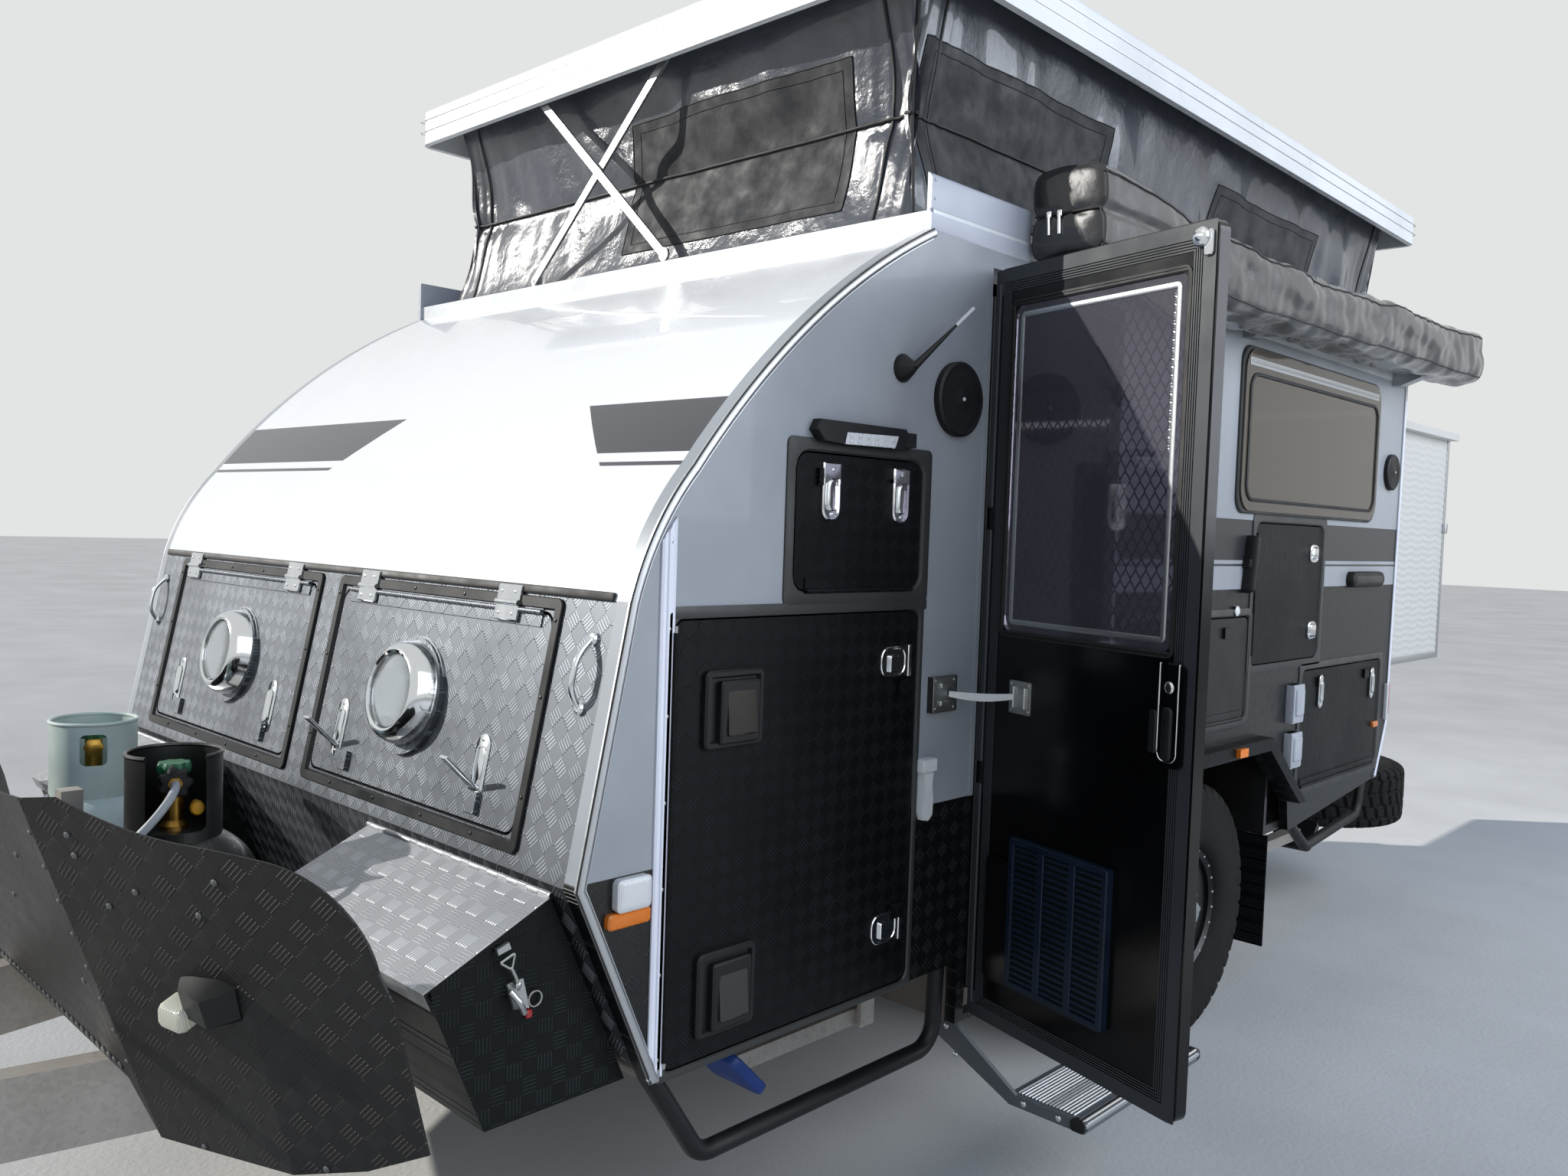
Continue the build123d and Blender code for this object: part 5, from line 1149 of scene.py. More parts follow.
class CARAVAN_OT_kerb_side(bpy.types.Operator):
    """Add the kerb side's hatch frames, latches, lamps, inlets, aerial, speakers and edge strips"""
    bl_idname = "caravan.kerb_side"
    bl_label = "Kerb side"

    def execute(self, context):
        frames = []
        for name, y0, y1, z0, z1, bend in HATCHES:
            centre = ((aft(y0) + aft(y1)) / 2, (up(z0) + up(z1)) / 2)
            width, height = (y1 - y0) / 1000, (z1 - z0) / 1000
            lip = [
                (-0.030, -0.001, 0.014), (-0.030, 0.003, 0.014), (-0.028, 0.0042, 0.012),
                (-0.008, 0.0042, bend + 0.008), (-0.006, 0.002, bend + 0.006), (-0.004, -0.001, bend + 0.004)]
            if name == "tall_boot_door":
                lip = [
                    (-0.018, -0.001, 0.006), (-0.018, 0.002, 0.006), (-0.016, 0.003, 0.005),
                    (-0.007, 0.003, bend + 0.007), (-0.006, 0.002, bend + 0.006),
                    (-0.004, -0.001, bend + 0.004)]
            frames.append(boss(KERB, centre, width, height, 0.006, lip, loop=True, corner=4))
        y0, y1, z0, z1 = aft(1850), aft(2650), up(1000), up(1322)
        frames.append(boss(
            KERB, ((y0 + y1) / 2, (z0 + z1) / 2), y1 - y0, z1 - z0, 0.010,
            mm((-30, -1), (-30, 4), (-27, 6), (-9, 6), (-6, 3), (-4, -1)), loop=True, corner=5))
        frames.append(boss(
            KERB, (aft(569), up(1403)), 0.732, 0.022, 0.002, mm((0, -1), (0, 3), (1, 3.5)), corner=3))
        piece("kerb_hatch_frames", frames, "charcoal")

        corner, nose, brow = (aft(175), up(560)), (aft(0), up(940)), (aft(100), up(1424))
        brow_end, crown_end = (aft(235), up(1668)), (aft(908), up(2215))
        run = np.concatenate([
            np.linspace(corner, nose, 16)[:-1], np.linspace(nose, brow, 16)[:-1],
            arc_through(brow, (aft(154), up(1556)), brow_end)[:-1],
            arc_through(brow_end, (aft(528), up(1970)), crown_end, 48),])
        beads, lines = [side_bead(run, 0.012, 0.0085, 0.0045)], [side_bead(run, 0.0025, 0.0022, 0.0018)]
        beads += [mirrored(part) for part in beads]
        piece("front_edge_beads", beads, "anodised")
        piece("front_edge_lines", lines + [mirrored(part) for part in lines], "seal")
        run = resampled([(aft(4080), up(2150)), (aft(4055), up(845)), (aft(3958), up(640))], 40)
        beads = [side_bead(run, 0.012, 0.0085, 0.0045)]
        piece("rear_edge_beads", beads + [mirrored(part) for part in beads], "white_trim")

        strip = mm(
            (-16.5, 0), (-16.5, 3.5), (-12, 5.5), (-9, 3), (-3, 3), (-1, 5.5), (3, 5.5), (5, 3), (12, 3),
            (16.5, 4.5), (16.5, 0))
        profile = [
            joined(HALF + h, aft(186) + a, np.linspace(up(568), up(1552) + 1.27 * a, 40)) for a, h in strip]
        strip_part = sheet_of(np.stack(profile, 1), wrap_columns=True, cap_ends=True)
        places = [(aft(190), z) for z in np.linspace(up(600), up(1530), 7)]
        piece("kerb_edge_strip", [strip_part], "white_trim")
        pins = np.linspace(up(580), up(1380), 100)
        knuckle = joined(HALF + 0.004, aft(206), pins)
        size = np.array([ring_section(0.0034 + 0.0008 * (k % 2), 8) for k in range(100)])
        piece(
            "kerb_piano_hinge",
            [swept(knuckle, None, sections=size, reference=(1, 0, 0))] + screws(KERB, places, 0.0042, 0.003),
            "zinc")

        parts = []
        for y in (2.382, 2.604):
            parts.append(boss(KERB, (y, 1.205), 0.053, 0.116, 0.024, [
                (0, -0.001), (0, 0.0075), (0.003, 0.0105), (0.006, 0.0105), (0.008, 0.0098)], corner=8))
            parts.append(boss(
                KERB, (y, 1.245), 0.053, 0.036, 0.004, mm((0, -1), (0, 7.5), (3, 10.5), (6, 10.8)), corner=4))
            parts.append(boss(
                KERB, (y, 1.197), 0.026, 0.062, 0.013, mm((0, 9), (0, 12.5), (2, 14.5), (5, 13.5), (9, 13)),
                corner=8))
            parts += screws(KERB, [(y, 1.160), (y, 1.248)], 0.0036, 0.0105)
        piece("upper_hatch_latches", parts, "chrome", "upper_hatch")
        parts = []
        for place in ((5.080, 0.604), (5.619, 0.598)):
            parts += latch(KERB, place, 0.120, 0.040, lift=0.0065)
        piece("rear_boot_latches", parts, "chrome", "rear_boot_door")
        parts = []
        for place in ((4.957, 1.101), (4.970, 0.830)):
            parts.append(boss(
                KERB, place, 0.074, 0.062, 0.022, mm((0, -1), (0, 4.5), (3, 7), (8, 7), (12, 4)), corner=8))
            parts.append(boss(KERB, place, 0.048, 0.037, 0.006, mm((0, 1), (0, 9.5), (3, 11.5)), corner=5))
        piece("side_locker_latches", parts, "chrome", "side_locker_door")
        parts = []
        for z in (up(1281), up(702)):
            outline = boss(
                KERB, (aft(828), z), 0.086, 0.066, 0.026, mm((0, -1), (0, 2), (2, 3.5), (4, 3.5), (6, 1.5)),
                corner=8)
            parts.append(outline)
            parts.append(boss(KERB, (aft(826), z - 0.004), 0.030, 0.036, 0.004, mm((0, 1), (0, 6), (2, 8))))
            parts.append(boss(KERB, (aft(880), z), 0.012, 0.070, 0.003, mm((0, -1), (0, 4), (1.5, 6))))
        piece("tall_door_latches", parts, "chrome", "tall_boot_door")
        parts = []
        faces = []
        for z0, z1 in ((up(1149), up(1296)), (up(610), up(770))):
            middle, height = (aft(352), (z0 + z1) / 2), z1 - z0
            parts.append(boss(
                KERB, middle, 0.150, height, 0.014, mm((0, -1), (0, 8), (4, 12), (12, 12), (16, 4)), corner=6
            ))
            parts.append(boss(
                KERB, (middle[0] + 0.008, middle[1] - 0.006), 0.100, height * 0.80, 0.006,
                mm((0, 3), (0, 16), (4, 19)), corner=5))
            tilted = face_frame(
                (HALF + 0.0195, middle[0] + 0.010, middle[1] - 0.004), (0, 1, 0),
                (math.sin(-0.08), 0, math.cos(0.08)))
            faces.append(boss(
                tilted, (0, 0), 0.074, height * 0.60, 0.005, mm((0, -4), (0, 1), (2, 2.5)), corner=4))
        piece("tall_door_boxes", parts, "plastic", "tall_boot_door")
        piece("tall_door_box_windows", faces, "glaze", "tall_boot_door")

        housing = [
            (2.330, 1.345), (2.598, 1.345), (2.608, 1.332), (2.589, 1.301), (2.412, 1.299), (2.338, 1.303),
            (2.317, 1.324)]
        parts = [plate(KERB, housing, -0.001, 0.0235, 0.004)]
        side_lamp = (5.467, 1.0075)
        parts.append(boss(
            KERB, side_lamp, 0.346, 0.059, 0.028, mm((0, -1), (0, 16), (5, 26), (14, 30)), corner=8))
        for y0, z0, radius in SPEAKERS:
            profile = [
                (radius + 0.0015, -0.001), (radius + 0.0015, 0.014), (radius - 0.004, 0.0185),
                (radius - 0.010, 0.0175), (radius - 0.014, 0.0165)]
            turns = [
                (radius - 0.014 - 0.0045 * k, 0.0165 + 0.0014 * (k % 2))
                for k in range(1, int((radius - 0.034) / 0.0045))]
            parts.append(lathe(KERB, (y0, z0), profile + turns + mm((16, 18.5), (10, 20.5), (4, 21)), 56))
        parts.append(boss(
            KERB, (4.3895, 1.0635), 0.028, 0.186, 0.013, mm((0, -1), (0, 20), (4, 32), (8, 38), (12, 40)),
            corner=8, turn=-0.139))
        parts.append(boss(
            KERB, (4.3895, 1.0635), 0.046, 0.030, 0.006, mm((0, -1), (0, 22), (4, 27)), turn=-0.139))
        base = (aft(822), up(1905))
        parts.append(lathe(KERB, base, mm((30, -1), (30, 4), (22, 16), (12, 30), (7, 36)), 28))
        root = placed(KERB, (base[0], base[1], 0.030))
        tip = placed(KERB, (2.707, 1.574, 0.058))
        t = np.linspace(0, 1, 10)[:, None]
        shaft = root * (1 - t) + tip * t
        sizes = np.array([ring_section(0.0085 - 0.0058 * k, 12) for k in t[:, 0]])
        parts.append(swept(shaft, None, sections=sizes, reference=(0.9, 0.1, 0.2)))
        piece("kerb_black_fittings", parts, "plastic")
        end = np.array([tip, tip + (tip - root) / np.linalg.norm(tip - root) * 0.062])
        bits = [rod(end, 0.0042, sides=12)]
        bits += [lathe(KERB, place[:2], mm((4.5, 20), (4.5, 23), (3, 24.5)), 12) for place in SPEAKERS]
        bits.append(plate(
            KERB, [(2.569, 1.328), (2.406, 1.324), (2.400, 1.300), (2.559, 1.303)], 0.021, 0.0245, 0.001))
        for k in range(12):
            place = (2.417 + 0.0268 * (k % 6), 1.319 - 0.0125 * (k // 6))
            bits.append(lathe(KERB, place, mm((5.5, 24), (5.5, 25.5), (3.5, 26.8), (1, 27.2)), 12))
        bits.append(boss(
            KERB, (1.900, 0.489), 0.076, 0.058, 0.010, mm((0, -1), (0, 14), (4, 17.5), (12, 19))))
        bits.append(boss(KERB, (5.807, 0.509), 0.016, 0.146, 0.006, mm((0, -1), (0, 10), (3, 13))))
        piece("kerb_lamp_faces", bits, "white_lens")
        bits = [boss(KERB, (1.893, 0.446), 0.094, 0.028, 0.008, mm((0, -1), (0, 10), (3, 13), (9, 14)))]
        piece("kerb_front_marker", bits, "amber")
        bits = [boss(KERB, (5.682, 0.429), 0.052, 0.024, 0.008, mm((0, -1), (0, 9), (3, 12)))]
        piece("rear_boot_marker", bits, "amber", "rear_boot_door")
        bits = [boss(KERB, side_lamp, 0.286, 0.030, 0.014, mm((0, 22), (0, 29.5), (4, 31.5)), corner=6)]
        piece("side_lamp_face", bits, "charcoal")
        parts = []
        for z0, z1 in ((up(945), up(1077)), (up(788), up(910))):
            middle = (aft(3052), (z0 + z1) / 2)
            height = z1 - z0
            parts.append(boss(
                KERB, middle, 0.098, height, 0.008, mm((0, -1), (0, 16), (4, 26.5), (8, 28)), corner=5))
            parts.append(boss(
                KERB, (middle[0], middle[1] + 0.006), 0.070, height * 0.72, 0.010,
                mm((0, 24), (0, 30), (4, 33.5)), corner=6))
        piece("kerb_inlets", parts, "grey_plastic")
        catch = [boss(KERB, (aft(950), up(1045)), 0.050, 0.030, 0.004, mm((0, -1), (0, 18), (2, 21)))]
        outline = mm(
            (-18, 45), (16, 45), (12, 15), (18, -15), (16, -55), (4, -66), (-14, -62), (-22, -40), (-14, 0))
        catch.append(plate(KERB, np.array(outline) + (aft(951), up(985)), -0.001, 0.018, 0.004))
        catch += [lathe(KERB, (aft(2530) + 0.015, up(1345)), mm((16, -1), (16, 10), (12, 13), (5, 14)), 24)]
        catch.append(boss(
            KERB, (aft(2300), up(1128)), 0.026, 0.070, 0.008, mm((0, -1), (0, 14), (4, 20)), corner=5))
        piece("kerb_white_catches", catch, "white_plastic")
        parts = [boss(KERB, (aft(1000), up(1200)), 0.088, 0.082, 0.004, mm((0, -1), (0, 12), (2, 14.5)))]
        for b in (-0.020, 0.020):
            parts.append(boss(
                KERB, (aft(1000), up(1200) + b), 0.040, 0.012, 0.003, mm((0, 13), (0, 18), (1.5, 20))))
        places = [(aft(1000) + a, up(1200) + b) for a in (-0.034, 0.034) for b in (-0.031, 0.031)]
        piece("kerb_stay_plate", parts + screws(KERB, places, 0.0034, 0.0145), "zinc")

        start = placed(KERB, (aft(1012), up(1200), 0.017))
        end = placed(DOOR_FACE, (0.125, 0.767, DOOR_SKIN + 0.011))
        t = np.linspace(0, 1, 29)[:, None]
        droop = np.array([[0, 0, -0.005]]) * np.sin(t * math.pi)
        spine = start * (1 - t) + end * t + droop
        width = 0.0065 + 0.0025 * np.sin(t[:, 0] * math.pi)
        sizes = np.array([rounded(0.0016, 2 * w, 0.0007, 2) for w in width])
        strap = piece(
            "door_stay_strap", [swept(spine, None, sections=sizes, reference=(0, 0, 1))], "webbing", None)
        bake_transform(strap)
        return {"FINISHED"}


def canvas_wall(low, high, top_half, crease, crease_height, corner, seed, levels=49, around=620):
    """The pop-top's wall cloth: a closed band between roof and body, pulled in along its elastic.

    Round the band the outline is a rounded rectangle. Its inset at a height is the crease depth times a curve
    that is full at the elastic and nothing at top and bottom, plus sine folds that grow between the fixed
    edges and upright pleats near the corners.
    """
    rng = np.random.default_rng(seed)
    x_half, y_low, y_high = top_half
    flat = even_outline(2 * x_half, y_high - y_low, corner, 12, around)
    out = np.stack(
        [
            np.roll(flat, -1, 0)[:, 1] - np.roll(flat, 1, 0)[:, 1],
            np.roll(flat, 1, 0)[:, 0] - np.roll(flat, -1, 0)[:, 0]],
        -1)
    out /= np.linalg.norm(out, axis=1, keepdims=True)
    t = np.linspace(0, 1, levels)
    z = low + (high - low) * t
    run = np.arange(around) / around * FULL
    knee = (crease_height - low) / (high - low)
    fall = np.where(t < knee, t / knee, (1 - t) / (1 - knee))
    pull = crease * fall**0.8
    folds = np.zeros((levels, around))
    loose = np.sin(t * math.pi)[:, None] * (1 - 0.75 * np.exp(-(((t - knee) / 0.05) ** 2)))[:, None]
    for count, size in ((9, 0.010), (17, 0.008), (29, 0.0055), (47, 0.0035), (83, 0.0016)):
        lean = rng.uniform(-3.0, 3.0)
        phase = rng.uniform(0, FULL)
        second = rng.uniform(0, FULL)
        folds += size * np.sin(run[None, :] * count + lean * t[:, None] + phase) * np.sin(
            2.2 * math.pi * t[:, None] + 0.4 * count * run[None, :] + second)
    folds *= loose
    spots = np.stack(
        [
            np.abs(np.abs(flat[:, 0]) - x_half),
            np.minimum(
                np.abs(flat[:, 1] + (y_low + y_high) / 2 - y_low),
                np.abs(flat[:, 1] + (y_low + y_high) / 2 - y_high))],
        -1)
    nearness = np.exp(-(np.hypot(spots[:, 0], spots[:, 1]) / 0.16) ** 2)
    pleat = 0.007 * np.sin(run * 210) * nearness
    folds = folds + pleat[None, :] * np.sin(t * math.pi)[:, None] ** 0.6
    inset = 0.012 + pull[:, None] + np.clip(folds, -0.03, 0.03)
    xy = flat[None, :, :] - out[None, :, :] * inset[..., None]
    points = np.concatenate([xy, np.broadcast_to(z[:, None, None], (levels, around, 1))], -1)
    points[..., 1] += (y_low + y_high) / 2
    return points, out, flat


def thick_band(points, out, thickness):
    """A closed shell from a band of points: the band and the same band set in, joined at both rims."""
    inner = points.copy()
    inner[..., :2] -= out[None] * thickness
    return sheet_of(np.concatenate([points, inner[::-1]]), wrap_rows=True, wrap_columns=True)


def patch_of(points, out, columns, rows, lift, thickness=0.0012):
    """A panel laid on a band between two columns and two rows, standing off it by a lift."""
    part = points[rows[0] : rows[1], columns].copy()
    normal = out[columns]
    front, back = part.copy(), part.copy()
    front[..., :2] += normal[None] * (lift + thickness)
    back[..., :2] += normal[None] * lift
    nr, nc = part.shape[:2]
    ring = [(0, j) for j in range(nc)] + [(i, nc - 1) for i in range(1, nr)] + [
        (nr - 1, j) for j in range(nc - 2, -1, -1)] + [(i, 0) for i in range(nr - 2, 0, -1)]
    ring = [i * nc + j for i, j in ring]
    faces = grid_faces(nr, nc) + [[nr * nc + k for k in face[::-1]] for face in grid_faces(nr, nc)]
    faces += [[a, nr * nc + a, nr * nc + b, b] for a, b in zip(ring, ring[1:] + ring[:1])]
    return np.concatenate([front.reshape(-1, 3), back.reshape(-1, 3)]), faces


class CARAVAN_OT_canvas(bpy.types.Operator):
    """Add the pop-top's wall canvas with its mesh windows, seams and elastic"""
    bl_idname = "caravan.canvas"
    bl_label = "Pop-top canvas"

    def execute(self, context):
        depth = context.scene.caravan_sizes.crease
        low, high = CANVAS_LOW + 0.001, CANVAS_TOP - 0.001
        points, out, flat = canvas_wall(
            low, high, (0.984, aft(948), aft(4052)), depth, CANVAS_ELASTIC, 0.060, 41)
        wall = piece(
            "pop_top_canvas", [thick_band(points, out, 0.0016)], "canvas", None, sharp=60,
            stands_for=("roof_canvas",))
        x, y = points[0, :, 0], points[0, :, 1]
        fore, kerb = y < aft(1010), (x > 0.9)
        windows = []
        for mask, along, start, end, z0, z1 in (
            (fore, x, -0.10, 0.74, up(2318), up(2690)), (kerb, y, aft(1040), aft(1900), up(2330), up(2700)),
            (kerb, y, aft(2560), aft(3420), up(2330), up(2700)),
            (x < -0.9, y, aft(1500), aft(2400), up(2330), up(2700)),
            (x < -0.9, y, aft(2700), aft(3600), up(2330), up(2700)),):
            columns = np.nonzero(mask & (along > start) & (along < end))[0]
            if columns[-1] - columns[0] > len(x) / 2:
                columns = np.concatenate([columns[columns > len(x) / 2], columns[columns < len(x) / 2]])
            levels = points[:, 0, 2]
            rows = (int(np.searchsorted(levels, z0)), int(np.searchsorted(levels, z1)))
            windows.append((columns, rows))
        meshes = [patch_of(points, out, columns, rows, 0.0006) for columns, rows in windows]
        screens = piece("pop_top_window_screens", meshes, "mesh", None, sharp=60)
        hems, seams = [], []
        for columns, rows in windows:
            for width in (0, 2):
                across = columns[width : len(columns) - width]
                edge = np.concatenate([
                    points[rows[0] + width, across],
                    points[rows[0] + width : rows[1] - width, columns[-1 - width]],
                    points[rows[1] - 1 - width, across][::-1],
                    points[rows[0] + width : rows[1] - width, columns[width]][::-1],
                ])
                tall = rows[1] - rows[0] - 2 * width
                normal = np.concatenate([
                    out[across], np.repeat(out[columns[-1 - width]][None], tall, 0),
                    out[across][::-1], np.repeat(out[columns[width]][None], tall, 0),
                ])
                edge[:, :2] += normal * 0.0022
                keep = np.concatenate([[True], np.linalg.norm(np.diff(edge, axis=0), axis=1) > 1e-5])
                hems.append(swept(
                    edge[keep], rounded(0.0030, 0.0030, 0.0012, 2), closed=True, reference=SKEW))
        elastic_row = int(np.searchsorted(points[:, 0, 2], CANVAS_ELASTIC))
        line = points[elastic_row].copy()
        line[:, :2] += out * 0.004
        seams.append(swept(line, ring_section(0.0042, 8), closed=True))
        for sx, sy in ((1, -1), (-1, -1), (1, 1), (-1, 1)):
            for offset in (0.14, 0.0, -0.14):
                target = np.array([
                    sx * (0.984 - max(-offset, 0) - 0.004), (sy * (1.552 - max(offset, 0) - 0.004))])
                column = int(np.argmin(np.hypot(flat[:, 0] - target[0], flat[:, 1] - target[1])))
                line = points[:, column].copy()
                line[:, :2] += out[column] * 0.0028
                seams.append(swept(
                    line, rounded(0.007, 0.0028, 0.001, 2), reference=(out[column][0], out[column][1], 0.02)))
        trim = piece("pop_top_canvas_seams", hems + seams, "seal", None, sharp=50)
        keep = (CANVAS_PACKED - CANVAS_LOW) / (CANVAS_TOP - CANVAS_LOW)
        for made in (wall, screens, trim):
            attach(made, "body")
            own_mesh(made)
        tall = float(np.linalg.norm(np.diff(points, axis=0), axis=2).sum(0).mean())
        return {"FINISHED"}


def bag_shell(axis, ends, seed, along=330, around=72):
    """The awning's bag: a full squarish pouch at its flat fore end, then a soft tube round the rolled awning.

    Tables give each row's half sizes, height and squareness by its distance, and the first rows close the
    fore end as a flat cushion with a rounded edge. A groove at the zip's height pinches the pouch. Long folds
    are slow sines of the turn that drift along the bag, over broad ripples that die out at the ends. The last
    rows draw in the aft end.
    """
    rng = np.random.default_rng(seed)
    length = ends[1] - ends[0]
    nose = np.linspace(0.03, QUARTER, 24)
    reach = np.concatenate([
        0.024 * (1 - np.cos(nose) ** 0.5), np.linspace(0.024, length - 0.014, along - 31)[1:],
        length - 0.014 * (1 - np.linspace(0, 1, 8)) ** 0.5])
    close = np.concatenate([
        np.sin(nose) ** 0.5, np.ones(along - 32), np.linspace(1, 0.03, 8) ** 0.6])[:, None]
    wide = np.interp(reach, (0, 0.9, length), (0.0965, 0.094, 0.0965))[:, None]
    tall = np.interp(reach, (0, 0.25, 0.9, length), (0.103, 0.104, 0.095, 0.108))[:, None]
    rise = np.interp(reach, (0, 0.12, 0.9, length), (0, -0.002, -0.028, 0.034))[:, None]
    power = np.interp(reach, (0, 0.15, 0.6, length), (7.0, 6.0, 3.6, 3.2))[:, None]
    a = np.linspace(0, FULL, around, endpoint=False)[None, :]
    t = (reach / length)[:, None]
    head = np.clip((0.42 - reach) / 0.14, 0, 1)[:, None]
    square = (np.abs(np.cos(a)) ** power + np.abs(np.sin(a)) ** power) ** (-1 / power)
    ease = np.zeros((along, around))
    for count, size in ((3, 0.0042), (7, 0.0040), (12, 0.0034), (21, 0.0024), (37, 0.0013)):
        ease += size * np.sin(
            FULL * count * t + rng.uniform(0, 6.28) + 1.3 * np.sin(a + rng.uniform(0, 6.28))
        ) * np.cos(a * rng.integers(1, 4) + rng.uniform(0, 6.28))
    for count, size in ((3, 0.0040), (5, 0.0032), (8, 0.0018)):
        drift = 1.7 * np.sin(
            FULL * rng.uniform(1.0, 3.0) * t + rng.uniform(0, 6.28)
        ) + 0.8 * np.sin(FULL * rng.uniform(5, 9) * t)
        ease += size * np.sin(count * a + rng.uniform(0, 6.28) + drift)
    ease = (ease - 0.004) * close * (1 - 0.55 * head)
    x = axis[0] + (square * wide + ease) * np.cos(a) * close
    z = axis[1] + rise + (square * tall + ease) * np.sin(a) * close
    groove = 0.011 * head * np.exp(-(((z - axis[1] + 0.004) / 0.012) ** 2))
    x -= groove * np.sign(np.cos(a)) * close
    y = ends[0] + reach[:, None] + 0.9 * groove * (1 - close)
    x = np.clip(x, axis[0] - wide - 0.002, axis[0] + wide + 0.002)
    return np.stack([x, np.broadcast_to(y, x.shape), z], -1)


class CARAVAN_OT_awning(bpy.types.Operator):
    """Add the awning bag with its zip, zip pulls and piping"""
    bl_idname = "caravan.awning"
    bl_label = "Awning bag"

    def execute(self, context):
        axis = (1.177, up(2310))
        points = bag_shell(axis, (aft(1266), aft(4359)), 5)
        bag = sheet_of(points, wrap_columns=True, cap_ends=True)
        made = piece("awning_bag_cover", [bag], "bag", sharp=60, stands_for=("awning_bag",))
        parts = []
        for column in (8, 64, 28):
            line = points[16:-9, column].copy()
            line[:, 0] += 0.001 if column != 28 else -0.001
            parts.append(swept(line, rounded(0.0050, 0.0050, 0.0020, 3), reference=(0, 0, 1)))
        nose = points[20].copy()
        nose[:, 1] -= 0.001
        parts.append(swept(nose, ring_section(0.0026, 8), closed=True, reference=(0, 1, 0)))
        piece("awning_bag_piping", parts, "seal")
        z = axis[1] - 0.004
        zips = [rod([(x, aft(1268), z) for x in (axis[0] - 0.084, axis[0] + 0.084)], 0.0030, sides=8)]
        pulls = []
        for x in (-0.046, -0.018):
            start = (axis[0] + x, aft(1263), z)
            pulls.append(rod([start, (start[0] + 0.003, start[1] - 0.001, z - 0.048)], 0.0040, sides=10))
            pulls.append(boss(
                face_frame((start[0], start[1] + 0.004, z), (1, 0, 0), (0, 0, 1)), (0, 0), 0.012, 0.016,
                0.003, mm((0, -2), (0, 4), (1, 5))))
        piece("awning_bag_zip", zips, "seal")
        piece("awning_bag_zip_pulls", pulls, "chrome")
        return {"FINISHED"}


GUARD_LOW, GUARD_TOP = up(440), up(1110)
GUARD_PLAN = (  # x, y at the top, y at the foot
    (0.0, aft(-673), aft(-438)),
    (0.500, aft(-673), aft(-438)),
    (0.800, aft(-512), aft(-337)),
    (1.060, aft(-368), aft(-214)),
)


def guard_face(x, height, side=1):
    """A face on the stone guard's sheet at a distance from the middle and a height, leaning as it does."""
    share = (height - GUARD_LOW) / (GUARD_TOP - GUARD_LOW)
    fold = 0 if x < 0.5 else 1 if x < 0.8 else 2
    near, far = GUARD_PLAN[fold:fold + 2]

    def at(xx, s):
        k = (xx - near[0]) / (far[0] - near[0])
        top, low = (near[c] + (far[c] - near[c]) * k for c in (1, 2))
        return np.array([xx, top * s + low * (1 - s), GUARD_LOW + (GUARD_TOP - GUARD_LOW) * s])

    here = at(x, share)
    u = at(x + 0.01, share) - here
    v = at(x, share + 0.01) - here
    u /= np.linalg.norm(u)
    v -= u * (u @ v)
    v /= np.linalg.norm(v)
    if side < 0:
        here, u, v = here * (-1, 1, 1), -u * (-1, 1, 1), v * (-1, 1, 1)
    return face_frame(here, u, v)


VALVE_TURN = math.radians(-17)
HOSE_ROUTE = (  # the gas hose's route, in metres
    (BOTTLE_X + 0.0463 * math.cos(VALVE_TURN), BOTTLE_Y + 0.0463 * math.sin(VALVE_TURN), OUTLET_HEIGHT),
    (BOTTLE_X + 0.096 * math.cos(VALVE_TURN), BOTTLE_Y + 0.096 * math.sin(VALVE_TURN), OUTLET_HEIGHT),
    (0.352, aft(-408), up(990)), (0.340, aft(-462), up(935)), (0.262, aft(-494), up(892)),
    (0.150, aft(-501), up(871)), (0.0503, aft(-500), up(870)),
)


class CARAVAN_OT_gas_hose(bpy.types.Operator):
    """Add the gas hose from the kerb side bottle to the regulator"""
    bl_idname = "caravan.gas_hose"
    bl_label = "Gas hose"

    def execute(self, context):
        curve = bpy.data.curves.new("gas_hose_run", "CURVE")
        curve.dimensions = "3D"
        curve.bevel_depth = 0.008
        curve.bevel_resolution = 5
        curve.resolution_u = 16
        curve.use_fill_caps = True
        spline = curve.splines.new("NURBS")
        spline.points.add(len(HOSE_ROUTE) - 1)
        spline.points.foreach_set("co", [value for point in HOSE_ROUTE for value in (*point, 1)])
        spline.order_u = 3
        spline.use_endpoint_u = True
        curve.materials.append(FINISH["hose"])
        hose = bpy.data.objects.new("gas_hose_run", curve)
        context.scene.collection.objects.link(hose)
        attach(hose, "body")
        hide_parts("gas_hose")
        return {"FINISHED"}


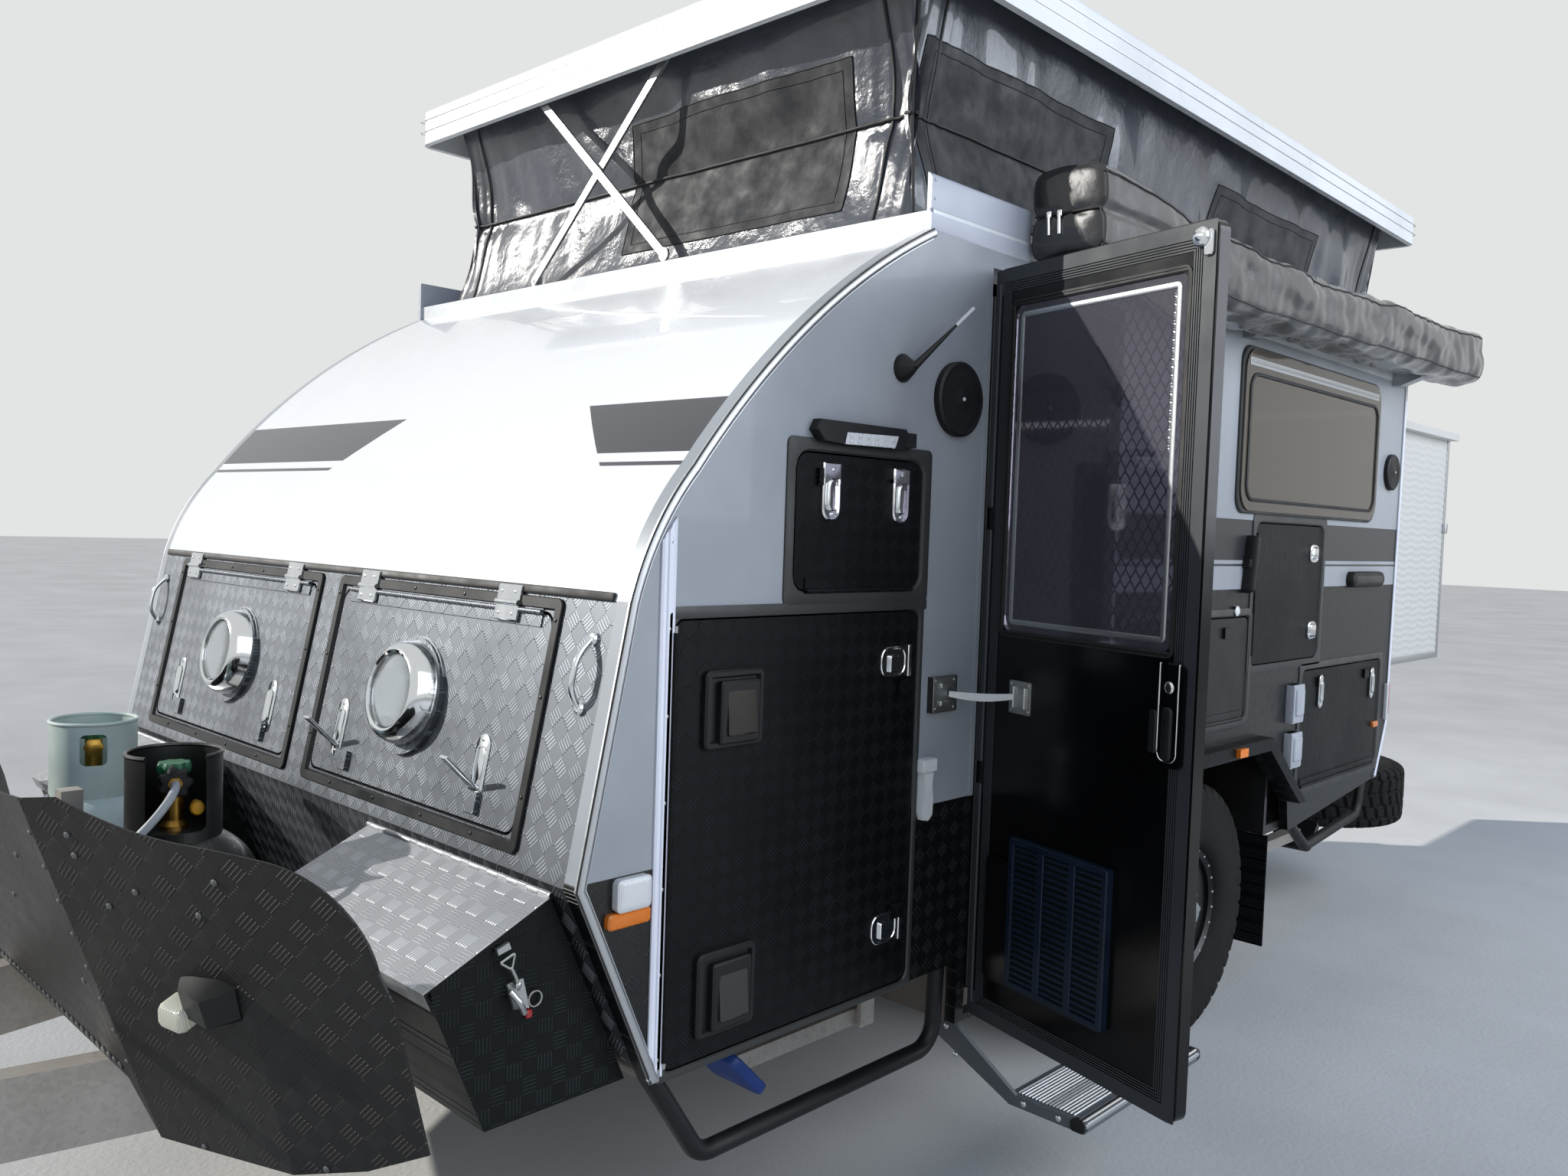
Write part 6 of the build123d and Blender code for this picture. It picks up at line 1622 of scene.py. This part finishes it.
class CARAVAN_OT_tow_end(bpy.types.Operator):
    """Add the stone guard's bolts and lamps, the toolbox catches, and the gas bottles' valves and collars"""
    bl_idname = "caravan.tow_end"
    bl_label = "Tow end"

    def execute(self, context):
        bolts = []
        for side in (1, -1):
            for x, z in (
                (0.654, up(952)), (0.594, up(919)), (0.758, up(928)), (0.802, up(989)), (0.565, up(1037)),
                (0.564, up(1002)), (0.416, up(743)), (0.607, up(477)), (0.865, up(507)), (0.30, up(950)),
                (0.12, up(830)), (0.12, up(990)),):
                bolts += screws(guard_face(x, z, side), [(0, 0)], 0.006, 0.001, 8)
        piece("guard_bolts", bolts, "dark_zinc")
        for side, name in SIDES:
            face = guard_face(0.735, 0.362, side)
            wedge = []
            for a, depth in ((-0.055, 0.004), (-0.035, 0.028), (0.025, 0.046), (0.057, 0.004)):
                wedge.append([
                    (side * a, 0.019 + depth * 0.2, -0.001), (side * a, 0.017, depth),
                    (side * a, -0.034, depth * 0.9), (side * a, -0.041, -0.001)])
            points = placed(face, wedge)
            piece(name + "_guard_lamp_bracket", [sheet_of(points, wrap_columns=True, cap_ends=True)], "black")
            lamp = guard_face(0.681, up(757), side)
            parts = [boss(
                lamp, (0, 0), 0.056, 0.046, 0.014, mm((0, 1), (0, 30), (4, 37), (12, 39)), corner=10,
                turn=-side * 0.2)]
            piece(name + "_guard_lamp", parts, "cream_lens")
            edge = []
            for x in np.linspace(0.015, 0.425, 15):
                edge += screws(guard_face(x, 0.150, side), [(0, 0)], 0.008, 0.002, 8)
            for z in np.linspace(0.18, 0.60, 8):
                edge += screws(guard_face(0.486, z, side), [(0, 0)], 0.005, 0.001, 8)
            piece(name + "_guard_rivets", edge, "dark_zinc")

        for side, name in SIDES:
            face = face_frame((side * TOOLBOX_HALF, 0, 0), (0, side, 0), (0, 0, 1))
            base = [
                (side * y, z) for y, z in ((1.681, 0.368), (1.713, 0.371), (1.727, 0.317), (1.696, 0.322))]
            parts = [plate(face, base, -0.001, 0.006, 0.001)]
            parts.append(rod(
                placed(
                    face,
                    [(side * 1.685, 0.357, 0.010), (side * 1.697, 0.338, 0.022), (side * 1.709, 0.317, 0.016)]
                ),
                0.0055, 0.01, 10))
            bail = np.array([
                (side * 1.662, 0.411, 0.014), (side * 1.690, 0.422, 0.014), (side * 1.684, 0.395, 0.014)])
            parts.append(rod(placed(face, np.concatenate([bail, bail[:1]])), 0.0022, 0.006, 8))
            parts.append(rod(
                placed(
                    face,
                    [(side * 1.684, 0.397, 0.014), (side * 1.694, 0.376, 0.016), (side * 1.700, 0.357, 0.012)]
                ),
                0.0030, 0.01, 8))
            parts.append(lathe(face, (side * 1.697, 0.366), mm((6, 4), (6, 16), (3, 18)), 12))
            turn = np.linspace(0, FULL, 28, endpoint=False)
            loop = joined(side * (1.737 + 0.013 * np.cos(turn)), 0.331 + 0.013 * np.sin(turn), 0.006)
            parts.append(swept(placed(face, loop), ring_section(0.0016, 6), closed=True, reference=face[3]))
            piece(name + "_toolbox_catch", parts, "zinc")
            clip = [boss(
                face, (side * 1.7245, 0.3085), 0.012, 0.014, 0.003, mm((0, 1), (0, 8), (2, 10)), corner=4)]
            piece(name + "_toolbox_catch_clip", clip, "red")
            hook = [
                (side * y, z) for y, z in ((1.657, 0.433), (1.680, 0.441), (1.685, 0.429), (1.660, 0.423))]
            keeper = [plate(face, hook, 0.003, 0.012, 0.001)]
            piece(name + "_toolbox_keeper", keeper, "zinc", name + "_toolbox_lid")

        parts, brass, wheels = [], [], []
        out = np.array((math.cos(VALVE_TURN), math.sin(VALVE_TURN), 0))
        across = (-out[1], out[0], 0)
        turn = np.linspace(0, FULL, 60, endpoint=False)

        def lobed(face, radius, lobe, count, levels):
            rim = radius + lobe * np.cos(turn * count)
            rings = [joined(rim * s * np.cos(turn), rim * s * np.sin(turn), h) for s, h in levels]
            return sheet_of(placed(face, rings), wrap_columns=True, cap_ends=True)

        for side in (-1, 1):
            axis = np.array((side * BOTTLE_X, BOTTLE_Y, 0))
            top = face_frame(axis + (0, 0, up(1049)), (1, 0, 0), (0, 1, 0))
            wheels.append(lobed(
                top, 0.030, 0.0028, 8, ((0.92, 0.0), (1, 0.004), (1, 0.014), (0.9, 0.020), (0.4, 0.0205))))
            outlet = face_frame(axis + out * 0.046 + (0, 0, OUTLET_HEIGHT), across, (0, 0, 1))
            brass.append(lathe(
                face_frame(axis + (0, 0, up(935)), (1, 0, 0), (0, 1, 0)), (0, 0),
                mm((26, -10), (26, 12), (17.5, 22), (17.5, 114), (12, 115)), 16))
            if side > 0:
                parts.append(lobed(
                    outlet, 0.029, 0.0035, 7,
                    ((0.9, -0.024), (1, -0.020), (1, -0.006), (0.85, -0.002), (0.3, -0.001))))
                brass.append(lathe(outlet, (0, 0), mm((13.4, -4), (13.4, 0.2), (9, 0.2)), 6))
            else:
                brass.append(lathe(
                    outlet, (0, 0), mm((16, -30), (16, -8), (20, -6), (20, 4), (12, 7), (5, 8)), 6))
            gap = math.radians(38) if side > 0 else 0
            ring = np.linspace(VALVE_TURN + gap, VALVE_TURN + FULL - gap, 80, endpoint=side > 0)
            rim = axis + 0.0845 * np.stack([np.cos(ring), np.sin(ring), 0 * ring], -1) + (0, 0, up(1088))
            piece(
                ("off", "kerb")[side > 0] + "_bottle_collar_lip",
                [swept(rim, ring_section(0.0042, 10), closed=side < 0)], "bottles")
        cap = face_frame(
            np.array((BOTTLE_X, BOTTLE_Y, up(985))) + out * 0.03 + np.array(across) * 0.038, across, (0, 0, 1)
        )
        piece(
            "bottle_relief_cap",
            [lathe(cap, (0, 0), mm((8, -30), (8, 0), (13, 2), (13, 20), (10, 24), (4, 25)), 16)], "yellow")
        piece("bottle_valve_nuts", parts, "plastic")
        piece("bottle_valves", brass, "brass")
        piece("bottle_handwheels", wheels, "green")
        face = face_frame((0, aft(-470) - 0.060, up(870)), (1, 0, 0), (0, 0, 1))
        disc = [lathe(face, (0, 0), mm((34, -1), (34, 3), (30, 6), (12, 8), (12, 20), (9, 23), (3, 24)), 32)]
        piece(
            "gas_regulator_cover",
            disc + screws(
                face, [(0.024 * math.cos(a), 0.024 * math.sin(a)) for a in np.arange(4) * 1.57], 0.0032,
                0.0065),
            "zinc")
        return {"FINISHED"}


STEADY_TIPS = (
    # steady, x, aft place of its pad, which way its leg points
    ("kerb_front_steady", 0.800, aft(630), -1), ("off_front_steady", -0.800, aft(630), -1),
    ("kerb_rear_steady", 0.800, aft(3860), 1), ("off_rear_steady", -0.800, aft(3860), 1),
)


class CARAVAN_OT_underbody(bpy.types.Operator):
    """Add the steadies' pads and the step's ribbed tread, nose, bolts and end caps"""
    bl_idname = "caravan.underbody"
    bl_label = "Steadies and step"

    def execute(self, context):
        for name, x, y, heading in STEADY_TIPS:
            normal = np.array((0, heading, -1)) / math.sqrt(2)
            u = np.array((1.0, 0, 0))
            face = face_frame((x, y, up(375)), u, np.cross(normal, u))
            rings = mm((4, -6), (0, -2), (0, 12), (4, 19), (12, 21))
            pad = boss(face, (0, 0), 0.164, 0.144, 0.022, rings, corner=7)
            piece(name + "_pad_cover", [pad], "pad" if heading < 0 else "plastic", name)

        def ribs(u, v):
            return 0.0006 + 0.0024 * np.clip(1.6 * np.cos(FULL * (u - 1.2255) / 0.0089) + 0.2, 0, 1) + 0 * v

        low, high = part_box("entry_step")
        tread = face_frame((0, 0, STEP_TOP), (1, 0, 0), (0, 1, 0))
        plate_part = relief(tread, (1.221, low.y + 0.016), (1.372, high.y - 0.016), (220, 6), ribs, -0.001)
        piece("step_tread", [plate_part], "anodised", "entry_step", sharp=25)
        nose = [(1.394, low.y + 0.004, up(280)), (1.394, high.y - 0.004, up(280))]
        parts, caps = [rod(nose, 0.0128, sides=20)], []
        for y in (low.y, high.y):
            outward = face_frame((0, y, 0), (1 if y < 3.2 else -1, 0, 0), (0, 0, 1))
            sign = 1 if y < 3.2 else -1
            for x, z in ((1.25, up(278)), (1.34, up(278)), (1.06, up(330)), (1.03, up(390))):
                parts += screws(outward, [(sign * x, z)], 0.007, 0.0)
            caps.append(boss(
                outward, (sign * 1.388, up(278)), 0.036, 0.027, 0.008, mm((0, -12), (0, 2), (2, 3)), corner=4
            ))
        piece("step_nose_and_bolts", parts, "chrome", "entry_step")
        piece("step_end_caps", caps, "plastic", "entry_step")
        return {"FINISHED"}


class CARAVAN_OT_windows_and_roof(bpy.types.Operator):
    """Add window surrounds, the roof's edge profile and the front corner extrusions"""
    bl_idname = "caravan.windows_and_roof"
    bl_label = "Windows and roof"

    def execute(self, context):
        parts, seals = [], []
        y0, y1, z0, z1 = aft(2525), aft(3725), WINDOW_LOW, WINDOW_TOP
        middle, size = ((y0 + y1) / 2, (z0 + z1) / 2), (y1 - y0, z1 - z0)
        surround = mm((-24, -1), (-24, 6), (-20, 10), (6, 10), (10, 4), (12, -1))
        parts.append(boss(KERB, middle, *size, 0.030, surround, loop=True, corner=10))
        seals.append(boss(
            KERB, (middle[0], middle[1] - 0.022), size[0] - 0.028, size[1] - 0.072, 0.055,
            mm((0, 12), (0, 19.5), (3, 21.5), (9, 21.5), (11, 19), (11, 12)), loop=True, corner=12))
        piece("main_window_surround", parts, "charcoal")
        piece("main_window_seal", seals, "seal")
        rail = [boss(
            KERB, (middle[0], z1 - 0.026), size[0] - 0.02, 0.028, 0.003, mm((0, 4), (0, 15), (2, 17)))]
        rail.append(boss(
            KERB, (middle[0], z1 - 0.0265), size[0] - 0.03, 0.006, 0.002, mm((0, 14), (0, 18.5), (1, 19.2))))
        piece("main_window_rail", rail, "anodised")
        o0, o1, q0, q1 = -aft(2150), -aft(1250), up(1600), up(2060)
        off_middle = ((o0 + o1) / 2, (q0 + q1) / 2)
        piece(
            "galley_window_surround",
            [boss(OFF, off_middle, o1 - o0, q1 - q0, 0.030, surround, loop=True, corner=10)], "charcoal")

        edge = []
        for z, height in ((up(2822), 0.0030), (up(2858), 0.0030)):
            outline = rounded(2 * 1.0552, aft(4115) - aft(885) + 0.0004, 0.012, 4)
            path = np.column_stack([
                outline[:, 0], outline[:, 1] + (aft(885) + aft(4115)) / 2, np.full(len(outline), z)])
            edge.append(swept(path, rounded(0.003, height, 0.0008, 2), closed=True))
        piece("roof_edge_beads", edge, "anodised", "pop_top_roof")

        for side, name in SIDES:
            profile = mm(
                (0, -20), (12, -18), (14, -14), (14, 18), (11, 20), (8, 22), (8, 26), (11, 28), (12, 32),
                (12, 94), (5, 104), (0, 106))
            rows = []
            for y in (aft(900), aft(1290)):
                rows.append([(side * (HALF - 0.012 + d), y, up(2228) + h) for d, h in profile])
            rows = np.array(rows)
            part = sheet_of(rows, wrap_columns=True, cap_ends=True)
            face = face_frame((side * HALF, 0, 0), (0, side, 0), (0, 0, 1))
            pins = screws(face, [(side * aft(912), up(2228) + h) for h in (0.006, 0.050, 0.090)], 0.0035, 0.0)
            # The corner extrusion's grey is painted shade on white enamel.
            piece(name + "_front_corner_extrusion", [part, *pins], "grey_trim")
        return {"FINISHED"}


class CARAVAN_OT_rear(bpy.types.Operator):
    """Add the slide-out's rippled cladding, corner trims and catches, and the mattress"""
    bl_idname = "caravan.rear"
    bl_label = "Slide-out and bed"

    def execute(self, context):
        low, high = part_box("slide_out")

        def ripple(u, v):
            wave = np.cos(FULL * v / 0.030 + 0.9 * np.sin(FULL * u / 0.17) + 0.5 * np.sin(FULL * u / 0.061))
            return 0.0012 + 0.0010 * wave

        for side, name in SIDES:
            face = face_frame((side * SLIDE_HALF, 0, 0), (0, side, 0), (0, 0, 1))
            ends = sorted((side * (SLIDE_START + 0.002), side * (high.y - 0.028)))
            clad = relief(
                face, (ends[0], SLIDE_LOW + 0.030), (ends[1], SLIDE_TOP - 0.004), (150, 210), ripple, -0.001)
            piece(name + "_slide_out_cladding", [clad], "slide", "slide_out", sharp=60)
        back = face_frame((0, high.y, 0), (-1, 0, 0), (0, 0, 1))
        trims = []
        for x in (-0.941, 0.941):
            trims.append(boss(
                back, (x, (SLIDE_LOW + SLIDE_TOP) / 2), 0.022, SLIDE_TOP - SLIDE_LOW - 0.01, 0.006,
                mm((0, -2), (0, 0), (2, 0.5))))
        for side in (1, -1):
            face = face_frame((side * SLIDE_HALF, 0, 0), (0, side, 0), (0, 0, 1))
            y = side * (high.y - 0.014)
            trims.append(boss(
                face, (y, (SLIDE_LOW + SLIDE_TOP) / 2), 0.028, SLIDE_TOP - SLIDE_LOW, 0.004,
                mm((0, -1), (0, 4), (2, 5))))
            trims.append(boss(
                face, (side * (SLIDE_START + high.y - 0.03) / 2, SLIDE_LOW + 0.015),
                high.y - SLIDE_START - 0.03, 0.030, 0.004, mm((0, -1), (0, 4), (2, 5))))
            trims.append(boss(
                face, (side * (high.y - 0.018), up(1660)), 0.030, 0.046, 0.006, mm((0, 3), (0, 14), (3, 18))))
        piece("slide_out_trims", trims, "anodised", "slide_out")

        low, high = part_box("bed_mattress")
        pad_points = mattress_shell(low, high)
        made = piece(
            "mattress", [sheet_of(pad_points, wrap_columns=True, cap_ends=True)], "ticking", "slide_out",
            sharp=60, stands_for=("bed_mattress",))
        return {"FINISHED"}


def mattress_shell(low, high, rings=46, around=220):
    """A foam mattress: a rounded box whose sides bulge between its edges, quilted by shallow sine dimples."""
    low, high = np.array(low), np.array(high)
    centre, size = (low + high) / 2, high - low
    t = np.linspace(0, 1, rings)
    levels = np.clip((t - 0.3) / 0.4, 0, 1)
    shares = np.clip((0.3 - t) / 0.3, 0, 1) + np.clip((t - 0.7) / 0.3, 0, 1)
    outline = even_outline(size[0], size[1], 0.05, 10, around)
    rows = []
    for level, share in zip(levels, shares):
        side = math.sin(math.pi * level)
        inset = 0.006 * (1 - side) if share == 0 else 0.006 + share * 0.985 * min(size[0], size[1]) / 2
        scale = np.maximum(0.015, 1 - 2 * inset / np.array([size[0], size[1]]))
        xy = outline * scale
        quilt = 0.0040 * (
            np.cos(FULL * xy[:, 0] / 0.18) * np.cos(FULL * xy[:, 1] / 0.18) - 1) * min(1, share * 8)
        z = (level - 0.5) * size[2] + np.where(level > 0.5, 1, -1) * quilt
        rows.append(np.column_stack([xy[:, 0] + centre[0], xy[:, 1] + centre[1], z + centre[2]]))
    return np.array(rows)


def stage_finish(name, colour, grain_mm, roughness, depth_mm):
    """Pale rolled gravel: small stones over a broad, faint tone."""
    material, tree, shader, where = new_finish(name, colour, roughness)
    fine, broad = put(
        tree, "TexNoise", clouds(where, grain_mm, 3)), put(tree, "TexNoise", clouds(where, 900, 4))
    tinted(tree, shader, put(tree, "MapRange", (broad, *CLOUDY, 0, 1)), colour, "#b9b8b4")
    raised(tree, shader, fine, depth_mm, 0.5)
    return material


FLOOR_REACH = 60.0
SUN_FROM, SUN_STRENGTH, SUN_WIDTH = (-0.677, -0.610, 0.412), 4.9, math.radians(0.6)
SUN_COLOUR, SKY_COLOUR = (1.0, 0.97, 0.92), (0.84, 0.90, 1.0)
FILL_LIGHTS = (
    # name, watts, size, place, aim
    ("open_sky", 205, 7.0, (7.5, 0.5, 5.0), (0.5, 3.4, 0.6)),
    ("aft_sky", 400, 5.0, (6.5, 6.5, 3.5), (1.0, 5.0, 1.2)),
)
CAMERA_PLACE = (2.690, 0.5616, 1.1308)
CAMERA_TURNS = (43.6627, 2.8497, 1.9351)  # azimuth, elevation and roll in degrees
CAMERA_LENS = 27.985  # millimetres, on a 36 mm sensor


def facing(direction):
    """The turn that points a lamp's back along a direction."""
    return Vector(direction).to_track_quat("Z", "Y").to_euler()


class CARAVAN_OT_stage(bpy.types.Operator):
    """Add the floor, the sky light, the sun and the camera"""
    bl_idname = "caravan.stage"
    bl_label = "Stage"

    def execute(self, context):
        scene = context.scene
        ground = up(0)
        mesh = bpy.data.meshes.new("floor")
        corners = ((-1, -1), (1, -1), (1, 1), (-1, 1))
        mesh.from_pydata([(x * FLOOR_REACH, y * FLOOR_REACH, ground) for x, y in corners], [], [(0, 1, 2, 3)])
        floor = bpy.data.objects.new("floor", mesh)
        scene.collection.objects.link(floor)
        mesh.materials.append(stage_finish("Pale fine gravel, rolled", "#c9c8c4", 14, 0.85, 3.0))

        world = bpy.data.worlds.new("Open shade and sun")
        scene.world = world
        world.use_nodes = True
        tree = world.node_tree
        sky = tree.nodes["Background"]
        where = put(tree, "TexCoord").outputs["Generated"]
        height = put(tree, "SeparateXYZ", (where,)).outputs[2]
        climb = put(tree, "MapRange", (height, -0.05, 0.7))
        tone = put(
            tree, "Mix", {"Factor": climb, 6: linear("#cfd6de"), 7: linear("#6f93c4")}, data_type="RGBA")
        sky.inputs["Strength"].default_value = 0.55
        tree.links.new(tone.outputs[2], sky.inputs["Color"])
        seen = put(tree, "Background", {"Color": linear("#e3e4e4"), "Strength": 1.0})
        path = put(tree, "LightPath")
        shiny = put(
            tree, "Math", (path.outputs["Is Glossy Ray"], path.outputs["Is Transmission Ray"]),
            operation="MAXIMUM")
        direct = put(tree, "Math", (path.outputs["Is Camera Ray"], shiny), operation="MAXIMUM")
        both = put(tree, "MixShader", (direct, sky, seen))
        tree.links.new(both.outputs[0], tree.nodes["World Output"].inputs["Surface"])

        sun = bpy.data.lights.new("sun", "SUN")
        sun.energy = SUN_STRENGTH
        sun.angle = SUN_WIDTH
        sun.color = SUN_COLOUR
        light = bpy.data.objects.new("sun", sun)
        light.rotation_euler = facing(SUN_FROM)
        light.location = (-8, -8, 6)
        scene.collection.objects.link(light)
        for name, energy, size, at, aim in FILL_LIGHTS:
            fill = bpy.data.lights.new(name, "AREA")
            fill.energy = energy
            fill.size = size
            fill.color = SKY_COLOUR
            lamp = bpy.data.objects.new(name, fill)
            lamp.location = at
            lamp.rotation_euler = facing(Vector(at) - Vector(aim))
            scene.collection.objects.link(lamp)

        lens_data = bpy.data.cameras.new("camera")
        lens_data.sensor_width = 36.0
        lens_data.lens = CAMERA_LENS
        lens_data.clip_end = 300
        camera = bpy.data.objects.new("camera", lens_data)
        scene.collection.objects.link(camera)
        az, el, roll = (math.radians(a) for a in CAMERA_TURNS)
        back = Vector((math.sin(az) * math.cos(el), -math.cos(az) * math.cos(el), math.sin(el)))
        right = (-back).cross(Vector((0, 0, 1))).normalized()
        rise = right.cross(-back)
        turned_right = right * math.cos(roll) + rise * math.sin(roll)
        turned_rise = rise * math.cos(roll) - right * math.sin(roll)
        matrix = Matrix((turned_right, turned_rise, back)).transposed().to_4x4()
        matrix.translation = Vector(CAMERA_PLACE)
        camera.matrix_world = matrix
        scene.camera = camera
        scene.view_settings.view_transform = "Standard"
        return {"FINISHED"}


OPERATORS = (
    CARAVAN_OT_nodes, CARAVAN_OT_gas_hose, CARAVAN_OT_wheels, CARAVAN_OT_door, CARAVAN_OT_front,
    CARAVAN_OT_kerb_side, CARAVAN_OT_canvas, CARAVAN_OT_awning, CARAVAN_OT_tow_end, CARAVAN_OT_underbody,
    CARAVAN_OT_windows_and_roof, CARAVAN_OT_rear, CARAVAN_OT_stage,)


class CARAVAN_PT_panel(bpy.types.Panel):
    """The caravan's pieces, colours and sizes"""
    bl_idname = "CARAVAN_PT_panel"
    bl_label = "Touring caravan"
    bl_space_type = "VIEW_3D"
    bl_region_type = "UI"
    bl_category = "Caravan"

    def draw(self, context):
        column = self.layout.column()
        for group in (context.scene.caravan_colours, context.scene.caravan_sizes):
            for name in group.__annotations__:
                column.prop(group, name)
        for operator in OPERATORS:
            column.operator(operator.bl_idname)


def register():
    for kind in (CaravanColours, CaravanSizes, *OPERATORS, CARAVAN_PT_panel):
        bpy.utils.register_class(kind)
    bpy.types.Scene.caravan_colours = bpy.props.PointerProperty(type=CaravanColours)
    bpy.types.Scene.caravan_sizes = bpy.props.PointerProperty(type=CaravanSizes)


def unregister():
    del bpy.types.Scene.caravan_colours
    del bpy.types.Scene.caravan_sizes
    for kind in (CARAVAN_PT_panel, *OPERATORS, CaravanSizes, CaravanColours):
        bpy.utils.unregister_class(kind)


def main():
    """Register the add-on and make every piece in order."""
    register()
    for operator in OPERATORS:
        group, name = operator.bl_idname.split(".")
        getattr(getattr(bpy.ops, group), name)()


if __name__ == "__main__":
    main()
